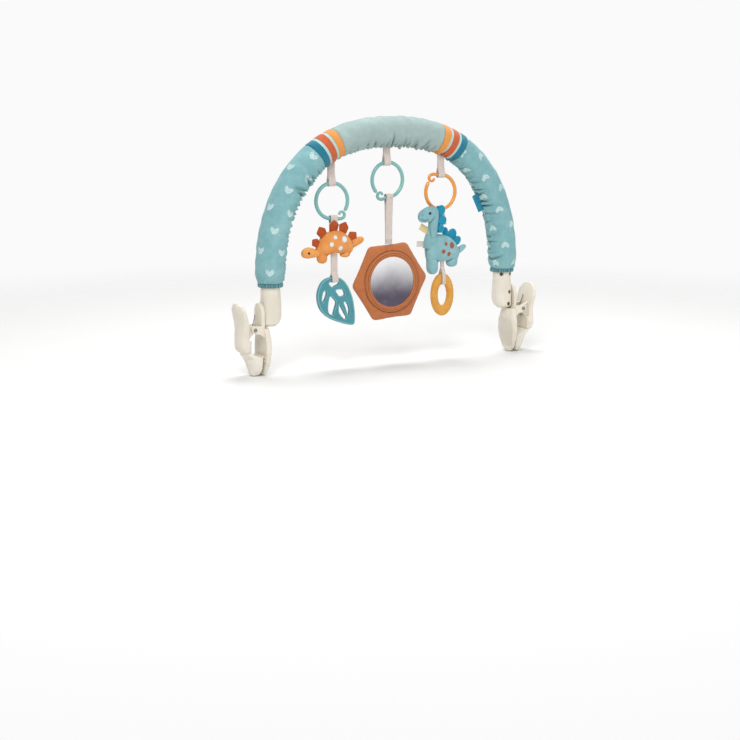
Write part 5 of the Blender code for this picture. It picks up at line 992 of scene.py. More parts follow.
def build_clips():
    moulded = {
        "housing_front": ("arch", IVORY, 0.0005, 4),
        "housing_back": ("arch", IVORY, 0.0005, 4),
        "inner_jaw": ("clip", IVORY, 0.00055, 4),
        "outer_jaw": ("lever", IVORY, 0.00055, 4),
        "jaw_tip": ("lever", SOFT_IVORY, 0.0005, 3),
    }
    for side in ("right", "left"):
        for name, (body, finish, grain, passes) in moulded.items():
            node = f"{name}_{side}"
            rides = body if body == "arch" else f"{body}_{side}"
            mesh = moulded_copy(node, grain, passes)
            shape_jaw(mesh, name, 1 if side == "right" else -1)
            piece(node, mesh, finish, rides, [node])
        for node in ("jaw_pin", *[f"screw_{i}" for i in (1, 2, 3, 4)]):
            node = f"{node}_{side}"
            rides = "arch" if node.startswith("screw") else f"clip_{side}"
            made = loose(node_copy(node))
            mesh = worked(made, ("BEVEL", {"width": 0.00018, "segments": 2, "limit_method": "ANGLE", "angle_limit": math.radians(50)}))
            mesh.shade_smooth()
            mesh.set_sharp_from_angle(angle=math.radians(40))
            piece(node, mesh, SCREW if node.startswith("screw") else STEEL, rides, [node])
    build_springs()


JAW_BOTTOM_Z = -0.047
JAW_HALF_WIDTH = 0.0215
JAW_WIDTHS = ((0.0, 0.18), (0.03, 0.38), (0.11, 0.62), (0.28, 0.87), (0.50, 1.0), (0.72, 0.95), (0.88, 0.80), (1.0, 0.68))
JAW_TOP_Z = 0.0165
SEAM_Z = -0.012
PADDLE_INNER = ARCH_HALF_WIDTH + 0.0405
PADDLE_THICKNESS = 0.0132
PADDLE_ROUND = 0.0115


def shape_jaw(mesh, name, side):
    """Hollow the spoon of an inner jaw, round the paddle's lower corners above the soft tip, and mark painted shade in
    the creases and the hollow.
    """
    points, normals = points_of(mesh), normals_of(mesh)
    if name == "inner_jaw":
        place = (points[:, 2] - JAW_BOTTOM_Z) / (JAW_TOP_Z - JAW_BOTTOM_Z)
        half = JAW_HALF_WIDTH * np.interp(place, *np.array(JAW_WIDTHS).T)
        inside = half - np.abs(points[:, 1])
        depth = ease((inside - 0.0020) / 0.0022) * ease((place - 0.07) / 0.08) * (1 - ease((place - 0.78) / 0.12))
        depth *= -side * normals[:, 0] > 0.35
        points[:, 0] += side * 0.0017 * depth
    if name == "outer_jaw":
        high = np.clip((points[:, 2] - SEAM_Z + 0.0004) / PADDLE_ROUND, 0, 1)
        cut = np.where(points[:, 2] > SEAM_Z - 0.0008, 1 - np.sqrt(1 - (1 - high) ** 2), 0)
        out = np.clip((side * points[:, 0] - PADDLE_INNER) / PADDLE_THICKNESS, 0, 1)
        points[:, 0] -= side * 0.0060 * cut * out
        points[:, 1] *= 1 - 0.11 * cut
    put_points(mesh, points)
    # Painted shade in the moulding's creases, deeper in the inner jaw's hollow.
    mark_crease_shade(mesh, 500.0, 8)
    if name == "inner_jaw":
        marks = np.empty(len(points), np.float32)
        layer = mesh.attributes["fold"].data
        layer.foreach_get("value", marks)
        layer.foreach_set("value", np.maximum(marks, (0.55 * depth).astype(np.float32)))


HINGE_X = ARCH_HALF_WIDTH + 0.0310
HINGE_Z = 0.0200
SPRING_WIRE = 0.0006
SPRING_COIL = 0.0036
SPRING_TURNS = 4.5
SPRING_PITCH = 0.0021
SPRING_LEG = 0.019


def build_springs():
    """Torsion springs: one leg up the finger tab, the coil round the pin and one leg up the paddle."""
    tab = ARCH_HALF_WIDTH + 0.0145 + 0.0004 + 0.0070 + SPRING_WIRE + 0.0006
    share = SPRING_LEG / (0.0575 - HINGE_Z)
    paddle = ARCH_HALF_WIDTH + 0.0405 + 0.0088 * share**1.3 - SPRING_WIRE - 0.0006
    width = SPRING_PITCH * SPRING_TURNS
    coil = []
    for i in range(109):
        angle = math.pi + math.tau * SPRING_TURNS * i / 108
        y = -width / 2 + width * i / 108
        coil.append((HINGE_X + SPRING_COIL * math.cos(angle), y, HINGE_Z + SPRING_COIL * math.sin(angle)))
    top = HINGE_Z + SPRING_LEG
    path = [(tab, coil[0][1], top), (tab, coil[0][1], top - 0.004), *coil, (paddle - 0.0004, coil[-1][1], top - 0.004), (paddle, coil[-1][1], top)]
    for name, sign in (("right", 1), ("left", -1)):
        turned = [(sign * x, sign * y, z) for x, y, z in path]
        sizes = {"Thickness": SPRING_WIRE, "Sides": 10, "Finish": STEEL}
        along_path(WIRE, f"jaw_spring_{name}", [turned], sizes, f"clip_{name}", [f"jaw_spring_{name}"])


# Linking rings


def link_line(place, curl_angle, way):
    """From the free end right round the ring and into the curl, with the wire's thickness at each point."""
    def polar(angle, radius):
        return (place[0] + math.cos(angle) * radius, place[1] + math.sin(angle) * radius)

    ahead = (CURL_RADIUS + RING_WIRE - 0.0003) / RING_RADIUS
    start = curl_angle + way * ahead
    sweep = math.tau - ahead
    run_in = math.radians(30)
    points = []
    for i in range(96):
        x, z = polar(start + way * (sweep - run_in) * i / 95, RING_RADIUS)
        points.append((x, 0, z, RING_WIRE))
    for i in range(1, 12):
        share = i / 12
        reach = RING_RADIUS + CURL_RADIUS * (1 - math.cos(share * math.pi)) / 2
        x, z = polar(curl_angle - way * run_in * (1 - share), reach)
        points.append((x, 0, z, RING_WIRE * (1 - 0.14 * share)))
    middle = polar(curl_angle, RING_RADIUS)
    for i in range(33):
        share = i / 32
        angle = curl_angle + way * math.radians(235) * share
        reach = CURL_RADIUS + (CURL_END_RADIUS - CURL_RADIUS) * share
        points.append((middle[0] + math.cos(angle) * reach, 0, middle[1] + math.sin(angle) * reach, RING_WIRE * (0.86 - 0.16 * share)))
    for drop in (2, 3):
        x, y, z, thick = points[0]
        nx, ny, nz, near = points[1]
        length = math.hypot(nx - x, nz - z)
        cap = []
        for angle in (6, 22, 40, 58, 78):
            turn = math.radians(angle)
            off = thick * (1 - math.cos(turn)) / length
            cap.append((x + (nx - x) * off, 0, z + (nz - z) * off, thick * math.sin(turn)))
        points[:drop] = cap
        points.reverse()
    return points


def build_links():
    rings = (
        ("left", LEFT_RING, math.radians(-52.6), 1, MINT, "mint_plastic"),
        ("centre", CENTRE_RING, math.radians(-118), -1, MINT, "mint_plastic"),
        ("right", RIGHT_RING, math.radians(126), 1, GOLD, "orange_plastic"),
    )
    for side, place, curl, way, finish, slot in rings:
        sizes = {"Thickness": 1.0, "Sides": 22, "Finish": finish}
        along_path(WIRE, f"ring_{side}", [link_line(place, curl, way)], sizes, f"link_{side}", [f"ring_{side}"])


# Ribbons


def tape_rows(path, centre_x, width, thick=RIBBON_THICKNESS, seed=1, wave=0.00022):
    """Flat tape across X along a path of Y and Z, with soft edges and a little cockling."""
    path = smooth_path(path, 5)
    length = np.concatenate([[0], np.cumsum(np.hypot(*np.diff(path, axis=0).T))])
    s = np.linspace(0, length[-1], max(24, round(length[-1] / 0.0007)))
    path = np.stack([np.interp(s, length, path[:, k]) for k in (0, 1)], -1)
    ahead = np.gradient(path, axis=0)
    ahead /= np.linalg.norm(ahead, axis=1)[:, None]
    normal = np.stack([-ahead[:, 1], ahead[:, 0]], -1)
    section = [(a, b) for a, b in (
        (-1, 0), (-0.985, 0.72), (-0.90, 1), (-0.6, 0.92), (-0.2, 0.88), (0.2, 0.88), (0.6, 0.92), (0.90, 1), (0.985, 0.72),
        (1, 0), (0.985, -0.72), (0.90, -1), (0.6, -0.92), (0.2, -0.88), (-0.2, -0.88), (-0.6, -0.92), (-0.90, -1), (-0.985, -0.72))]
    chance = np.random.RandomState(seed)
    drift = np.sin(s * chance.uniform(160, 260) + chance.uniform(0, 6)) * wave
    rows = []
    for i in range(len(s)):
        ring = []
        for a, b in section:
            off = b * thick / 2 + drift[i] * a * 0.5
            edge = 1 + 0.012 * math.sin(s[i] * 900 + a)
            ring.append((centre_x + a * width / 2 * edge, path[i, 0] + normal[i, 0] * off, path[i, 1] + normal[i, 1] * off))
        rows.append(ring)
    return np.array(rows), list(s), width * 2 + thick * 2


def tape(name, path, centre_x, width, body, nodes, finish=None, seed=1, thick=RIBBON_THICKNESS):
    rows, along, girth = tape_rows(path, centre_x, width, thick, seed)
    mesh = mesh_from(skin(rows, False, along, girth), name, 70)
    return piece(name, mesh, finish or RIBBON, body, nodes)


def arc(centre, radius, start, end, count):
    turn = [start + (end - start) * i / count for i in range(count + 1)]
    return [(centre[0] + radius * math.cos(a), centre[1] + radius * math.sin(a)) for a in turn]


def ring_turn(offset, width):
    bend = RING_RADIUS - math.sqrt(RING_RADIUS**2 - (abs(offset) + width / 2) ** 2)
    return bend, RING_WIRE + bend / 2 + 0.0004 + RIBBON_THICKNESS / 2


def box_stitches(name, centre_x, z, y, width, height, body, thread=None):
    """Rectangle of stitches, on the front and the back of a ribbon."""
    rows = []
    for face in (-1, 1):
        a, b = width / 2 - 0.0012, height / 2
        corners = [(-a, -b), (a, -b), (a, b), (-a, b), (-a, -b)]
        line = smooth_path([(centre_x + p, face * y, z + q) for p, q in corners for _ in (0, 1)], 4)
        rows.append(line)
    sew(name, rows, thread or PALE_THREAD, body, 0.0015, 0.0011, 0.00016, 9)


def build_hangers():
    """Ribbon loops sewn into the arch's inner seam, each round the top of a ring."""
    hangers = (("left", -0.0985, LEFT_RING), ("centre", -0.0080, CENTRE_RING), ("right", 0.0840, RIGHT_RING))
    for side, x, place in hangers:
        bend, radius = ring_turn(x - place[0], RIBBON_WIDTH)
        wire_z = place[1] + RING_RADIUS - bend / 2
        s = float(np.interp(x, LINE_X, LINE_S))
        middle_x, middle_z, out_x, out_z = [float(v[0]) for v in arch_frame([s])]
        top = middle_z - (SLEEVE_RADIUS - 0.0030) / max(out_z, 0.5)
        above = wire_z + 3 * RING_WIRE
        edge = [(-RIBBON_SPREAD, top), (-RIBBON_SPREAD, above + 2 * RING_WIRE), (-(RIBBON_SPREAD + radius) / 2, above)]
        path = edge + arc((0, wire_z), radius, -math.pi, 0, 10) + [(-y, z) for y, z in reversed(edge)]
        tape(f"hanger_{side}", path, x, RIBBON_WIDTH, "arch", [f"hanger_{side}"], seed=len(side))
        box_stitches(f"hanger_stitches_{side}", x, above + 0.0052, 0.0016, RIBBON_WIDTH, 0.0030, "arch")


# Stuffed toys


def swelling(rows, origin, length, height, half_thickness, forward=0.0, sides=22):
    """Sewn and stuffed form along X, from rows of place, low, high and thickness shares."""
    rings = []
    for place, low, high, thick in smooth_path(rows, 3):
        x = origin[0] + length * place
        bottom, top = origin[1] + height * low, origin[1] + height * high
        ring = []
        for k in range(sides):
            angle = math.tau * k / sides
            c, s = math.cos(angle), math.sin(angle)
            y = math.copysign(abs(c) ** 0.95, c) * half_thickness * max(thick, 0.05)
            z = math.copysign(abs(s) ** 0.95, s) * (top - bottom) / 2
            ring.append((x, y - forward, (bottom + top) / 2 + z))
        rings.append(ring)
    return skin(rings)


def stub(x, low_z, high_z, half_width, half_thickness, lean=0.0, forward=0.0):
    """Stuffed leg with a rounded foot."""
    rings = []
    for place, size in smooth_path(((0.0, 0.26), (0.05, 0.58), (0.14, 0.82), (0.30, 0.96), (0.62, 1.0), (1.0, 0.96)), 3):
        z = low_z + (high_z - low_z) * place
        ring = []
        for k in range(20):
            angle = math.tau * k / 20
            ring.append((x + lean * (place - 1) + math.cos(angle) * half_width * size, math.sin(angle) * half_thickness * size - forward, z))
        rings.append(ring)
    return skin(rings)


def spike(start, length, radius, rise):
    """Stuffed tail, rounded at its end."""
    along = Vector((math.cos(rise), 0, math.sin(rise)))
    side = Vector((-math.sin(rise), 0, math.cos(rise)))
    rings = []
    for place, size in smooth_path(((-0.45, 0.9), (0.0, 1.0), (0.35, 0.98), (0.68, 0.88), (0.90, 0.64), (0.98, 0.36), (1.0, 0.12)), 3):
        middle = Vector(start) + along * length * place
        ring = []
        for k in range(18):
            angle = math.tau * k / 18
            ring.append(tuple(middle + (side * math.cos(angle) + Vector((0, 1, 0)) * math.sin(angle)) * radius * size))
        rings.append(ring)
    return skin(rings)


def gathered(*shapes):
    """Several closed shapes in one mesh, ready to be filled as one skin."""
    whole = bmesh.new()
    for shape in shapes:
        bmesh.ops.recalc_face_normals(shape, faces=shape.faces)
        part = bpy.data.meshes.new("part")
        shape.to_mesh(part)
        shape.free()
        whole.from_mesh(part)
        bpy.data.meshes.remove(part)
    mesh = bpy.data.meshes.new("whole")
    whole.to_mesh(mesh)
    whole.free()
    return mesh


def draw_seam(mesh, depth=0.00055, wide=0.0007, y=0.0):
    """Draw the edge seam in, where front and back cloth meet."""
    points, normals = points_of(mesh), normals_of(mesh)
    off = points[:, 1] - y
    points -= normals * (depth * np.exp(-((off / wide) ** 2)))[:, None]
    put_points(mesh, points)


def crumple(mesh, seed, depth=0.00035, size=150.0):
    """Small dents and creases that filling leaves in plush."""
    chance = np.random.RandomState(seed)
    points, normals = points_of(mesh), normals_of(mesh)
    lift = np.zeros(len(points))
    for i in range(14):
        way = chance.normal(size=3)
        way /= np.linalg.norm(way)
        lift += np.sin(points @ way * size * chance.uniform(0.5, 2.2) + chance.uniform(0, 6))
    put_points(mesh, points + normals * (lift * depth / 4)[:, None])


def edge_loops(mesh, y=0.0):
    """Closed lines in which a mesh meets the plane of its edge seam."""
    shape = bmesh.new()
    shape.from_mesh(mesh)
    found = bmesh.ops.bisect_plane(
        shape, geom=shape.verts[:] + shape.edges[:] + shape.faces[:], plane_co=(0, y, 0), plane_no=(0, 1, 0)
    )
    edges = [item for item in found["geom_cut"] if isinstance(item, bmesh.types.BMEdge)]
    near = {}
    for edge in edges:
        for vert in edge.verts:
            near.setdefault(vert, []).append(edge.other_vert(vert))
    loops, seen = [], set()
    for start in near:
        if start in seen or len(near[start]) != 2:
            continue
        line, here, before = [], start, None
        while here not in seen:
            seen.add(here)
            line.append(tuple(here.co))
            onward = [v for v in near[here] if v is not before and v not in seen]
            if not onward:
                break
            before, here = here, onward[0]
        if len(line) > 20:
            loops.append(np.array(line))
    shape.free()
    return loops


def even_line(line, step=0.0009, closed=True):
    """A line with points at even distances, a little smoothed."""
    line = np.asarray(line)
    if closed:
        line = np.concatenate([line, line[:1]])
    length = np.concatenate([[0], np.cumsum(np.linalg.norm(np.diff(line, axis=0), axis=1))])
    s = np.linspace(0, length[-1], max(8, round(length[-1] / step)))
    return np.stack([np.interp(s, length, line[:, k]) for k in range(3)], -1)


def edge_stitches(name, mesh, thread, body, seed, y=0.0, out=0.0):
    lines = [even_line(line) for line in edge_loops(mesh, y)]
    lines = sorted(lines, key=len)[-1:]
    if lines:
        sew(name, lines, thread, body, 0.0019, 0.0012, 0.00017, seed)


def tree_of(mesh):
    from mathutils.bvhtree import BVHTree

    shape = bmesh.new()
    shape.from_mesh(mesh)
    tree = BVHTree.FromBMesh(shape)
    shape.free()
    return tree


def face_of(tree, x, z, side=-1):
    """Point of a toy's front (or back) face at an X and Z."""
    hit = tree.ray_cast(Vector((x, side * 0.08, z)), Vector((0, -side, 0)))
    return hit[0] if hit[0] is not None else Vector((x, 0, z))


def sewn_eye(name, tree, x, z, radius, body, side, finish=None, proud=0.0):
    """Satin-stitched eye: a low dome of thread that follows the face."""
    rows = []
    for share, high in ((0.06, 1.0), (0.35, 0.97), (0.62, 0.86), (0.82, 0.62), (0.95, 0.3), (1.0, -0.2), (0.96, -0.9)):
        ring = []
        for k in range(28):
            angle = math.tau * k / 28
            dx, dz = math.cos(angle) * radius * share, math.sin(angle) * radius * share
            face = face_of(tree, x + dx, z + dz, side)
            ridge = 0.00005 * math.sin(k * 9 + share * 30)
            ring.append((x + dx, face.y + side * (0.00055 * high + ridge + proud), z + dz))
        rows.append(ring)
    if proud == 0.0:
        sewn_eye(name + "_glint", tree, x - 0.0006, z + 0.0008, 0.00034, body, side, PALE_THREAD, 0.0003)
    return piece(name, mesh_from(skin(rows), name, 80), finish or DARK_THREAD, body)


def laid_stitches(name, tree, lines, thread, body, thick=0.0002, side=-1):
    """Short lines of embroidery laid on a toy's face."""
    rows = []
    for line in lines:
        points = smooth_path([(x, z) for x, z in line], 6)
        rows.append([tuple(face_of(tree, x, z, side) + Vector((0, side * 0.0001, 0))) for x, z in points])
    sew(name, rows, thread, body, 0.0009, 0.0011, thick, 4)


def cut_out(outlines, half, bevel, y=0.0, steps=2, swell=0.0):
    """Flat piece cut to outlines of X and Z, the first its edge and the others its holes, with rounded edges."""
    curve = bpy.data.curves.new("cut", "CURVE")
    curve.dimensions = "2D"
    curve.fill_mode = "BOTH"
    curve.extrude = half - bevel
    curve.bevel_depth = bevel
    curve.bevel_resolution = steps
    curve.offset = -bevel
    for outline in outlines:
        spline = curve.splines.new("POLY")
        spline.points.add(len(outline) - 1)
        for point, (x, z) in zip(spline.points, outline):
            point.co = (x, z, 0, 1)
        spline.use_cyclic_u = True
    made = loose(curve)
    graph = bpy.context.evaluated_depsgraph_get()
    mesh = bpy.data.meshes.new_from_object(made.evaluated_get(graph))
    bpy.data.objects.remove(made, do_unlink=True)
    mesh.transform(Matrix(((1, 0, 0, 0), (0, 0, -1, y), (0, 1, 0, 0), (0, 0, 0, 1))))
    shape = bmesh.new()
    shape.from_mesh(mesh)
    bmesh.ops.remove_doubles(shape, verts=shape.verts, dist=0.000002)
    return mesh_from(shape, "cut", 50)


# Stegosaurus and the leaf teether below it

STEG_CHEST = (-0.1240, 0.1145)
STEG_LENGTH = 0.0595
STEG_HEIGHT = 0.0385
STEG_ROWS = (
    (0.0, 0.10, 0.25, 0.22),
    (0.04, 0.03, 0.44, 0.52),
    (0.17, 0.02, 0.78, 0.84),
    (0.34, 0.08, 0.95, 0.97),
    (0.53, 0.12, 1.0, 1.0),
    (0.71, 0.10, 0.95, 0.97),
    (0.86, 0.07, 0.78, 0.85),
    (0.95, 0.13, 0.56, 0.60),
    (1.0, 0.24, 0.40, 0.25),
)
STEG_HEAD_ROWS = (
    (0.0, 0.36, 0.60, 0.25),
    (0.06, 0.14, 0.80, 0.66),
    (0.30, 0.0, 1.0, 1.0),
    (0.56, 0.03, 0.97, 1.0),
    (0.78, 0.06, 0.82, 0.88),
    (1.0, 0.12, 0.72, 0.76),
    (1.12, 0.14, 0.70, 0.70),
)
PLATES = (
    (0.06, 0.90, -56, 0.0),
    (0.21, 1.10, -35, 0.0),
    (0.475, 1.14, -8, 0.0040),
    (0.73, 1.12, 12, 0.0),
    (0.93, 1.10, 36, 0.0),
)


def steg_back(place):
    rows = np.array(STEG_ROWS)
    high = float(np.interp(place, rows[:, 0], rows[:, 2]))
    return STEG_CHEST[0] + STEG_LENGTH * place, STEG_CHEST[1] + STEG_HEIGHT * high


def rounded(outline, steps=4, pull=0.16):
    """An outline with its corners eased: points crowd towards each corner and cut it short."""
    array = np.asarray(outline, float)
    out = []
    for i in range(len(array)):
        before, here, after = array[i - 1], array[i], array[(i + 1) % len(array)]
        first, last = here + (before - here) * pull, here + (after - here) * pull
        for k in range(steps + 1):
            t = k / steps
            out.append((1 - t) ** 2 * first + 2 * t * (1 - t) * here + t**2 * last)
    return np.array(out)


PAD_ROWS = ((0.25, 1.0), (0.55, 0.97), (0.78, 0.80), (0.86, 0.48), (0.92, 0.54), (0.985, 0.34))


def felt_pad(edge, y, half):
    """Padded felt form inside a rounded outline, with a sewn groove near its edge; y is a function of X and Z."""
    edge = np.asarray(edge, float)
    middle = edge.mean(axis=0)
    rows = []
    layers = [(share, -high) for share, high in PAD_ROWS] + [(1.0, 0.0)] + [(share, high) for share, high in reversed(PAD_ROWS)]
    for share, high in layers:
        ring = middle + (edge - middle) * share
        rows.append([(x, y(x, z) + high * half, z) for x, z in ring])
    return skin(rows)


def pad_stitches(name, edge, y, half, thread, body):
    edge = np.asarray(edge, float)
    middle = edge.mean(axis=0)
    sewn = middle + (edge - middle) * 0.88
    lines = [even_line([(x, y(x, z) + face * half * 0.56, z) for x, z in sewn], 0.0006) for face in (-1, 1)]
    sew(name, lines, thread, body, 0.0018, 0.0013, 0.00020, 6)


def felt_plate(name, place, size, lean, bent, body):
    """Five-cornered back plate, sewn into the seam; one bends forward over the ribbon."""
    x, z = steg_back(place)
    width, height = 0.0125 * size * 1.16, 0.0122 * size * 1.12
    outline = [(-width * 0.36, -0.0022), (width * 0.36, -0.0022), (width * 0.5, height * 0.5), (width * 0.1, height), (-width * 0.5, height * 0.62)]
    turn = math.radians(-lean)
    c, s = math.cos(turn), math.sin(turn)
    edge = rounded([(x + a * c - b * s, z + a * s + b * c) for a, b in outline])
    half = 0.0014

    def depth(px, pz):
        up = ((pz - z) * c - (px - x) * s) / height
        return -0.0013 - bent * float(ease(up / 0.6))

    pad = mesh_from(felt_pad(edge, depth, half), name, 80)
    made = worked(loose(pad), ("SUBSURF", {"levels": 1, "render_levels": 1}))
    made.shade_smooth()
    points = points_of(made)
    across = (points[:, 0] - x) * c + (points[:, 2] - z) * s
    middle = np.array([depth(px, pz) for px, _, pz in points])
    points[:, 1] -= 0.0005 * np.exp(-((across / (width * 0.16)) ** 2)) * (points[:, 1] < middle)
    put_points(made, points)
    pad_stitches(f"{name}_stitches", edge, depth, half, RUST_THREAD, body)
    return piece(name, made, PLATE_FELT, body, ["stegosaurus_body"], 0.4)


def build_stegosaurus():
    body = "stegosaurus"
    chest_x, belly = STEG_CHEST
    high = belly + STEG_HEIGHT * 0.30
    shapes = [
        swelling(STEG_ROWS, STEG_CHEST, STEG_LENGTH, STEG_HEIGHT, 0.0122),
        spike((chest_x + STEG_LENGTH * 0.95, 0, belly + STEG_HEIGHT * 0.43), 0.0226, 0.0060, math.radians(22)),
        stub(chest_x + STEG_LENGTH * 0.16, 0.1060, high, 0.0081, 0.0080, -0.0006),
        stub(chest_x + STEG_LENGTH * 0.80, 0.1128, high, 0.0081, 0.0080, 0.0006),
    ]
    mesh = stuffed_copy(gathered(*shapes), 0.0011, 0.0007)
    crumple(mesh, 41, 0.00030)
    draw_seam(mesh)
    nodes = ["stegosaurus_body", "stegosaurus_front_leg", "stegosaurus_rear_leg"]
    piece("stegosaurus_plush", mesh, STEG_PLUSH, body, nodes, 0.85)
    edge_stitches("stegosaurus_seam_stitches", mesh, ORANGE_THREAD, body, 5)
    head = swelling(STEG_HEAD_ROWS, (-0.1460, 0.1142), 0.0265, 0.016, 0.0073)
    mesh = stuffed_copy(gathered(head), 0.0008, 0.0004)
    crumple(mesh, 42, 0.00014, 220.0)
    draw_seam(mesh, 0.0004, 0.0005)
    piece("stegosaurus_head", mesh, HEAD_PLUSH, body, ["stegosaurus_head"], 0.85)
    edge_stitches("stegosaurus_head_stitches", mesh, ORANGE_THREAD, body, 8)
    tree = tree_of(mesh)
    for side, name in ((-1, "front"), (1, "back")):
        sewn_eye(f"stegosaurus_eye_{name}", tree, -0.1378, 0.1224, 0.0018, body, side)
    for i, plate in enumerate(PLATES):
        felt_plate(f"stegosaurus_plate_{i + 1}", *plate, body)
    offset = -0.0953 - LEFT_RING[0]
    bend, radius = ring_turn(offset, RIBBON_WIDTH)
    wire_z = LEFT_RING[1] - RING_RADIUS + bend / 2
    foot = steg_back((-0.0953 - chest_x) / STEG_LENGTH)[1] - 0.0008
    near = wire_z - min(3 * RING_WIRE, wire_z - foot - RING_WIRE)
    half = (RIBBON_SPREAD + radius) / 2
    behind = 0.0014
    path = [(behind - RIBBON_SPREAD, foot), (behind - RIBBON_SPREAD, (foot + near) / 2), (-half, near)]
    path += arc((0, wire_z), radius, math.pi, 0, 10)
    path += [(half, near), (behind + RIBBON_SPREAD, (foot + near) / 2), (behind + RIBBON_SPREAD, foot)]
    tape("stegosaurus_loop", path, -0.0953, RIBBON_WIDTH, body, ["stegosaurus_loop"], seed=4)


LEAF_X = -0.1230
LEAF_Z = 0.0142
LEAF_WIDTH = 0.0617
LEAF_HEIGHT = 0.072
LEAF_EDGE = (
    (0.40, 1.0), (0.16, 0.93), (0.02, 0.73), (0.02, 0.49), (0.14, 0.29), (0.36, 0.15), (0.65, 0.05),
    (0.87, 0.0), (0.97, 0.01), (1.0, 0.09), (0.99, 0.32), (0.92, 0.60), (0.77, 0.85), (0.60, 0.97),
)
LEAF_WINDOWS = (
    ((0.31, 0.86), (0.34, 0.905), (0.56, 0.905), (0.59, 0.86), (0.47, 0.815), (0.40, 0.78)),
    ((0.48, 0.72), (0.53, 0.735), (0.66, 0.735), (0.71, 0.70), (0.735, 0.61), (0.62, 0.59), (0.57, 0.61)),
    ((0.18, 0.72), (0.23, 0.725), (0.26, 0.68), (0.22, 0.58), (0.165, 0.49), (0.125, 0.55), (0.15, 0.67)),
    ((0.34, 0.61), (0.38, 0.60), (0.495, 0.50), (0.50, 0.45), (0.435, 0.29), (0.42, 0.215), (0.31, 0.265), (0.285, 0.35), (0.30, 0.50)),
    ((0.57, 0.42), (0.60, 0.425), (0.695, 0.275), (0.785, 0.145), (0.735, 0.115), (0.63, 0.20), (0.57, 0.28)),
    ((0.695, 0.475), (0.755, 0.48), (0.82, 0.41), (0.85, 0.30), (0.84, 0.19), (0.805, 0.205), (0.755, 0.35)),
)


def leaf_points(shares):
    return [(LEAF_X + LEAF_WIDTH * a, LEAF_Z + LEAF_HEIGHT * b) for a, b in shares]


def shifted(outline, distance):
    """An outline moved along its own normals; a positive distance makes it smaller."""
    array = np.asarray(outline, float)
    ahead = np.roll(array, -1, axis=0) - np.roll(array, 1, axis=0)
    normal = np.column_stack([-ahead[:, 1], ahead[:, 0]])
    normal /= np.linalg.norm(normal, axis=1)[:, None]
    area = np.sum(array[:, 0] * np.roll(array[:, 1], -1) - np.roll(array[:, 0], -1) * array[:, 1])
    return array + normal * distance * (1 if area > 0 else -1)


def rim_band(outline, inset, half_wide, half_deep, sides=10):
    """Raised oval bead that follows an outline."""
    line = shifted(outline, inset)
    ahead = np.roll(line, -1, axis=0) - np.roll(line, 1, axis=0)
    ahead /= np.linalg.norm(ahead, axis=1)[:, None]
    rows = []
    for (x, z), (ax, az) in zip(line, ahead):
        ring = []
        for k in range(sides):
            angle = math.tau * k / sides
            off = math.cos(angle) * half_wide
            ring.append((x - az * off, math.sin(angle) * half_deep, z + ax * off))
        rows.append(ring)
    return skin(rows, True)


def build_leaf():
    """Leaf teether: a rubber plate with six windows, and a bead round its edge and each window."""
    edge = smooth_path(leaf_points(LEAF_EDGE), 8, True)
    windows = [rounded(leaf_points(window), 5, 0.34) for window in LEAF_WINDOWS]
    plate = cut_out([edge, *windows], 0.0024, 0.0007)
    shapes = []
    base = bmesh.new()
    base.from_mesh(plate)
    shapes.append(base)
    shapes.append(rim_band(even_ring(edge, 0.0008), 0.0014, 0.0013, 0.0034))
    for window in windows:
        shapes.append(rim_band(even_ring(window, 0.0006), -0.00075, 0.0009, 0.0034))
    made = loose(gathered(*shapes))
    mesh = worked(
        made,
        ("REMESH", {"mode": "VOXEL", "voxel_size": 0.00042, "adaptivity": 0.0}),
        ("SMOOTH", {"factor": 0.5, "iterations": 4}),
        ("DECIMATE", {"ratio": 0.45}),
    )
    mesh.shade_smooth()
    piece("leaf_teether", mesh, LEAF_RUBBER, "leaf", ["leaf_teether"])
    hanging_tape("leaf_ribbon", "leaf", -0.0943, RIBBON_WIDTH * 0.92, 0.1188, LEAF_Z + LEAF_HEIGHT * 0.9525, LEAF_HEIGHT * 0.095, 0.0072)


def even_ring(outline, step):
    line = even_line([(x, 0, z) for x, z in outline], step)
    return [(p[0], p[2]) for p in line[:-1]]


def hanging_tape(name, lower, x, width, top_z, bar_z, bar_height, bar_depth):
    """Doubled ribbon from a seam down round the top bar of a teether."""
    off = 0.0003 + RIBBON_THICKNESS / 2
    corner = (-bar_depth / 2, bar_z - bar_height / 2)
    high = bar_z + bar_height / 2
    edge = [(-RIBBON_SPREAD, top_z), (-RIBBON_SPREAD, (top_z + high) / 2), (-RIBBON_SPREAD, high + bar_depth * 0.8), (corner[0] - off, high - bar_height * 0.2)]
    edge += arc(corner, off, math.pi, 1.5 * math.pi, 4)
    path = edge + [(-y, z) for y, z in reversed(edge)]
    rows, along, girth = tape_rows(path, x, width, RIBBON_THICKNESS, len(name))
    made = bpy.data.objects.new(name, mesh_from(skin(rows, False, along, girth), name, 70))
    bpy.context.scene.collection.objects.link(made)
    made.data.materials.append(RIBBON)
    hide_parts(name)
    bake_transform(made)
    middle = high + bar_depth * 0.8 + 0.003
    box_stitches(name + "_stitches", x, middle, RIBBON_SPREAD + 0.0006, width, 0.0024, lower)


# Mirror cushion

MIRROR_X = -0.0023
MIRROR_Z = 0.0739
HEX_RADIUS = 0.0640
HEX_TURN = math.radians(4)
CORNER_SHARE = 0.10
POUCH_HALF_DEPTH = 0.0085
MIRROR_RADIUS = 0.0385
VIEW_RADIUS = 0.0365
FRAME_OUTER = 0.0440
FRAME_HEIGHT = 0.0036
SEAT_Y = -POUCH_HALF_DEPTH + 0.0024 + 0.0010


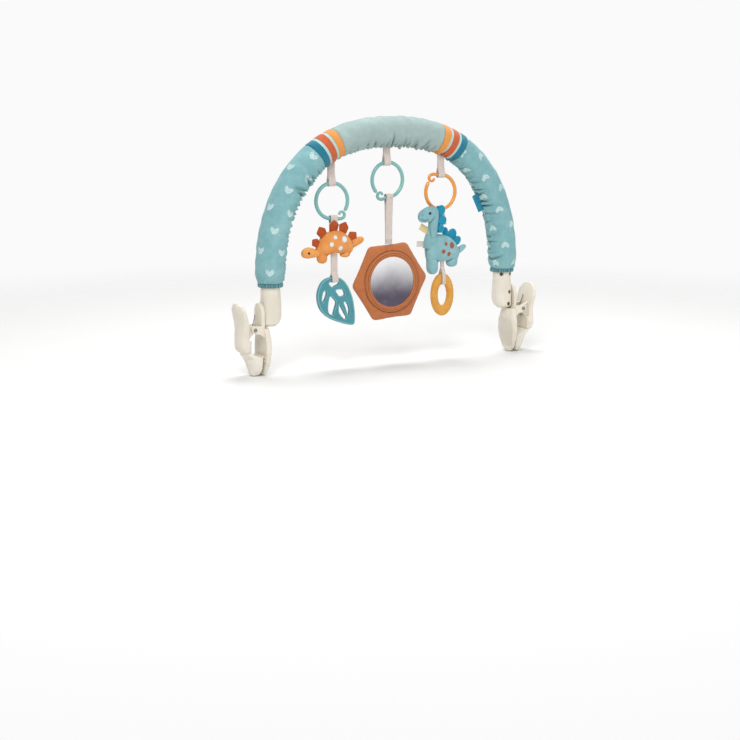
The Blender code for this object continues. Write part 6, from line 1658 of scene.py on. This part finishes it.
def hex_outline(scale, step=0.0012):
    """Outline of the cushion, with eased corners and sides drawn in a little between them."""
    corners = []
    for i in range(6):
        angle = math.radians(60 * i) + HEX_TURN
        corners.append((math.cos(angle), math.sin(angle)))
    edge = np.array(even_ring(rounded(corners, 6, CORNER_SHARE), step / HEX_RADIUS))
    turn = np.arctan2(edge[:, 1], edge[:, 0]) - HEX_TURN
    middle = np.abs(np.mod(turn, math.radians(60)) / math.radians(30) - 1)
    drawn = 1 - 0.012 * (1 - middle**2) * (scale > 0.8)
    return edge * (HEX_RADIUS * scale * drawn)[:, None]


def pouch_mesh():
    """Cushion cloth on both sides of a drawn-in seam, before it is filled."""
    rows = []
    profile = [(0.02, 1.05), (0.25, 1.05), (0.5, 1.03), (0.70, 0.98), (0.82, 0.82), (0.90, 0.62), (0.96, 0.38), (0.99, 0.18), (1.0, 0.05)]
    full = [(scale, deep) for scale, deep in profile]
    for scale, deep in full + [(scale, -deep) for scale, deep in reversed(full)]:
        edge = hex_outline(scale)
        round_share = ease(np.clip((0.86 - scale) / 0.4, 0, 1))
        radius = np.linalg.norm(edge, axis=1)[:, None]
        level = edge / radius * HEX_RADIUS * scale * 0.92
        edge = edge * (1 - round_share) + level * round_share
        rows.append([(MIRROR_X + x, deep * POUCH_HALF_DEPTH * 0.93, MIRROR_Z + z) for x, z in edge])
    return gathered(skin(rows))


def build_pouch():
    mesh = stuffed_copy(pouch_mesh(), 0.0013, 0.0007, 2.5)
    points = points_of(mesh)
    flat = points[:, [0, 2]] - np.array([MIRROR_X, MIRROR_Z])
    radius = np.linalg.norm(flat, axis=1)
    turn = np.arctan2(flat[:, 1], flat[:, 0])
    chance = np.random.RandomState(6)
    ripple = np.zeros(len(points))
    for i in range(9):
        ripple += np.sin(turn * chance.randint(9, 34) + chance.uniform(0, 6)) * chance.uniform(0.4, 1.0)
    outside = ease((radius - 0.043) / 0.004) * (1 - ease((radius - 0.0555) / 0.006))
    front = points[:, 1] < 0
    lift = ripple * 0.00018 * outside
    points[:, 1] += np.where(front, lift, -lift)
    drawn = 0.0011 * np.exp(-(((radius - 0.0452) / 0.0011) ** 2)) * front
    points[:, 1] += drawn
    pocket = ease((0.0418 - radius) / 0.0012) * front
    points[:, 1] = points[:, 1] * (1 - pocket) + (SEAT_Y + 0.0004) * pocket
    put_points(mesh, points)
    draw_seam(mesh, 0.0007, 0.0006)
    # Painted shade in the cushion's creases.
    mark_crease_shade(mesh, 750.0)
    piece("mirror_pouch", mesh, POUCH_CLOTH, "mirror_toy", ["mirror_pouch"], 0.7)
    edge_stitches("mirror_pouch_stitches", mesh, RUST_THREAD, "mirror_toy", 12)


def build_frame():
    """Narrow padded ring over the mirror's rim, drawn in by two rows of stitches."""
    back = SEAT_Y - 0.0024 + 0.0006
    middle = (VIEW_RADIUS + FRAME_OUTER) / 2
    half = (FRAME_OUTER - VIEW_RADIUS) / 2
    chance = np.random.RandomState(8)
    waves = [(chance.randint(18, 90), chance.uniform(0, 6), chance.uniform(0.3, 1.0)) for _ in range(12)]
    section = [(math.cos(math.pi * i / 22), math.sin(math.pi * i / 22)) for i in range(23)]
    rows, along = [], []
    count = 420
    for i in range(count):
        angle = math.tau * i / count
        ripple = sum(math.sin(angle * n + off) * size for n, off, size in waves) / 4
        ring = []
        for across, up in section:
            groove = math.exp(-(((across - 0.38) / 0.13) ** 2)) + 0.8 * math.exp(-(((across + 0.42) / 0.13) ** 2))
            high = FRAME_HEIGHT * (up**0.7) * (1 - 0.25 * groove) + 0.00022 * ripple * up * (1 - 0.6 * groove)
            reach = middle + half * across * (1 + 0.015 * ripple * abs(across))
            ring.append((MIRROR_X + math.cos(angle) * reach, back - high, MIRROR_Z + math.sin(angle) * reach))
        for across in (-0.55, 0.0, 0.55):
            reach = middle + half * across
            ring.append((MIRROR_X + math.cos(angle) * reach, back + 0.0002, MIRROR_Z + math.sin(angle) * reach))
        rows.append(ring)
        along.append(angle * middle)
    along.append(math.tau * middle)
    made = mesh_from(skin(rows, True), "mirror_frame", 80)
    piece("mirror_frame", made, FRAME_CLOTH, "mirror_toy", ["mirror_frame"], 0.5)
    lines = []
    for across in (0.38, -0.42):
        reach = middle + half * across
        y = back - FRAME_HEIGHT * (1 - across**2) ** 0.35 * 0.75 - 0.00004
        line = [(MIRROR_X + math.cos(a) * reach, y, MIRROR_Z + math.sin(a) * reach) for a in np.linspace(0, math.tau, 200)[:-1]]
        lines.append(even_line(line, 0.0008))
    sew("mirror_frame_stitches", lines, RUST_THREAD, "mirror_toy", 0.0022, 0.0016, 0.00017, 14)


def build_mirror():
    build_pouch()
    build_frame()
    rows = []
    front = SEAT_Y - 0.0024
    for radius, y in ((0.2, SEAT_Y), (0.992, SEAT_Y), (1.0, SEAT_Y - 0.0003), (1.0, front + 0.0003), (0.992, front), (0.6, front), (0.2, front)):
        ring = []
        for k in range(160):
            angle = math.tau * k / 160
            ring.append((MIRROR_X + math.cos(angle) * MIRROR_RADIUS * radius, y, MIRROR_Z + math.sin(angle) * MIRROR_RADIUS * radius))
        rows.append(ring)
    piece("mirror_disc", mesh_from(skin(rows), "mirror_disc", 40), MIRROR, "mirror_toy", ["mirror_disc"])
    centre_x = -0.0043
    offset = centre_x - MIRROR_X
    foot = MIRROR_Z + HEX_RADIUS * math.cos(math.pi / 6) + abs(offset) * math.tan(HEX_TURN) - 0.0012
    toy_tape("mirror_strap", centre_x, RIBBON_WIDTH, CENTRE_RING, foot, "mirror_toy", 6, room=0.0003)
    box_stitches("mirror_strap_stitches", centre_x, foot + 0.0052, 0.0016, RIBBON_WIDTH, 0.0026, "mirror_toy", RUST_THREAD)


def toy_tape(name, x, width, ring_place, foot, body, seed, foot_y=0.0, room=0.0):
    """Ribbon from a toy's seam up round the bottom of its ring and down again."""
    bend, radius = ring_turn(x - ring_place[0], width)
    radius += room
    wire_z = ring_place[1] - RING_RADIUS + bend / 2
    near = wire_z - min(3 * RING_WIRE, wire_z - foot - RING_WIRE)
    half = (RIBBON_SPREAD + radius) / 2
    edge = [(foot_y - RIBBON_SPREAD, foot), (foot_y * 0.6 - RIBBON_SPREAD, (foot * 2 + near) / 3), (-half, near)]
    back = [(half, near), (foot_y * 0.6 + RIBBON_SPREAD, (foot * 2 + near) / 3), (foot_y + RIBBON_SPREAD, foot)]
    if near - foot < 0.006:
        del edge[1], back[1]
    path = edge + arc((0, wire_z), radius, math.pi, 0, 10) + back
    return tape(name, path, x, width, body, [name], seed=seed)


# Long-necked dinosaur and its oval teether

DINO_CHEST = (0.0598, 0.0950)
DINO_LENGTH = 0.0568
DINO_HEIGHT = 0.0458
NECK_X = 0.0650
NECK_LOW = 0.133
NECK_HIGH = 0.172
NECK_HALF = (0.0105, 0.0088)
HEAD_PLACE = (0.0384, 0.1587)
HEAD_LENGTH = 0.0326
HEAD_HEIGHT = 0.024
FORWARD = 0.0128
CREST_HALF = 0.0011
CREST_BAND = 0.0062
DINO_ROWS = (
    (0.0, 0.19, 0.88, 0.42),
    (0.06, 0.06, 0.97, 0.70),
    (0.18, 0.0, 1.0, 0.88),
    (0.36, 0.06, 0.99, 0.96),
    (0.53, 0.08, 0.96, 1.0),
    (0.69, 0.07, 0.88, 0.97),
    (0.83, 0.06, 0.74, 0.87),
    (0.94, 0.12, 0.57, 0.62),
    (1.0, 0.25, 0.44, 0.28),
)
DINO_NECK_ROWS = ((-0.35, 1.0, 1.0), (0.0, 1.0, 1.0), (0.22, 0.85, 0.93), (0.48, 0.73, 0.86), (0.72, 0.71, 0.86), (1.0, 0.72, 0.80))
DINO_HEAD_ROWS = (
    (0.0, 0.29, 0.47, 0.32),
    (0.08, 0.08, 0.66, 0.70),
    (0.27, 0.0, 0.84, 0.92),
    (0.50, 0.02, 0.97, 1.0),
    (0.73, 0.08, 1.0, 1.0),
    (0.90, 0.20, 0.93, 0.83),
    (1.0, 0.35, 0.76, 0.45),
)
NECK_LOBES = ((0.14, 0.14, 0.5), (0.455, 0.165, 1.0), (0.815, 0.185, 0.62))
NECK_PETALS = ((0.0775, 0.1495, 0.0050, 0.0062, 0), (0.0800, 0.1612, 0.0072, 0.0070, 0), (0.0778, 0.1765, 0.0066, 0.0072, 8))
BACK_PETALS = ((0.0928, 0.1415, 0.0052, 0.0082, 4), (0.1050, 0.1382, 0.0078, 0.0090, -24), (0.1135, 0.1285, 0.0062, 0.0078, -42))


def forward_at(z):
    share = (z - NECK_LOW) / (NECK_HIGH - NECK_LOW)
    return FORWARD * min(1.0, max(0.0, 0.35 + 0.85 * share))


def neck_shape():
    rings = []
    for place, wide, thick in smooth_path(DINO_NECK_ROWS, 4):
        z = NECK_LOW + (NECK_HIGH - NECK_LOW) * place
        forward = forward_at(z) if place > 0 else FORWARD * 0.35 * (1 + place / 0.35)
        ring = []
        for k in range(22):
            angle = math.tau * k / 22
            ring.append((NECK_X + math.cos(angle) * NECK_HALF[0] * wide, math.sin(angle) * NECK_HALF[1] * thick * 0.97 - forward, z))
        rings.append(ring)
    return skin(rings)


def neck_base(share):
    low = DINO_CHEST[1] + DINO_HEIGHT
    high = HEAD_PLACE[1] + HEAD_HEIGHT * 1.1
    return np.array([NECK_X + NECK_HALF[0] * 0.73 + CREST_BAND, low + (high - low) * share]), np.array([1.0, 0.0])


def crest_strip(base, lobes, sink):
    """Strip of felt between a seam and its petals."""
    first, last = lobes[0], lobes[-1]
    ends = []
    for share in np.linspace(first[0] - first[1] * 0.7, last[0] + last[1] * 0.7, 9):
        point, out = base(share)
        ends.append((point, out))
    outline = [point + out * 0.0012 for point, out in ends] + [point - out * sink for point, out in reversed(ends)]
    return [(p[0], p[1]) for p in outline]


def flat_depth(y, px, pz):
    return y


def felt_crest(name, petals, strip, y):
    """Felt crest: overlapping padded petals along a strip, with pale stitches inside each edge."""
    shapes, rims = [], []
    if strip:
        base = bmesh.new()
        base.from_mesh(cut_out([strip], 0.0008, 0.0003, y, 2))
        shapes.append(base)
    for i, (x, z, half_x, half_z, lean) in enumerate(petals):
        turn = math.radians(lean)
        c, s = math.cos(turn), math.sin(turn)
        edge = []
        for k in range(34):
            angle = math.tau * k / 34
            a, b = math.cos(angle) * half_x, math.sin(angle) * half_z
            edge.append((x + a * c - b * s, z + a * s + b * c))
        place = y - 0.0004 + 0.0005 * (i % 2)
        flat = partial(flat_depth, place)
        shapes.append(felt_pad(edge, flat, 0.00155))
        rims.append((edge, flat))
    mesh = worked(
        loose(gathered(*shapes)),
        ("REMESH", {"mode": "VOXEL", "voxel_size": 0.00038, "adaptivity": 0.0}),
        ("SMOOTH", {"factor": 0.5, "iterations": 2}),
        ("DECIMATE", {"ratio": 0.5}),
    )
    crumple(mesh, len(name), 0.00008, 260.0)
    mesh.shade_smooth()
    piece(name, mesh, CREST_FELT, "dinosaur", [name], 0.3)
    for i, (edge, flat) in enumerate(rims):
        pad_stitches(f"{name}_stitches_{i + 1}", edge, flat, 0.00155, PALE_BLUE_THREAD, "dinosaur")


def folded_tag(name, right_x, centre_z, width, reach, turn, y, finish, body):
    """Folded tape: two layers that meet in a round fold at the free end."""
    thick = 0.00055
    half = 0.00042
    path = [(0.0015, -half), (-reach * 0.5, -half - 0.00010), (-reach + 0.0008, -half)]
    path += arc((-reach + 0.0006, 0), half, 1.5 * math.pi, 0.5 * math.pi, 6)
    path += [(-reach + 0.0008, half), (-reach * 0.5, half + 0.00010), (0.0015, half)]
    rows, along, girth = tape_rows(path, 0, width, thick, len(name), 0.0001)
    c, s = math.cos(turn), math.sin(turn)
    turned = []
    for ring in rows:
        turned.append([(right_x + p[1] * c - p[0] * s, y + p[2], centre_z + p[1] * s + p[0] * c) for p in ring])
    mesh = mesh_from(skin(turned, False, along, girth), name, 70)
    return piece(name, mesh, finish, body, [name])


def build_dinosaur():
    body = "dinosaur"
    chest_x, belly = DINO_CHEST
    high = belly + DINO_HEIGHT * 0.32
    shapes = [
        swelling(DINO_ROWS, DINO_CHEST, DINO_LENGTH, DINO_HEIGHT, 0.0122),
        spike((chest_x + DINO_LENGTH * 0.95, 0, belly + DINO_HEIGHT * 0.37), 0.0180, 0.0051, math.radians(31)),
        stub(0.0703, 0.0798, high, 0.0094, 0.0086, -0.0004),
        stub(0.1052, 0.0893, high, 0.0094, 0.0086, 0.0006),
    ]
    mesh = stuffed_copy(gathered(*shapes), 0.0011, 0.0007)
    crumple(mesh, 51, 0.00030)
    draw_seam(mesh)
    nodes = ["dinosaur_body", "dinosaur_front_leg", "dinosaur_rear_leg"]
    piece("dinosaur_plush", mesh, DINO_PLUSH, body, nodes, 0.85)
    edge_stitches("dinosaur_seam_stitches", mesh, BLUE_THREAD, body, 15)
    head = swelling(DINO_HEAD_ROWS, HEAD_PLACE, HEAD_LENGTH, HEAD_HEIGHT, 0.0074, FORWARD)
    mesh = stuffed_copy(gathered(neck_shape(), head), 0.0009, 0.0006)
    crumple(mesh, 52, 0.00022, 190.0)
    draw_seam(mesh, 0.0004, 0.0006, -FORWARD)
    piece("dinosaur_neck_head", mesh, NECK_PLUSH, body, ["dinosaur_neck_head"], 0.85)
    edge_stitches("dinosaur_head_stitches", mesh, BLUE_THREAD, body, 16, -FORWARD)
    tree = tree_of(mesh)
    for side, name in ((-1, "front"), (1, "back")):
        sewn_eye(f"dinosaur_eye_{name}", tree, 0.0542, 0.1726, 0.0022, body, side)
    face = [[(0.0424, 0.1712), (0.0430, 0.1704)], [(0.0412, 0.1648), (0.0440, 0.1628), (0.0476, 0.1622), (0.0508, 0.1642)]]
    for side, name in ((-1, "front"), (1, "back")):
        laid_stitches(f"dinosaur_face_stitches_{name}", tree, face, DARK_THREAD, body, 0.00034, side)
    strip = crest_strip(neck_base, NECK_LOBES, CREST_BAND + NECK_HALF[0] / 4)
    felt_crest("dinosaur_neck_crest", NECK_PETALS, strip, -FORWARD)
    felt_crest("dinosaur_back_crest", BACK_PETALS, None, 0.0)
    foot = RIGHT_RING[1] - RING_RADIUS - 2 * RIBBON_WIDTH
    leaning_tape("dinosaur_loop", 0.0840, 0.008, RIGHT_RING, foot, -FORWARD + CREST_HALF + 0.0003 + RIBBON_THICKNESS / 2 + RIBBON_SPREAD, body)
    cream_y = -forward_at(0.1462)
    folded_tag("cream_tag", NECK_X - NECK_HALF[0] * 0.8, 0.1462, 0.0098, 0.0142, math.radians(-30), cream_y, CREAM_TAPE, body)
    folded_tag("white_tag", chest_x + DINO_LENGTH * 0.01, 0.1258, 0.0085, 0.0165, math.radians(-3), 0.0, WHITE_TAPE, body)
    build_oval()


def leaning_tape(name, x, width, ring_place, foot_z, foot_y, body):
    """Ribbon loop that leans from its seam behind the neck to the ring."""
    bend, radius = ring_turn(x - ring_place[0], width)
    wire = (0.0, ring_place[1] - RING_RADIUS + bend / 2)
    lean = math.atan2(foot_y, wire[1] - foot_z)
    length = math.hypot(foot_y, wire[1] - foot_z)
    down, side = (math.sin(lean), -math.cos(lean)), (math.cos(lean), math.sin(lean))

    def at(far, wide):
        return (wire[0] + down[0] * far + side[0] * wide, wire[1] + down[1] * far + side[1] * wide)

    near = min(3 * RING_WIRE, length - RING_WIRE)
    half = (RIBBON_SPREAD + radius) / 2
    path = [at(length, -RIBBON_SPREAD), at((length + near) / 2, -RIBBON_SPREAD * 1.3), at(near, -half)]
    path += arc(wire, radius, math.pi + lean, lean, 10)
    path += [at(near, half), at((length + near) / 2, RIBBON_SPREAD * 1.3), at(length, RIBBON_SPREAD)]
    return tape(name, path, x, width, body, [name], seed=9)


OVAL_X = 0.0882
OVAL_Z = 0.0488


def build_oval():
    """Oval teether: a smooth closed ring with a soft, slightly flat section."""
    rows = []
    for i in range(140):
        angle = math.tau * i / 140
        c, s = math.cos(angle), math.sin(angle)
        inner = np.array([0.0086 * c, 0.0162 * s])
        outer = np.array([0.0193 * c, 0.0322 * s])
        middle = (inner + outer) / 2
        way = (outer - inner) / np.linalg.norm(outer - inner)
        half = np.linalg.norm(outer - inner) / 2
        ring = []
        for k in range(26):
            turn = math.tau * k / 26
            a = math.copysign(abs(math.cos(turn)) ** 0.72, math.cos(turn)) * half
            b = math.copysign(abs(math.sin(turn)) ** 0.72, math.sin(turn)) * 0.00475
            ring.append((OVAL_X + middle[0] + way[0] * a, b, OVAL_Z + middle[1] + way[1] * a))
        rows.append(ring)
    piece("oval_teether", mesh_from(skin(rows, True), "oval_teether", 80), OVAL_RUBBER, "oval", ["oval_teether"])
    hanging_tape("oval_ribbon", "oval", OVAL_X, 0.0058, 0.0989, OVAL_Z + 0.0247, 0.0163, 0.0097)


# Arch tag


def build_arch_tag():
    """Plain blue tag folded over the sleeve's inner seam."""
    s = 0.2115
    middle_x, middle_z, out_x, out_z = [float(v[0]) for v in arch_frame([s])]
    along_x, along_z = out_z, -out_x
    width = 0.027
    thick = 0.0006
    half = 0.00045
    low = SLEEVE_RADIUS - 0.0022
    high = SLEEVE_RADIUS + 0.0095
    path = [(low, -half), ((low + high) / 2, -half - 0.0001), (high - 0.0008, -half)]
    path += arc((high - 0.0006, 0), half, 1.5 * math.pi, 2.5 * math.pi, 6)
    path += [(high - 0.0008, half), ((low + high) / 2, half + 0.0001), (low, half)]
    rows, along, girth = tape_rows(path, 0, width, thick, 3, 0.0002)
    placed = []
    for ring in rows:
        placed.append([(middle_x - out_x * p[1] + along_x * p[0], p[2], middle_z - out_z * p[1] + along_z * p[0]) for p in ring])
    mesh = mesh_from(skin(placed, False, along, girth), "arch_tag", 70)
    piece("arch_tag", mesh, BLUE_TAPE, "arch", ["arch_tag"])


# Studio: pale floor, soft lamps and the photograph's camera

FLOOR_Z = -0.0475
FLOOR_REACH = 1.6


def studio_floor():
    """Wide pale floor that fades into the background before its edge."""
    made = Finish("studio floor")
    place = made.place()
    x, y = made.axis(place, "X"), made.axis(place, "Y")
    far = made.worked("SQRT", x * x + y * y)
    grain = made.noise(place, 14.0, 3.0)
    base = made.mix(grain * 0.5, paint("F2F1EF"), paint("EDECEA"))
    made.done(base, 0.85 + grain * 0.1)
    clear = made.tree.nodes.new("ShaderNodeBsdfTransparent")
    blend = made.tree.nodes.new("ShaderNodeMixShader")
    made.connect(blend.inputs[0], far.between(0.45, FLOOR_REACH * 0.9))
    made.tree.links.new(made.shader.outputs[0], blend.inputs[1])
    made.tree.links.new(clear.outputs[0], blend.inputs[2])
    made.tree.links.new(blend.outputs[0], made.tree.nodes["Material Output"].inputs["Surface"])
    shape = bmesh.new()
    bmesh.ops.create_circle(shape, cap_ends=True, segments=64, radius=FLOOR_REACH)
    mesh = bpy.data.meshes.new("studio_floor")
    shape.to_mesh(mesh)
    shape.free()
    floor = loose(mesh, "studio_floor")
    floor.location.z = FLOOR_Z
    floor.data.materials.append(made.material)


def studio_lamp(name, place, width, power):
    lamp = bpy.data.lights.new(name, "AREA")
    lamp.shape = "DISK"
    lamp.size = width
    lamp.energy = power
    made = bpy.data.objects.new(name, lamp)
    made.location = place
    aim = Vector((0, 0, 0.14)) - Vector(place)
    made.rotation_euler = aim.to_track_quat("-Z", "Y").to_euler()
    bpy.context.scene.collection.objects.link(made)


def studio_world():
    """Even white light; the camera sees it as the white page behind the toy."""
    world = bpy.data.worlds.new("studio")
    world.use_nodes = True
    bpy.context.scene.world = world
    tree = world.node_tree
    light = tree.nodes["Background"]
    light.inputs["Color"].default_value = paint("F4F6FA")
    light.inputs["Strength"].default_value = 0.42
    page = tree.nodes.new("ShaderNodeBackground")
    page.inputs["Color"].default_value = paint("FAFAFA")
    rays = tree.nodes.new("ShaderNodeLightPath")
    either = tree.nodes.new("ShaderNodeMath")
    either.operation = "MAXIMUM"
    seen = tree.nodes.new("ShaderNodeMath")
    seen.operation = "MAXIMUM"
    blend = tree.nodes.new("ShaderNodeMixShader")
    tree.links.new(rays.outputs["Is Camera Ray"], either.inputs[0])
    tree.links.new(rays.outputs["Is Transmission Ray"], either.inputs[1])
    tree.links.new(either.outputs[0], seen.inputs[0])
    tree.links.new(rays.outputs["Is Glossy Ray"], seen.inputs[1])
    tree.links.new(seen.outputs[0], blend.inputs[0])
    tree.links.new(light.outputs[0], blend.inputs[1])
    tree.links.new(page.outputs[0], blend.inputs[2])
    tree.links.new(blend.outputs[0], tree.nodes["World Output"].inputs["Surface"])


def photo_camera():
    """The photograph's own angle and lens."""
    data = bpy.data.cameras.new("camera")
    data.sensor_width = 36
    data.lens = 72.97
    data.clip_start = 0.05
    data.clip_end = 20
    camera = bpy.data.objects.new("camera", data)
    camera.location = (-1.0900, -1.9028, 0.3446)
    camera.rotation_euler = Vector((0.4768, 0.8602, -0.1810)).to_track_quat("-Z", "Y").to_euler()
    bpy.context.scene.collection.objects.link(camera)
    bpy.context.scene.camera = camera
    bpy.context.scene.view_settings.view_transform = "Standard"


build_arch()
build_arch_tag()
build_clips()
build_links()
build_hangers()
build_stegosaurus()
build_leaf()
build_mirror()
build_dinosaur()
studio_floor()
studio_lamp("key", (-1.0, -1.3, 1.5), 1.1, 26)
studio_lamp("fill", (1.3, -1.2, 0.5), 1.2, 6)
studio_lamp("top", (0.2, 0.4, 1.6), 0.9, 16)
studio_world()
photo_camera()
